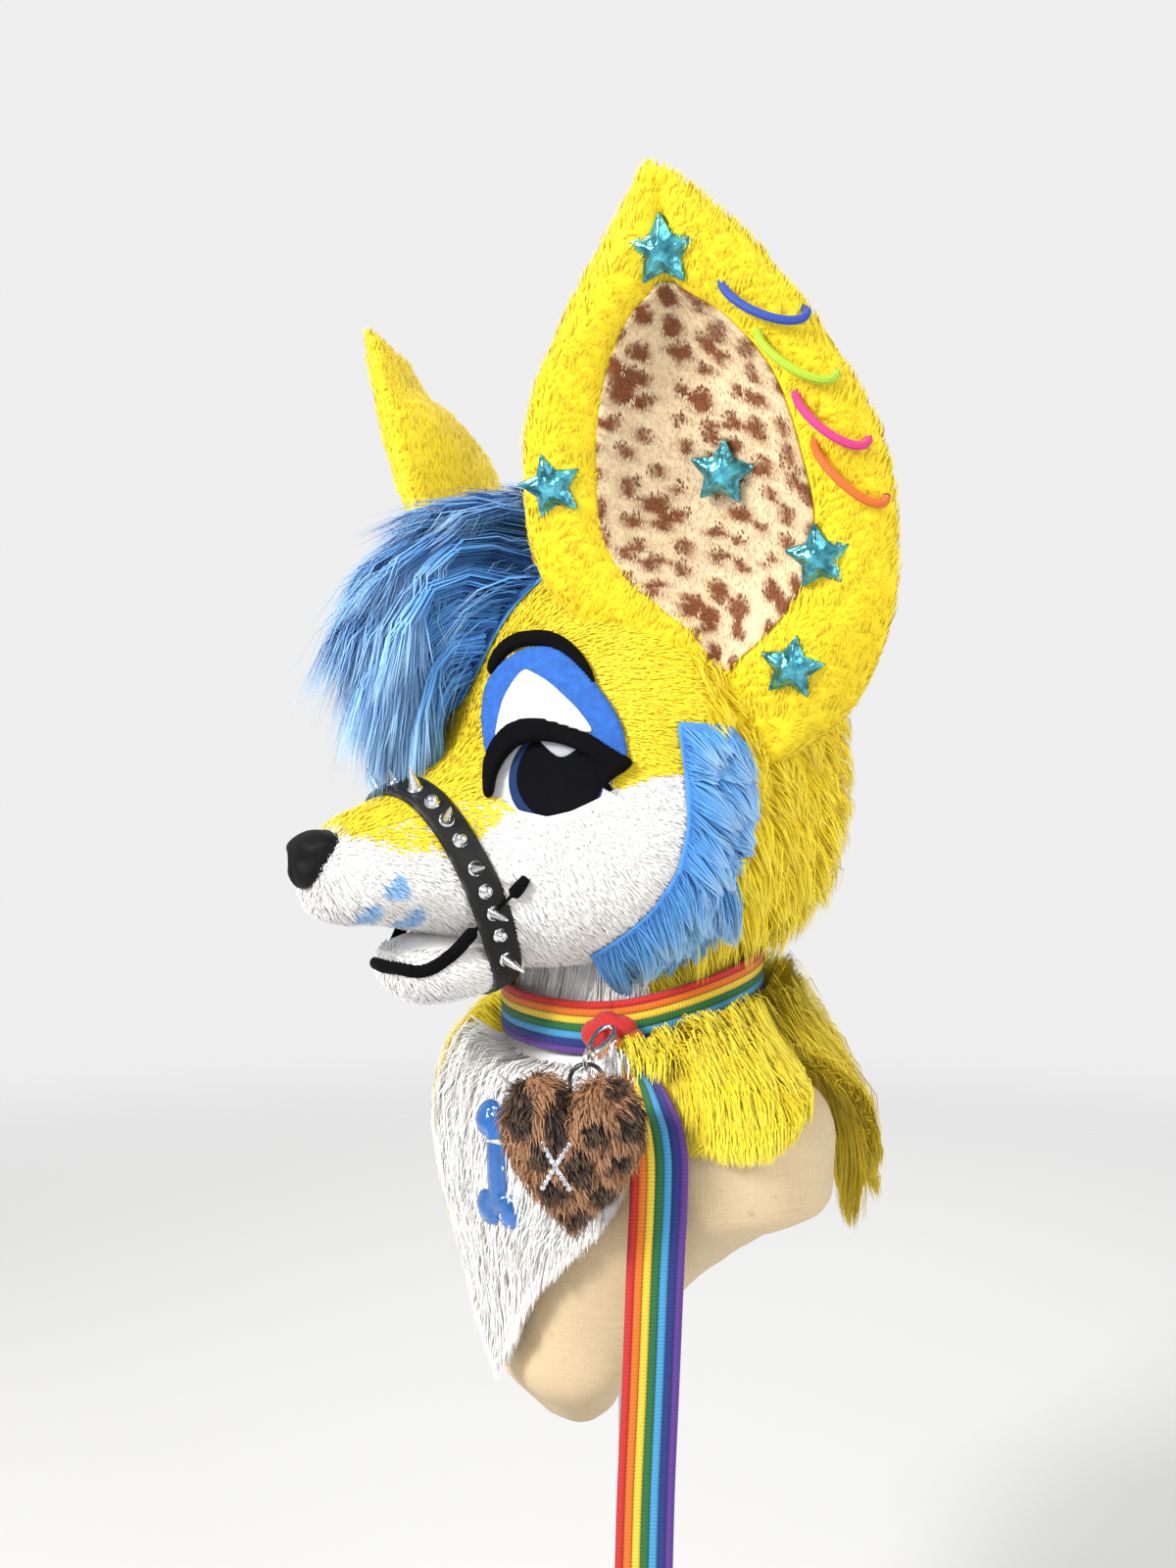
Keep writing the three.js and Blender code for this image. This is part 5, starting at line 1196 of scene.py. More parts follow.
def eye_layer(name, outline, low, high, material, side, grow=0.0, within=None, step=1.7, soft=1.8,
              rounding=5):
    """A cut sheet laid on the head round one eye, between two distances from its surface"""
    edge = rounded_outline(outline, rounding) if rounding else np.array(outline, float)
    box = edge.min(0) - grow - 2, edge.max(0) + grow + 2
    across = np.arange(box[0][0], box[1][0] + step, step)
    up = np.arange(box[0][1], box[1][1] + step, step)
    flat = np.stack(np.meshgrid(across, up, indexing="ij"), -1).reshape(-1, 2)
    start = outward(EYE_FACING) * (EYE_DEPTH + 60) + flat[:, :1] * sideways(EYE_FACING) + flat[:, 1:] * UP
    points = drop(head_field, start, -outward(EYE_FACING), 110.0)
    normals = field_normal(head_field, points)
    field = signed_distance(edge, flat) + grow
    if within is not None:
        field = np.minimum(field, signed_distance(rounded_outline(within), flat) + 0.5)
    table = np.hstack([points, normals, field[:, None], flat])
    table, faces = clip(table, grid_faces(len(across), len(up)), field)
    gap = np.clip(table[:, 6] / soft, 0, 1)
    lift = low + (high - low) * (0.35 + 0.65 * np.sqrt(np.clip(1 - (1 - gap) ** 2, 0, 1)))
    solid, faces = shell(table[:, :3], faces, unit(table[:, 3:6]), low, lift)
    if side < 0:
        solid, faces = mirrored(solid), faces[:, ::-1]
    faces = outside_out(solid, faces)
    mark_flat = np.hstack([table[:, 7:9], table[:, 6:7]])
    return mesh_piece(name, solid, faces, material, marks={"place": np.vstack([mark_flat, mark_flat])})


class FURSUIT_OT_eyes(bpy.types.Operator):
    """Mesh eyes with their lashes, lids, patches and brows"""
    bl_idname = "fursuit.eyes"
    bl_label = "Eyes"

    def execute(self, context):
        t = settings("trim")
        white = self.eye_mesh("eye_white", (0.82, 0.83, 0.85), (0.55, 0.57, 0.62))
        black = self.eye_mesh("eye_black", (0.001, 0.001, 0.002), (0.005, 0.006, 0.010))
        rim = self.eye_mesh("eye_rim", (0.02, 0.05, 0.16), (0.01, 0.02, 0.07))
        glint = self.eye_mesh("eye_glint", (0.42, 0.44, 0.48), (0.8, 0.82, 0.86))
        nap = (1600.0, 240.0, 0.0006, 0.9)
        # The second colour of each plush is painted shade in its hollows
        plush = cloth_material("blue_plush", t.lid, colour(t.lid, 0.6), *nap, 0.5)
        pale = cloth_material("white_plush", (0.88, 0.87, 0.85), (0.72, 0.71, 0.70), *nap, 0.4)
        turn = np.linspace(0, 2 * math.pi, 36, endpoint=False)

        def disc(radius, shift=0.0):
            return np.stack([shift - 12.5 + radius * np.sin(turn), shift / 2 + 4 + radius * np.cos(turn)], -1)

        for word, side in (("left", 1), ("right", -1)):
            plate = eye_layer("eye_white_" + word, EYE_OPENING, -5.5, -3.2, white, side, grow=2.5)
            dressed(plate, "eye_" + word)
            for name, outline, low, high, material in (
                ("iris_rim_", disc(26.5), -3.1, -2.7, rim), ("iris_", disc(24.0, 2.0), -2.7, -2.4, black),
                ("eye_glint_", [[-22.5, 25.0], [-1.0, 21.5], [-4.5, 16.0], [-12, 14.8]], -2.4, -1.9, glint),
            ):
                piece = eye_layer(name + word, outline, low, high, material, side, within=EYE_OPENING,
                                  soft=0.5)
            for name, outline, low, high, material, slot in (
                ("lash_", LASH, 0.3, 5.8, felt(), "black_felt"), ("lid_", LID, 0.3, 3.2, plush, "blue_minky"),
                ("lid_patch_", LID_PATCH, 3.3, 4.8, pale, "white_minky"),
                ("brow_", BROW, 0.3, 4.2, felt(), "black_felt"),
            ):
                piece = eye_layer(name + word + "_cloth", outline, low, high, material, side)
                dressed(piece, name + word)
                self.declare(piece, outline)
        return {"FINISHED"}

    def declare(self, piece, outline):
        """Reads the areas of the piece's faces, which nothing uses afterwards"""
        faces = np.zeros(len(piece.data.polygons))
        piece.data.polygons.foreach_get("area", faces)

    def eye_mesh(self, name, base, lit):
        made, tree, shader = new_material(name, 0.55, Specular_IOR_Level=0.08)
        flat = mark(tree, "place", "Vector")
        cells = placed(tree, weave_group(), Vector=flat, Pitch=5.2)
        tint(tree, shader, spread(tree, cells["Height"], 0.5, 0.9), colour(base), colour(lit))
        bump(tree, shader, cells["Height"], 0.0003)
        return made


class FURSUIT_OT_strap(bpy.types.Operator):
    """Leather strap round the muzzle with its spikes and studs"""
    bl_idname = "fursuit.strap"
    bl_label = "Muzzle strap"

    # Angle round the head and height of each spike or stud, on both sides; the last pair is below the jaw
    metal = [(90, 9), (64, 14), (44, 7), (28, 14), (14, 7), (0, 12), (-14, 7), (-28, 14), (-42, 7)]
    below = (40.0, -121.0, -97.0)
    below_height = 17

    def execute(self, context):
        centre = np.array([0, -128.1, -45.0])
        turns, across = 200, 11
        angle = 2 * np.pi * np.arange(turns) / turns
        offset = np.linspace(-1, 1, across)
        radius = self.taut(centre, angle)
        direction = self.direction(angle)
        half = STRAP["width"] / 2
        rings = []
        for o in offset:
            reach = self.taut(centre + STRAP_NORMAL * o * half, angle) * 0.6 + radius * 0.4
            rings.append(centre + STRAP_NORMAL * o * half + direction * (reach + 0.2)[:, None])
        surface = np.stack(rings, 1)
        thick = STRAP["thickness"] * (0.55 + 0.45 * np.sqrt(np.clip(1 - np.abs(offset) ** 6, 0, 1)))
        outer = surface + direction[:, None] * thick[None, :, None]
        points = np.concatenate([outer, surface[:, ::-1]], 1).reshape(-1, 3)
        faces = grid_faces(turns + 1, 2 * across, wrap=True) % (turns * 2 * across)
        edge = np.abs(np.tile(np.r_[offset, offset[::-1]], turns))
        made, tree, shader = new_material("black_leather", 0.5, Specular_IOR_Level=0.25)
        grain = node(tree, "ShaderNodeTexVoronoi", {"Vector": place_of(tree), "Scale": 900.0})
        base = settings("trim").leather
        worn = maths(tree, "MULTIPLY", spread(tree, mark(tree, "edge"), 0.85, 1.0),
                     spread(tree, noise(tree, place_of(tree), 90.0, 4.0), 0.45, 0.65))
        tint(tree, shader, worn, colour(base), (0.09, 0.085, 0.08, 1))
        tree.links.new(spread(tree, grain.outputs[0], 0.0, 0.6, 0.34, 0.52), shader.inputs["Roughness"])
        bump(tree, shader, grain.outputs[0], 0.0002)
        strap = mesh_piece("muzzle_band", points, outside_out(points, faces), made, marks={"edge": edge})
        dressed(strap, "muzzle_strap")
        self.spikes(centre, angle, radius)
        return {"FINISHED"}

    def direction(self, angle):
        return np.cos(angle)[..., None] * np.array([1.0, 0, 0]) + np.sin(angle)[..., None] * STRAP_UP

    def taut(self, centre, angle):
        """Distance from the centre to the strap's inner face, which spans the hollows"""
        reach = np.arange(5.0, 110.0, 0.75)
        points = centre + self.direction(angle)[:, None] * reach[None, :, None]
        inside = (head_field(points) < 0) | (jaw_field(points) < 0)
        far = reach[len(reach) - 1 - inside[:, ::-1].argmax(1)] + 0.4
        facing = np.cos(angle[:, None] - np.linspace(0, 2 * np.pi, 7200, endpoint=False))
        support = (far[:, None] * facing).max(0)
        out = np.where(facing > 0.05, support / np.maximum(facing, 0.05), np.inf).min(1)
        soft = out.copy()
        for _ in range(4):
            soft = (np.roll(soft, 1) + 2 * soft + np.roll(soft, -1)) / 4
        return np.maximum(out, soft)

    def spikes(self, centre, angle, radius):
        steel = metal_material("spike_steel", (0.80, 0.81, 0.83), 0.16, 700.0)
        targets = []
        for degrees, height in self.metal:
            a = math.radians(degrees)
            point = head_point(self.place_on_strap(a), a)[0]
            targets += [(point * [side, 1, 1], height) for side in ((1, -1) if degrees < 90 else (1,))]
        targets += [(self.below * np.array([side, 1, 1]), self.below_height) for side in (1, -1)]
        around, inner = np.r_[angle, 2 * math.pi], np.r_[radius, radius[0]]
        bodies = []
        for target, height in targets:
            turn = math.atan2((target - centre) @ STRAP_UP, target[0]) % (2 * math.pi)
            reach = np.interp(turn, around, inner) + STRAP["thickness"]
            ahead = np.interp((turn + 0.03) % (2 * math.pi), around, inner) + STRAP["thickness"]
            out, across = self.direction(np.array(turn)), self.direction(np.array(turn + math.pi / 2))
            lean = unit(out - across * (ahead - reach) / (reach * 0.03))
            bodies.append(self.spike(centre + out * reach, lean, height))
        dressed(mesh_piece("strap_spikes", *joined(*bodies), steel))

    def place_on_strap(self, angle):
        low, high = float(HEAD.place(-90)), float(HEAD.place(-175))
        for _ in range(30):
            middle = (low + high) / 2
            p = head_surface(np.array(middle), angle)
            beyond = (p - [0, STRAP["y"], STRAP["z"]]) @ STRAP_NORMAL
            low, high = (middle, high) if beyond > 0 else (low, middle)
        return (low + high) / 2

    def spike(self, foot, out, height):
        if height > 8:
            profile = [(4.3, -0.4), (4.3, 0.5), (3.9, 0.9), (3.5, 1.1), (3.4, 1.6), (2.2, 0.42 * height),
                       (1.0, 0.8 * height), (0.45, 0.95 * height), (0.1, height)]
        else:
            profile = [(4.4, -0.4), (4.4, 0.6), (4.0, 1.1), (3.0, 2.0), (2.9, 3.4), (1.9, 4.4), (0.6, 5.0)]
        return turned(profile, foot, out, [0.3, 0.2, 0.93], 20)


# Ear: flat frame of its opening, then its outline and inner panel by height along its axis
EAR_BASE, EAR_TIP = np.array([95.0, -25, 52]), np.array([170.0, -96, 290])
EAR_AXIS = unit(EAR_TIP - EAR_BASE)
EAR_FACING = unit(np.array([0.614, -0.682, -0.397]))
EAR_ACROSS = unit(np.cross(EAR_AXIS, EAR_FACING))
EAR = Profile([
    [261, -1, 1, 0, 0], [256, -5, 11, 3, 3], [247, -11, 21, 5, 5], [225, -27, 45, 6, 6],
    [208, -39, 59, 1, 9], [190, -50, 73, -16, 33], [160, -67, 91, -31, 56], [127, -77, 106, -38, 66],
    [90, -80, 112, -40, 72], [62, -76, 112, -31, 69], [43, -66, 110, -12, 58], [27, -46, 106, 6, 44],
    [8, -28, 99, 15, 25], [-12, -12, 88, 19, 21], [-34, 2, 64, 22, 22], [-50, 12, 36, 22, 22],
    [-56, 17, 19, 18, 18],
])
DISH_STEPS = 5


def ear_point(across, depth, height):
    across, depth, height = (np.asarray(v, float)[..., None] for v in (across, depth, height))
    return EAR_BASE + EAR_AXIS * height + EAR_ACROSS * across + EAR_FACING * depth


def ear_section(height):
    _, front, back, inner_front, inner_back = EAR.at(EAR.place(height))
    dish = min(22.0, 0.24 * (inner_back - inner_front))
    slim = min(1.0, (back - front) / 60)
    belly = (dish + 10) * slim
    floor = [[mix(inner_front, inner_back, i / DISH_STEPS), -slim - dish * math.sin(math.pi * i / DISH_STEPS)]
             for i in range(DISH_STEPS + 1)]
    behind = [[mix(back, front, k / 6), -5 * slim - belly * math.sin(math.pi * k / 6) ** 0.7]
              for k in range(1, 6)]
    return np.array([
        [front, -5 * slim], [mix(front, inner_front, 0.3), 4 * slim],
        [mix(front, inner_front, 0.75), 3 * slim], *floor, [mix(back, inner_back, 0.75), 3 * slim],
        [mix(back, inner_back, 0.3), 4 * slim], [back, -5 * slim],
        *behind,
    ])


def ear_table(levels=80, per_edge=3):
    """The ear's points with their normals, place round the section, height and across"""
    heights = np.linspace(259.5, -55, levels)
    rings, extra = [], []
    for height in heights:
        ring = rounded_outline(ear_section(height), per_edge)
        rings.append(ear_point(ring[:, 0], ring[:, 1], np.full(len(ring), height)))
        index = np.arange(len(ring)) / per_edge
        extra.append(np.stack([index, np.full(len(ring), height), ring[:, 0]], -1))
    start = np.r_[ear_point(0, -2, 261), 0, 261, 0]
    finish = np.r_[ear_point(18, -6, -56), 0, -56, 18]
    table, faces = loft(np.concatenate([rings, extra], -1), start, finish)
    faces = outside_out(table, faces)
    return np.hstack([table[:, :3], vertex_normals(table, faces), table[:, 3:]]), faces


def spot_paint(points, pitch, size, seed):
    """Uneven spots scattered over a flat lining: 1 inside a spot"""
    rng = np.random.default_rng(seed)
    low, high = points.min(0) - pitch, points.max(0) + pitch
    columns = np.arange(low[0], high[0], pitch)
    rows = np.arange(low[1], high[1], pitch * 0.9)
    cells = np.array([[u + (pitch / 2 if i % 2 else 0), v] for i, v in enumerate(rows) for u in columns])
    cells += rng.uniform(-0.22, 0.22, cells.shape) * pitch
    turn, stretch = rng.uniform(0, np.pi, len(cells)), rng.uniform(0.68, 1.0, len(cells))
    radius, waves = size * rng.uniform(0.65, 1.12, len(cells)), rng.uniform(0, 6.28, (len(cells), 2))
    paint = np.zeros(len(points))
    for k, cell in enumerate(cells):
        u, v = (points - cell).T
        cu, cv = u * np.cos(turn[k]) + v * np.sin(turn[k]), v * np.cos(turn[k]) - u * np.sin(turn[k])
        cv = cv / stretch[k]
        angle = np.arctan2(cv, cu)
        reach = radius[k] * (1 + 0.09 * np.sin(2 * angle + waves[k, 0])
                             + 0.06 * np.sin(3 * angle + waves[k, 1]))
        paint = np.maximum(paint, np.clip((reach - np.hypot(cu, cv)) / 0.8 + 0.5, 0, 1))
    return paint


class FURSUIT_OT_ears(bpy.types.Operator):
    """Ears with a spotted lining, and the stars and elastic loops of the left one"""
    bl_idname = "fursuit.ears"
    bl_label = "Ears and their trims"

    stars = [("star_tip", 5, 221, 0, 3), ("star_front", -62, 109, 12, 0), ("star_panel", 23, 109, -8, 5),
             ("star_back", 74, 70, 6, 2), ("star_low", 58, 12, -10, 1)]
    loops = [("elastic_blue", (0.012, 0.07, 0.50), [33, 206], [73, 189]),
             ("elastic_lime", (0.50, 0.80, 0.02), [49, 182], [86, 160]),
             ("elastic_pink", (0.88, 0.03, 0.28), [66, 152], [100, 128]),
             ("elastic_orange", (0.95, 0.17, 0.01), [74, 128], [108, 99])]

    def execute(self, context):
        s = settings("fur")
        width = s.width / MM
        # Its roots carry painted shade: the dark root colour multiplied in by the depth share
        spotted = fur_material("spotted_pile", s.cream, (0.45, 0.30, 0.16), (0.95, 0.84, 0.66), s.rust,
                               0.3, 0.2, 0.06)
        left, faces = ear_table()
        lining = np.minimum.reduce([left[:, 6] - 3, 8 - left[:, 6], (left[:, 7] - 8) / 8,
                                    (206 - left[:, 7]) / 8])
        for word, side in (("left", 1), ("right", -1)):
            rng = draws(40 + side)
            table = left.copy()
            table[:, [0, 3]] *= side
            around = faces if side > 0 else faces[:, ::-1]
            piece = mesh_piece("ear_%s_skin" % word, table, around, yellow_fur(),
                               marks=skin_marks(len(table)))
            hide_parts("ear_" + word)
            axis = EAR_AXIS * [side, 1, 1]
            roots = scatter(*clip(table, around, -lining), how_many(15500), rng)
            roots = roots[head_field(roots[:, :3]) > -0.05]
            fur = combed_fur("ear_%s_fur" % word, roots, axis * 0.7 + [0, 0.3, 0],
                             6.2 * rng.uniform(0.75, 1.2, len(roots)), (0.38, 0.05, 0.13, 2), (40, 0.2), width,
                             yellow_fur(), rng)
            dressed(piece)

            inner, inner_faces = clip(table, around, lining)
            solid, closed = shell(inner[:, :3], inner_faces, unit(inner[:, 3:6]), 0.4, 1.6)
            paint = spot_paint(inner[:, 7:9], 16.0, 6.4, 5)
            panel = mesh_piece("ear_panel_%s_cloth" % word, solid, outside_out(solid, closed), spotted,
                               marks=skin_marks(len(solid), np.tile(paint, 2)))
            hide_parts("ear_panel_" + word)
            roots = scatter(inner, inner_faces, how_many(8500), rng)
            normals = unit(roots[:, 3:6])
            paint = spot_paint(roots[:, 7:9], 16.0, 6.4, 5)
            paths = combed(roots[:, :3] + normals * 1.4, normals, tangent_lay(normals, axis),
                           2.8 * rng.uniform(0.7, 1.2, len(roots)), 0.3, 0.0, 0.1, 2, rng)
            fur = strands("ear_panel_%s_fur" % word, paths, normals, width, spotted, rng, None, paint)
            dressed(panel)
        self.make_stars()
        self.make_loops()
        return {"FINISHED"}

    def surface_depth(self, across, height):
        section = ear_section(height)[:DISH_STEPS + 6]
        return float(np.interp(across, section[:, 0], section[:, 1]))

    def make_stars(self):
        t = settings("trim")
        made, tree, shader = new_material("foil_vinyl", 0.22, Metallic=0.75, Coat_Weight=0.6,
                                          Coat_Roughness=0.12)
        crease = noise(tree, place_of(tree), 150.0, 4.0)
        # Colour follows the crinkle bump: painted shade in its hollows and a painted highlight on its ridges
        tint(tree, shader, spread(tree, crease, 0.35, 0.7), colour(t.star, 0.5), (0.12, 0.62, 0.78, 1.0))
        bump(tree, shader, crease, 0.0012)
        for name, across, height, turn, raised in self.stars:
            edge = []
            for i in range(10):
                a = math.radians(turn + 90 + 36 * i)
                r = 9.6 if i % 2 else 18.0
                edge.append([r * math.cos(a), r * math.sin(a)])
            centre = ear_point(across, self.surface_depth(across, height) + raised, height)
            line = np.arange(-19, 19.1, 1.0)
            (u, v, gap), faces = cut_flat(edge, line, line)
            lift = 1.4 + 5.6 * np.clip(gap / 6.5, 0, 1) ** 0.75 - 1.0 * np.exp(-((gap - 1.5) / 0.6) ** 2)
            lift += 0.25 * np.sin(u * 1.1) * np.sin(v * 1.3)
            place = centre + EAR_ACROSS * u[:, None] + EAR_AXIS * v[:, None]
            solid, faces = shell(place, faces, np.tile(EAR_FACING, (len(place), 1)), -1.5, lift)
            pad = mesh_piece(name + "_pad", solid, outside_out(solid, faces), made)
            dressed(pad, name)

    def make_loops(self):
        for name, base, start, end in self.loops:
            angle = 2 * np.pi * np.arange(64) / 64
            share = 0.5 + 0.5 * np.cos(angle)
            bow = np.maximum(np.sin(angle), 0) * 7
            across, height = (mix(start[k], end[k], share) for k in (0, 1))
            path = ear_point(across, 2 + 9 * np.sin(angle), height - bow)
            points, faces = tube(path, 2.2, 12, closed=True, toward=EAR_FACING)
            around, along = np.tile(np.arange(12) / 12, 64), np.repeat(np.arange(64) * 1.6, 12)
            made, tree, shader = new_material(name + "_braid", 0.55, Sheen_Weight=0.2)
            braid = placed(tree, weave_group(), Vector=mark(tree, "place", "Vector"), Pitch=3.2)
            # The weave's low places take a darker copy of the colour: painted shade between the threads
            tint(tree, shader, braid["Height"], colour(base, 0.6), colour(base))
            bump(tree, shader, braid["Height"], 0.0003)
            place = np.stack([along + around * 7, along - around * 7, 0 * along], -1)
            dressed(mesh_piece(name + "_loop", points, faces, made, marks={"place": place}), name)


def lock_paths(root, middle, tip, count, width, spread_tip, rng, segments=4):
    """Strands of one lock: they start apart and come together at its tip"""
    normal = unit(middle - root)
    side = unit(np.cross(normal, tip - root))
    rise = np.cross(side, normal)
    angle, reach = rng.uniform(0, 2 * np.pi, count), np.sqrt(rng.random(count))
    offset = (np.cos(angle) * reach)[:, None] * side + (np.sin(angle) * reach)[:, None] * rise
    steps = np.linspace(0, 1, segments + 1)[None, :, None]
    size = rng.uniform(0.62, 1.12, (count, 1, 1))
    first = root + offset[:, None] * width
    bend = middle + offset[:, None] * width * 0.75 + rng.normal(0, 2.5, (count, 1, 3))
    last = tip + offset[:, None] * spread_tip + rng.normal(0, 3.0, (count, 1, 3))
    last = first + (last - first) * size
    return (1 - steps) ** 2 * first + 2 * steps * (1 - steps) * bend + steps ** 2 * last


class FURSUIT_OT_hair(bpy.types.Operator):
    """Hair tuft on the forehead and the blue ruffs behind the cheeks"""
    bl_idname = "fursuit.hair"
    bl_label = "Hair and ruffs"

    # Rows of locks: height of the roots, reach to each side, locks, then y and height of middle and tip
    rows = [
        (140, 26, 5, (-86, 166), (-122, 150)), (132, 30, 6, (-124, 164), (-160, 132)),
        (120, 31, 6, (-156, 150), (-184, 92)), (106, 30, 6, (-170, 134), (-190, 50)),
        (92, 28, 6, (-170, 110), (-182, 20)), (76, 26, 6, (-162, 86), (-168, 0)),
        (60, 22, 5, (-152, 62), (-154, -8)),
    ]
    middle_x, head_middle = -10, (-6, -105, 74)

    def execute(self, context):
        self.tuft()
        self.ruffs()
        return {"FINISHED"}

    def backing(self, name, outline, columns, high, side=1):
        """The fabric under the locks: the head's surface inside an outline"""
        table, faces = head_table(160, 220, 0.4)
        faces = outside_out(table, faces)
        field = signed_distance(outline, table[:, columns])
        half = -10 - table[:, 1] if columns == [0, 2] else table[:, 0] * side
        points, part = clip(table, faces, np.minimum(field, half))
        solid, closed = shell(points[:, :3], part, unit(points[:, 3:6]), 0.0, high)
        # Along 0 gives the backing the full root colour: painted shade under the locks
        piece = mesh_piece(name + "_cloth", solid, outside_out(solid, closed), blue_fur(),
                           marks={**skin_marks(len(solid)), "along": np.zeros(len(solid))})
        return piece, points, part

    def front_point(self, x, height, out):
        """A place just above the front of the head"""
        point = drop(head_field, np.array([[x, -215.0, height]]), np.array([0, 1.0, 0]), 195.0)
        return (point + field_normal(head_field, point) * out)[0]

    def tuft(self):
        rng = draws(60)
        piece, points, faces = self.backing("hair", HAIR_OUTLINE, [0, 2], 0.8)
        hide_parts("hair_tuft")
        paths, shades, facing = [], [], []
        for height, reach, count, middle, tip in self.rows:
            for i in range(count):
                side = 2 * i / (count - 1) - 1
                far, near = min(side, 0) ** 2, max(side, 0) ** 2
                x = side * (reach - 8) + self.middle_x
                root = self.front_point(x, height, 3)
                bend = np.array([x, middle[0] + 14 * far + 14 * near, middle[1] - 6 * near])
                end = np.array([side * (reach - 6) - 12, tip[0] + 26 * far + 22 * near + i % 2 * 4,
                                tip[1] - i % 2 * 7])
                part = lock_paths(root, bend, end + rng.normal(0, 3, 3), how_many(320), 12.0, 9.5, rng)
                paths.append(part)
                shades.append(np.full(len(part), rng.uniform(0.15, 0.85)))
                facing.append(unit(part[:, 2] - self.head_middle))
        paths = np.vstack(paths)
        base = scatter(points, faces, how_many(1400), rng)
        normals = unit(base[:, 3:6])
        under = combed(base[:, :3], normals, tangent_lay(normals, [-0.2, -1.0, -0.7]),
                       20 * rng.uniform(0.6, 1.2, len(base)), 0.5, 0.1, 0.14, 4, rng)
        paths, facing = np.vstack([paths, under]), [*facing, normals]
        shades.append(np.full(len(under), 0.4))
        paths, tone = clumped(paths, 22, 0.5, rng)
        fur = strands("hair_strands", paths, np.vstack(facing), 1.25, blue_fur(), rng,
                      0.5 * tone + 0.5 * np.concatenate(shades))
        dressed(piece)

    def ruffs(self):
        for word, side in (("left", 1), ("right", -1)):
            rng = draws(70 + side)
            piece, points, faces = self.backing("ruff_" + word, RUFF_OUTLINE, [1, 2], 1.2, side)
            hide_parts("ruff_" + word)
            roots = scatter(points, faces, how_many(6200), rng)
            normals = unit(roots[:, 3:6])
            low = np.clip((-30 - roots[:, 2]) / 50, 0, 1)[:, None]
            lay = tangent_lay(normals, mix(np.array([0, 0.75, -1.0]), np.array([0, 0.25, -1.0]), low))
            length = (24 + 6 * low[:, 0]) * rng.uniform(0.55, 1.25, len(roots))
            paths = combed(roots[:, :3], normals, lay, length, 0.5, 0.1, 0.12, 3, rng)
            paths, shade = clumped(paths, 170, 0.75, rng)
            paths, tone = clumped(paths, 20, 0.5, rng)
            fur = strands("ruff_%s_strands" % word, paths, normals, 0.85, blue_fur(), rng,
                          0.5 * tone + 0.5 * shade)
            dressed(piece)


# Band round the neck and the yoke of long fur below it
YOKE_PILE, BACKING = 20.0, 2.0
KNOT_AZIMUTH, KNOT_REACH = 51.0, 83.0
BAND_WIDTH, BAND_THICKNESS, BAND_RADIUS = 29.0, 2.0, 74.3


# Hanging end of the band from the knot down: azimuth, height, reach from the middle and width
HANGING_END = np.array([
    [56, -140, 84, 12], [58, -147, 95, 14], [60, -153, 104, 18], [61.5, -159, 114, 23],
    [62.5, -167, 127, 27], [63.5, -177, 138, 29], [63.9, -190, 143, 29], [63.7, -210, 144, 29],
    [63.2, -235, 144, 29], [62.2, -300, 144, 29], [61.2, -360, 144, 29], [60.5, -430, 143, 29],
    [59.9, -500, 142, 29], [59.5, -560, 142, 29],
])


def band_height(azimuth):
    from_knot = (azimuth - KNOT_AZIMUTH + 540) % 360 - 180
    return -115 - 14 * np.cos(np.radians(azimuth - 15)) - 5 * np.exp(-(from_knot / 35) ** 2)


# Hem of the yoke: azimuth, height, how far it stands off the form, and how far its pile is raised
YOKE_HEM = np.array([
    [-103, -205, 12, 26], [-86, -165, 2, 22], [-70, -172, 0, 16], [-57, -195, 0, 12], [-38, -242, 0, 10],
    [-10, -292, 0, 4], [11, -308, 0, 0], [30, -288, 0, 0], [50, -240, 0, 0], [60, -198, 0, 4],
    [70, -182, 0, 8], [79, -184, 0, 12], [99, -166, 2, 20], [108, -156, 5, 24], [125, -202, 20, 34],
    [145, -222, 34, 38], [180, -216, 36, 38], [215, -222, 34, 38], [257, -205, 12, 26],
], float)
HEM, FLARE, RISE = (Curve(YOKE_HEM[:, 0], YOKE_HEM[:, c]) for c in (1, 2, 3))


def yoke_point(azimuth, share, depth):
    """A place in the yoke's fur: share from the band to the hem, depth from the form to the tips"""
    azimuth = (np.asarray(azimuth, float) + 103) % 360 - 103
    inside = np.clip(share, 0, 1)
    first = FORM.place(band_height(azimuth) - BAND_WIDTH / 2 - 0.6)
    last = FORM.place(HEM(azimuth))
    share_lifted = depth * np.minimum(1, 0.5 + 2 * inside) * (1 - 0.45 * inside ** 3)
    arch = np.sin(np.pi * np.minimum(1, 0.25 + inside)) * np.clip(inside / 0.3, 0, 1)
    raised = RISE(azimuth) * arch * share_lifted
    point, normal = form_point(mix(first, last, inside), around_form(azimuth),
                               YOKE_PILE * share_lifted + FLARE(azimuth) * inside ** 2)
    return point + raised[..., None] * UP, normal


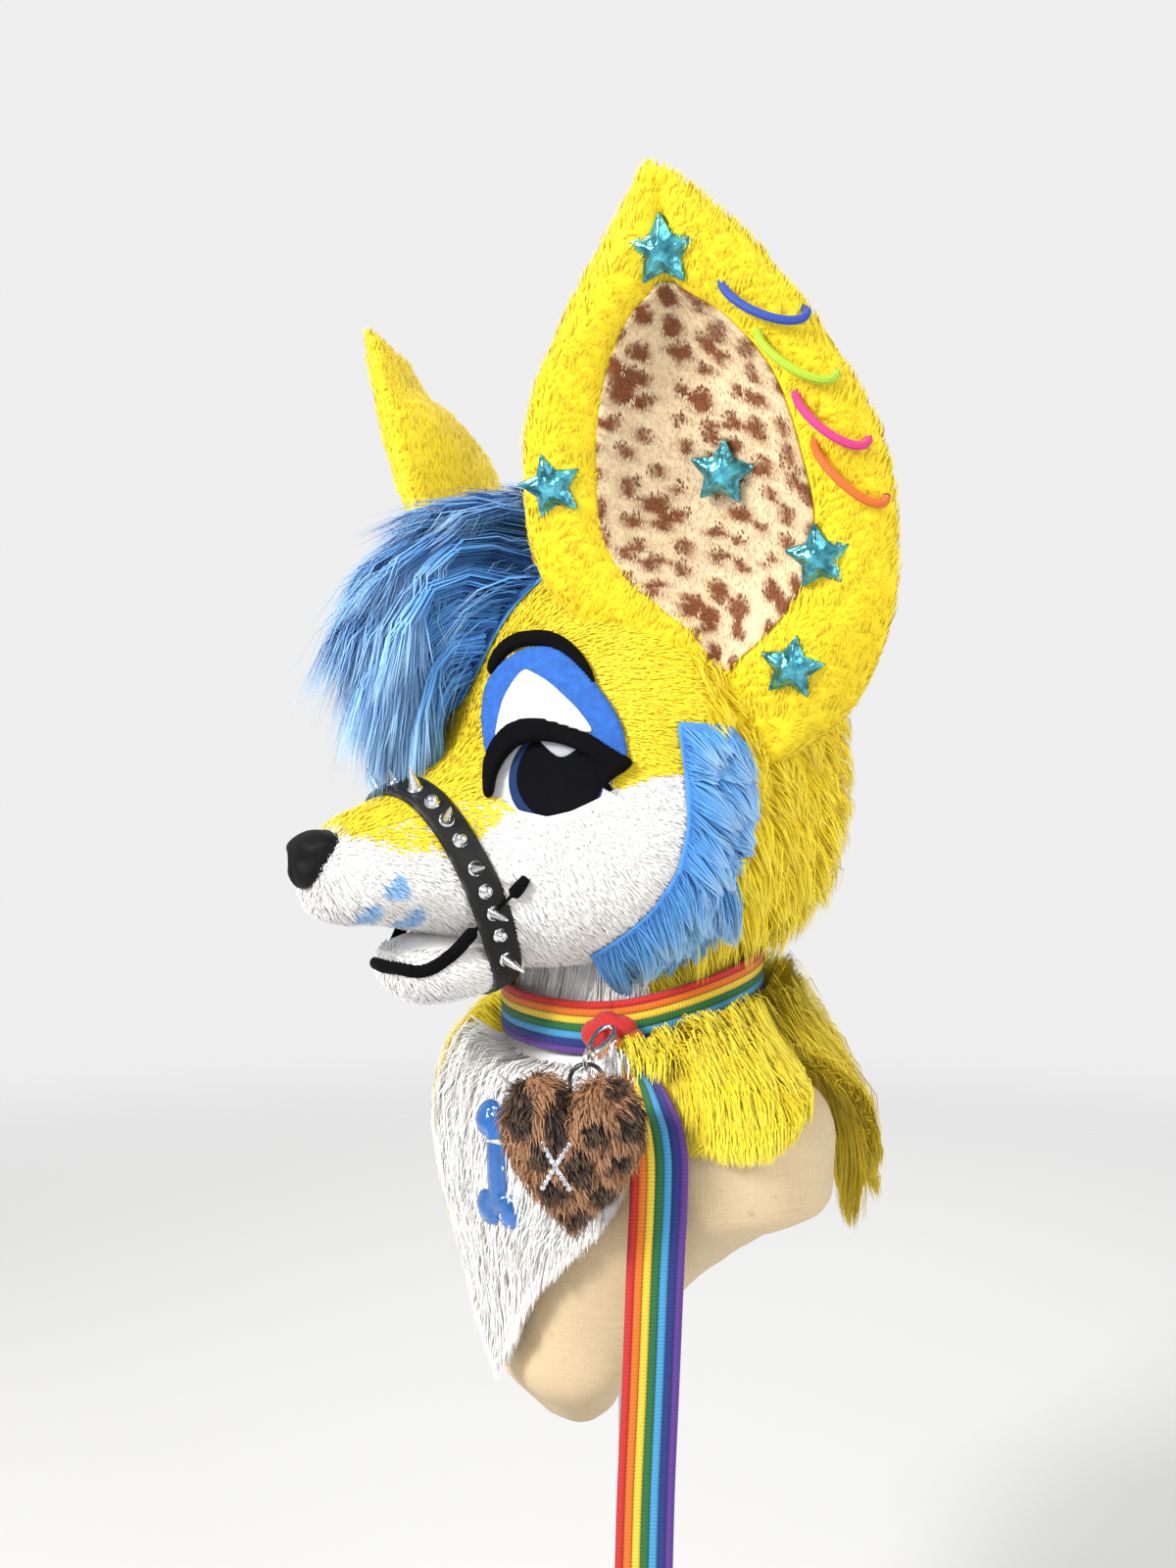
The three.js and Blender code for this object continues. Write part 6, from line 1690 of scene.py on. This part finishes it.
class FURSUIT_OT_yoke(bpy.types.Operator):
    """Neck fur above the band and the yoke of long fur below it"""
    bl_idname = "fursuit.yoke"
    bl_label = "Neck and yoke"

    pieces = [("bib", -38, 60, 12000), ("shoulder_left", 60, 125, 8600), ("yoke_back", 125, 257, 8600),
              ("shoulder_right", -103, -38, 5000)]

    def execute(self, context):
        for name, start, end, count in self.pieces:
            self.yoke_piece(name, start, end, how_many(count))
        for name, start, end, count in (("neck_front", -74, 74, 3800), ("neck_back", 74, 286, 2400)):
            self.neck_piece(name, start, end, how_many(count))
        return {"FINISHED"}

    def finish(self, name, white, grid, normals, paths, facing, width, rng, tone):
        """Strands and the backing under them"""
        material = white_fur() if white else yellow_long()
        fur = strands(name + "_fur", paths, facing, width, material, rng, tone)
        flat, faces = grid.reshape(-1, 3), grid_faces(*grid.shape[:2])
        solid, closed = shell(flat, faces, normals.reshape(-1, 3), 0.0, BACKING)
        piece = mesh_piece(name + "_cloth", solid, outside_out(solid, closed), material,
                           marks=skin_marks(len(solid)))
        dressed(piece, name)

    def yoke_piece(self, name, start, end, count):
        white = name == "bib"
        rng = draws(80 + int(start) % 17)
        share, azimuth = np.meshgrid(np.linspace(0, 0.9, 26),
                                     np.linspace(start, end, int((end - start) / 2.5)), indexing="ij")
        grid, grid_normals = yoke_point(azimuth, share, np.full(azimuth.shape, 0.12))
        grid = self.behind_end(grid, 10)
        place = rng.random((count, 2)) * [end - start, 0.93] + [start, 0.04]
        azimuth, share = place[:, 0], place[:, 1]
        under = (rng.random(count) < 0.14) & (FLARE(azimuth) > 6)
        share = np.where(under, 0.5 + 0.45 * share, share)
        top, _ = yoke_point(azimuth, 0 * share, 0.15 + 0 * share)
        bottom, _ = yoke_point(azimuth, 1 + 0 * share, 0.15 + 0 * share)
        slant = np.linalg.norm(bottom - top, axis=1)
        length = (46.0 if white else 40.0) * rng.uniform(0.7, 1.15, count)
        length = np.maximum(np.minimum(length, (1.05 + 0.1 * rng.random(count) - share) * slant), 6.0)
        turn = rng.normal(0, 2.2, count)
        paths, facing = [], None
        depth_end = rng.uniform(0.5, 1.12, count)
        for t in (0, 1 / 3, 2 / 3, 1):
            along = share + length / slant * t
            depth = mix(0.12, depth_end, min(1.0, 1.7 * t) ** 0.8) * np.clip(0.1 + 2.8 * along, 0, 1)
            depth = np.where(under, 0.05 - 0.2 * t, depth)
            point, normal = yoke_point(azimuth + turn * t, along, depth)
            beyond = np.maximum(along - 1, 0) * slant
            point = point - beyond[:, None] * UP * 0.95 + normal * [1, 1, 0] * beyond[:, None] * 0.12
            paths.append(self.behind_end(point))
            facing = normal if facing is None else facing
        paths, tone = clumped(np.stack(paths, 1), 110, 0.2 if white else 0.4, rng)
        paths, fine = clumped(paths, 16, 0.3 if white else 0.4, rng)
        width = settings("fur").width / MM * 1.15
        self.finish(name, white, grid, grid_normals, paths, facing, width, rng, 0.5 * tone + 0.5 * fine)

    def behind_end(self, points, clear=5):
        """Keep the fur behind the hanging end of the band"""
        rows, out = HANGING_END, outward(63.0)
        side, reach = points @ sideways(63.0), points @ out
        limit = np.interp(-points[..., 2], -rows[:, 1], rows[:, 2]) - clear
        near = np.clip((24 - np.abs(side - 1)) / 8, 0, 1) * (points[..., 2] < -144)
        over = np.maximum(reach - limit, 0) * near
        return points - over[..., None] * out

    def neck_piece(self, name, start, end, count):
        white = name == "neck_front"
        rng = draws(95 + white)

        def neck_point(azimuth, share, out):
            high = FORM.place(-62.0 + 0 * azimuth)
            low = FORM.place(band_height(azimuth) - 13)
            return form_point(mix(high, low, share), around_form(azimuth), out)

        share, azimuth = np.meshgrid(np.linspace(0, 1, 14), np.linspace(start, end, int((end - start) / 3)),
                                     indexing="ij")
        grid, grid_normals = neck_point(azimuth, share, np.full(azimuth.shape, 3.0))
        place = rng.random((count, 2)) * [end - start, 0.95] + [start, 0]
        azimuth, share = place[:, 0], place[:, 1]
        turn, reach = rng.normal(0, 3, count), rng.uniform(0.3, 0.55, count)
        high = rng.uniform(8, 14, count)
        path = []
        for t in (0, 1 / 3, 2 / 3, 1):
            along = share + reach * t
            point, facing = neck_point(azimuth + turn * t, np.clip(along, 0, 1), 3 + (high - 3) * t ** 0.6)
            path.append(point + facing * np.maximum(along - 1, 0)[:, None] * 3)
        paths, tone = clumped(np.stack(path, 1), 30, 0.5, rng)
        self.finish(name, white, grid, grid_normals, paths, facing, settings("fur").width / MM, rng, tone)


class FURSUIT_OT_chest_piece(bpy.types.Operator):
    """Padded glossy bone on the bib"""
    bl_idname = "fursuit.chest_piece"
    bl_label = "Chest piece"

    def execute(self, context):
        azimuth, height, half, lobe = 17.3, -204.4, 34.0, 10.0
        turns = np.radians([-95, -70, -45, -20, 10, 35, 60, 85, 110, 135, 160])
        edge = []
        for end in (1, -1):
            for side in (1, -1):
                for turn in turns if side > 0 else turns[::-1]:
                    edge.append([end * side * (lobe * 0.8 + lobe * math.cos(turn)),
                                 end * (half - lobe + lobe * math.sin(turn))])
        shares = np.linspace(0, 1, 80)
        line, _ = yoke_point(azimuth + 0 * shares, shares, 1 + 0 * shares)
        reach = line @ outward(azimuth)
        (u, v, gap), faces = cut_flat(edge, np.arange(-20, 20.1, 1.1), np.arange(-36, 36.1, 1.1))
        order = np.argsort(line[:, 2])
        depth = np.interp(height + v, line[order, 2], reach[order]) - u ** 2 / 190
        base = outward(azimuth) * depth[:, None] + sideways(azimuth) * u[:, None] + UP * (height + v)[:, None]
        seam = np.exp(-((gap - 2.2) / 0.7) ** 2)
        lift = 0.8 + 3.9 * np.sqrt(np.clip(gap / 6.0, 0, 1)) - 1.1 * seam
        lean = unit(outward(azimuth) + 0.25 * UP)
        solid, faces = shell(base, faces, np.tile(lean, (len(base), 1)), -1.0, lift)
        made, tree, shader = new_material("glossy_vinyl", 0.16, Coat_Weight=1.0, Coat_Roughness=0.05)
        crease = noise(tree, place_of(tree), 110.0, 3.0)
        base = settings("trim").vinyl
        # Colour follows the crinkle bump: a darker copy in its hollows, a painted shade
        tint(tree, shader, spread(tree, crease, 0.3, 0.7), colour(base, 0.55), colour(base))
        bump(tree, shader, crease, 0.0014)
        bone = mesh_piece("bone_pad", solid, outside_out(solid, faces), made)
        dressed(bone, "chest_applique")
        return {"FINISHED"}


def webbing():
    """Knitted webbing whose seven stripes run along it; the place mark is along and across in millimetres"""
    if "knitted_stripes" in bpy.data.materials:
        return bpy.data.materials["knitted_stripes"]
    made, tree, shader = new_material("knitted_stripes", 0.8, Sheen_Weight=0.2)
    flat = node(tree, "ShaderNodeSeparateXYZ", {0: mark(tree, "place", "Vector")})
    along, across = flat.outputs[0], flat.outputs[1]
    wobble = maths(tree, "MULTIPLY", maths(tree, "SINE", maths(tree, "MULTIPLY", along, 3.0)), 0.006)
    place = maths(tree, "ADD", maths(tree, "DIVIDE", across, BAND_WIDTH), wobble)
    ramp = node(tree, "ShaderNodeValToRGB", {0: place})
    ramp.color_ramp.interpolation = "CONSTANT"
    for k in range(7):
        if k > 1:
            ramp.color_ramp.elements.new(k / 7)
        ramp.color_ramp.elements[k].position = k / 7
    for k in range(7):
        ramp.color_ramp.elements[k].color = colour(getattr(settings("trim"), "stripe_%d" % (k + 1)))
    wave = maths(tree, "SINE", maths(tree, "MULTIPLY", across, math.pi * 7 / BAND_WIDTH))
    rib = maths(tree, "ABSOLUTE", wave)
    slope = maths(tree, "ADD", maths(tree, "MULTIPLY", along, 3.4), maths(tree, "MULTIPLY", rib, 1.6))
    stitch = spread(tree, maths(tree, "SINE", slope), -1.0, 1.0)
    height = maths(tree, "MULTIPLY", maths(tree, "POWER", rib, 0.5),
                   maths(tree, "ADD", 0.6, maths(tree, "MULTIPLY", stitch, 0.4)))
    # The knit's low places take a darker copy of the stripe colour: painted shade between the ribs
    dark = blend(tree, 1.0, ramp.outputs[0], (0.45, 0.45, 0.45, 1), "MULTIPLY")
    tint(tree, shader, spread(tree, height, 0.2, 0.75), dark, ramp.outputs[0])
    bump(tree, shader, height, 0.0007)
    return made


def strip(name, grid, normals, along, stands_for):
    """A closed strip of webbing from rows of points, with one normal for each row"""
    rows, columns = grid.shape[:2]
    edge = np.tile(np.abs(np.linspace(-1, 1, columns)), rows)
    high = BAND_THICKNESS * (1 - 0.35 * edge ** 8)
    solid, faces = shell(grid.reshape(-1, 3), grid_faces(rows, columns), np.repeat(normals, columns, 0),
                         0.0, high)
    across = np.tile(np.linspace(0.2, BAND_WIDTH - 0.2, columns), rows)
    place = np.stack([np.repeat(along, columns), across, 0 * across], -1)
    piece = mesh_piece(name, solid, outside_out(solid, faces), webbing(),
                       marks={"place": np.vstack([place, place])})
    dressed(piece, stands_for)
    return piece


class FURSUIT_OT_band(bpy.types.Operator):
    """Webbing band round the neck, its knot and its hanging end"""
    bl_idname = "fursuit.band"
    bl_label = "Band, knot and hanging end"

    def execute(self, context):
        azimuth = np.linspace(KNOT_AZIMUTH, KNOT_AZIMUTH + 360, 161)
        level = band_height(azimuth)
        grid = np.stack([outward(azimuth) * (BAND_RADIUS + 0.25 * o * o)
                         + UP * (level + o * BAND_WIDTH / 2)[:, None] for o in np.linspace(1, -1, 15)], 1)
        along = np.r_[0, np.cumsum(np.linalg.norm(np.diff(grid[:, 7], axis=0), axis=1))]
        band = strip("neck_band", grid, outward(azimuth), along, "collar_band")
        self.hanging_end()
        self.knot()
        return {"FINISHED"}

    def hanging_end(self):
        rows = HANGING_END
        place = np.r_[0, np.cumsum(np.hypot(np.diff(rows[:, 1]), np.diff(rows[:, 2])))]
        length = np.linspace(0, place[-1], 170)
        azimuth, height, reach, width = (Curve(place, rows[:, c])(length) for c in range(4))
        line = outward(azimuth) * reach[:, None] + UP * height[:, None]
        fold = 1 - width / BAND_WIDTH
        sway = 1.6 * np.sin(length / 58) * np.clip((length - 60) / 120, 0, 1)
        twist = 1.2 * np.sin(length / 41) * np.clip(length / 150, 0, 1)
        grid = np.stack([line + sideways(azimuth) * (o * width / 2)[:, None]
                         + outward(azimuth) * (sway + o * twist + 6 * fold * np.cos(o * 5.5))[:, None]
                         for o in np.linspace(-1, 1, 15)], 1)
        normals = unit(np.cross(np.gradient(grid[:, 7], axis=0), sideways(azimuth)))
        normals *= np.sign((normals * outward(azimuth)).sum(-1, keepdims=True))
        end = strip("band_end", grid, normals, length, "hanging_end")

    def knot(self):
        centre = outward(KNOT_AZIMUTH) * KNOT_REACH + UP * (band_height(KNOT_AZIMUTH) - 4)
        rows, columns = 40, 60
        lat = np.linspace(0.02, np.pi - 0.02, rows)[:, None]
        lon = 2 * np.pi * np.arange(columns) / columns
        u, v, w = np.sin(lat) * np.cos(lon), np.cos(lat) + 0 * lon, np.sin(lat) * np.sin(lon)
        twist = 2.3 * u + 2.6 * v + 0.5 * np.sin(3 * u)
        crease = np.abs(np.sin(twist * 0.95)) ** 0.6
        size = 0.86 + 0.16 * crease + 0.03 * np.sin(3 * v + 2 * u)
        points = (centre + (u * size)[..., None] * sideways(KNOT_AZIMUTH) * 17
                  + (v * size)[..., None] * UP * 13.5
                  + (w * size)[..., None] * outward(KNOT_AZIMUTH) * 7.5)
        start, finish = points[0].mean(0), points[-1].mean(0)
        across = np.clip(1.5 + 4.5 * (0.5 - 0.5 * v) + 1.5 * u, 0.5, 8)
        along = 20 * np.arctan2(w, u) + 12 * v
        place = np.vstack([np.stack([along, across, 0 * across], -1).reshape(-1, 3), [[0, 3, 0], [0, 12, 0]]])
        points, faces = loft(points, start, finish)
        knot = mesh_piece("band_knot", points, outside_out(points, faces), webbing(), marks={"place": place})
        dressed(knot, "collar_knot")


# Clasp and charm, in the frame of the charm's azimuth
CHARM = {"azimuth": 48.0, "reach": 160.0, "height": -182.0, "width": 72.0, "tall": 82.0, "thick": 38.0}
SWIVEL = {"reach": 126.0, "height": -146.0, "wire": 1.3, "eye": 5.0, "ring": 9.0}


class FURSUIT_OT_charm(bpy.types.Operator):
    """Lobster clasp, ring, chain and the fur heart with its spikes"""
    bl_idname = "fursuit.charm"
    bl_label = "Clasp and heart charm"

    spikes = [(-0.75, 0.7, 0.1, 14), (-1, 0.05, 0.1, 13), (-0.35, -1, 0.1, 13), (0.25, -1, 0.1, 13),
              (0.6, 0.75, 0.5, 9)]

    def execute(self, context):
        out, side = outward(CHARM["azimuth"]), sideways(CHARM["azimuth"])
        swivel = out * SWIVEL["reach"] + UP * SWIVEL["height"]
        eye = swivel + UP * SWIVEL["eye"]
        knot = outward(KNOT_AZIMUTH) * KNOT_REACH + UP * (band_height(KNOT_AZIMUTH) - 4)
        end = knot + outward(KNOT_AZIMUTH) * 5.5 + UP * 7
        start = eye - out * SWIVEL["eye"]
        axis = end - start
        length = np.linalg.norm(axis)
        axis = axis / length
        flank = unit(np.cross(axis, UP))
        t = np.linspace(0, 2 * np.pi, 60, endpoint=False)
        centre = start + axis * length * 0.56
        wide = 4.6 * (1 + 0.25 * np.cos(t))
        hook = centre + np.cos(t)[:, None] * axis * length * 0.40 + (np.sin(t) * wide)[:, None] * flank
        lever = [centre + axis * a * length + flank * b for a, b in ((0.30, 2.5), (0.1, 7.2), (-0.05, 8.4))]
        bodies = [
            tube(hook, 1.5 + 0.7 * np.maximum(-np.cos(t), 0), 10, closed=True, toward=np.cross(axis, flank)),
            tube([start + axis * 0.6, start + axis * length * 0.2], 2.4, 14),
            tube(rounded_outline(lever, 4, closed=False), 0.9, 8),
            tube(circle(eye, out, UP, SWIVEL["eye"], 40), SWIVEL["wire"], 10, closed=True, toward=side),
        ]
        dressed(mesh_piece("lobster_clasp", *joined(*bodies), charm_metal()), "clasp")

        ring = swivel + UP * (2 * SWIVEL["wire"] + 0.3 - SWIVEL["ring"])
        link = ring - UP * (SWIVEL["ring"] + 3) + out * 8
        dark = metal_material("dark_ring", (0.10, 0.10, 0.11), 0.25)
        points, faces = joined(
            tube(circle(ring, side, UP, SWIVEL["ring"], 56), 1.15, 10, closed=True, toward=out),
            tube(circle(ring + out * 1.4, side, UP, SWIVEL["ring"], 56), 0.7, 8, closed=True, toward=out),
        )
        dressed(mesh_piece("split_ring", points, faces, dark, "charm"), "charm_chain")
        links = []
        first, last = swivel - UP * 2.5 - side * 3 + out * 2, link - UP * 1.0 - side * 8 + out * 6
        count = 6
        for k in range(count):
            middle = mix(first, last, k / (count - 1))
            run = unit(last - first)
            face = unit(np.cross(run, out)) if k % 2 else unit(np.cross(run, np.cross(run, out)))
            path = circle(middle, run * 3.1, face * 1.9, 1.0, 28)
            links.append(tube(path, 0.62, 7, closed=True, toward=np.cross(run, face)))
        points, faces = joined(*links, tube(circle(link, out, UP, 8.5, 44), 1.0, 9, closed=True, toward=side))
        dressed(mesh_piece("charm_links", points, faces, charm_metal(), "charm"))
        self.heart(out, side)
        return {"FINISHED"}

    def heart(self, out, side):
        rng = draws(120)
        centre = out * CHARM["reach"] + UP * CHARM["height"]
        t = 2 * np.pi * np.arange(80) / 80
        across = (np.sign(np.sin(t)) * np.abs(np.sin(t)) ** np.where(np.cos(t) > 0, 3, 1.9)
                  * CHARM["width"] / 2)
        rise = ((13 * np.cos(t) - 5 * np.cos(2 * t) - 2 * np.cos(3 * t) - np.cos(4 * t)) / 14.5
                * CHARM["tall"] / 2 + 6)
        rise = np.where(rise < -14, -14 + (rise + 14) * 0.86, rise)
        angle = np.radians(np.linspace(-84, 84, 31))
        rings = []
        for a in angle:
            size = math.cos(a) ** 0.6 * 0.95
            pinch = 1 - 0.10 * math.sin(a) ** 2
            rings.append(centre + side * (across * size)[:, None] + UP * (mix(4, rise, size * pinch))[:, None]
                         + out * math.sin(a) * (CHARM["thick"] / 2 - 2.0))
        points, faces = loft(np.array(rings))
        faces = outside_out(points, faces)
        table = np.hstack([points, vertex_normals(points, faces)])

        def spots(table):
            rel = table[:, :3] - centre
            return spot_paint(np.stack([rel @ side, rel @ (UP + 0.6 * out)], -1), 19.0, 8.6, 9)

        # Its roots carry a strong painted shade: the dark root colour multiplied in by the depth share
        made = fur_material("leopard_pile", (0.42, 0.21, 0.105), (0.30, 0.13, 0.06), (0.66, 0.40, 0.23),
                            (0.020, 0.012, 0.010), 0.8, 0.35, 0.25)
        piece = mesh_piece("heart_skin", table, faces, made, "charm",
                           marks=skin_marks(len(table), spots(table)))
        roots = scatter(table, faces, how_many(7500), rng)
        fur = combed_fur("heart_fur", roots, side * 0.3 - UP, 9 * rng.uniform(0.6, 1.2, len(roots)),
                         (0.5, 0.1, 0.3, 2), (26, 0.4), settings("fur").width / MM * 0.9, made, rng,
                         spots(roots), "charm")
        dressed(piece, "charm_heart")
        bodies = []
        for a, b, c, length in self.spikes:
            direction = unit(side * a + UP * b + out * c)
            k = np.abs(np.arctan2(across, rise - 2) - math.atan2(a, b)).argmin()
            foot = centre + side * across[k] * 0.9 + UP * rise[k] * 0.9
            profile = [(2.6, -2), (2.5, 0.5), (1.5, 0.45 * length), (0.7, 0.85 * length), (0.12, length + 3)]
            bodies.append(turned(profile, foot, direction, out + 0.1, 16))
        dressed(mesh_piece("heart_spikes", *joined(*bodies), charm_metal(), "charm"))
        self.cross(centre, out, side)

    stone = [(1.5, -0.4), (1.5, 0.2), (1.0, 0.9)]

    def cross(self, centre, out, side):
        """Crossed bars of small set stones on the front of the heart"""
        stones, bars = [], []
        front = centre + out * (CHARM["thick"] / 2 + 0.8) - UP * 2 - side * 4
        for sign in (1, -1):
            run = unit(side * 0.62 + UP * sign)
            bow = [front + run * 13 * end - out * 2.2 * abs(end) for end in (-1, 0, 1)]
            bars.append(tube(rounded_outline(bow, 8, closed=False), 1.3, 8))
            for k in np.linspace(-1, 1, 9):
                middle = front + run * 12.5 * k + out * (1.2 - 2.2 * k * k)
                stones.append(turned(self.stone, middle, out, np.cross(run, out), 8))
        bar = mesh_piece("heart_bars", *joined(*bars), charm_metal(), "charm")
        made, tree, shader = new_material("stones", 0.05, Metallic=0.35, Coat_Weight=1.0, Coat_Roughness=0.02)
        cell = node(tree, "ShaderNodeTexVoronoi", {"Vector": place_of(tree), "Scale": 420.0})
        tint(tree, shader, spread(tree, cell.outputs[0], 0.1, 0.7), (0.95, 0.96, 1.0, 1),
             (0.45, 0.47, 0.52, 1))
        gems = mesh_piece("heart_stones", *joined(*stones), made, "charm", smooth=False)
        dressed(bar)


OPERATORS = [FURSUIT_OT_stage, FURSUIT_OT_stand, FURSUIT_OT_head, FURSUIT_OT_eyes, FURSUIT_OT_strap,
             FURSUIT_OT_ears, FURSUIT_OT_hair, FURSUIT_OT_yoke, FURSUIT_OT_chest_piece, FURSUIT_OT_band,
             FURSUIT_OT_charm]
SETTINGS = {"fur": FurSettings, "trim": TrimSettings, "stand": StandSettings, "stage": StageSettings}


class FURSUIT_PT_panel(bpy.types.Panel):
    bl_label = "Partial fursuit"
    bl_idname = "FURSUIT_PT_panel"
    bl_space_type = "VIEW_3D"
    bl_region_type = "UI"
    bl_category = "Fursuit"

    def draw(self, context):
        for key, kind in SETTINGS.items():
            box = self.layout.box()
            box.label(text=key.capitalize())
            for name in kind.__annotations__:
                box.prop(settings(key), name)
        for operator in OPERATORS:
            self.layout.operator(operator.bl_idname)


def register():
    for made in [*SETTINGS.values(), *OPERATORS, FURSUIT_PT_panel]:
        bpy.utils.register_class(made)
    for key, kind in SETTINGS.items():
        setattr(bpy.types.Scene, "fursuit_" + key, PointerProperty(type=kind))


def unregister():
    for key in SETTINGS:
        delattr(bpy.types.Scene, "fursuit_" + key)
    for made in reversed([*SETTINGS.values(), *OPERATORS, FURSUIT_PT_panel]):
        bpy.utils.unregister_class(made)


def main():
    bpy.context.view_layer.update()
    register()
    for operator in OPERATORS:
        getattr(bpy.ops.fursuit, operator.bl_idname.split(".")[1])()


if __name__ == "__main__":
    main()
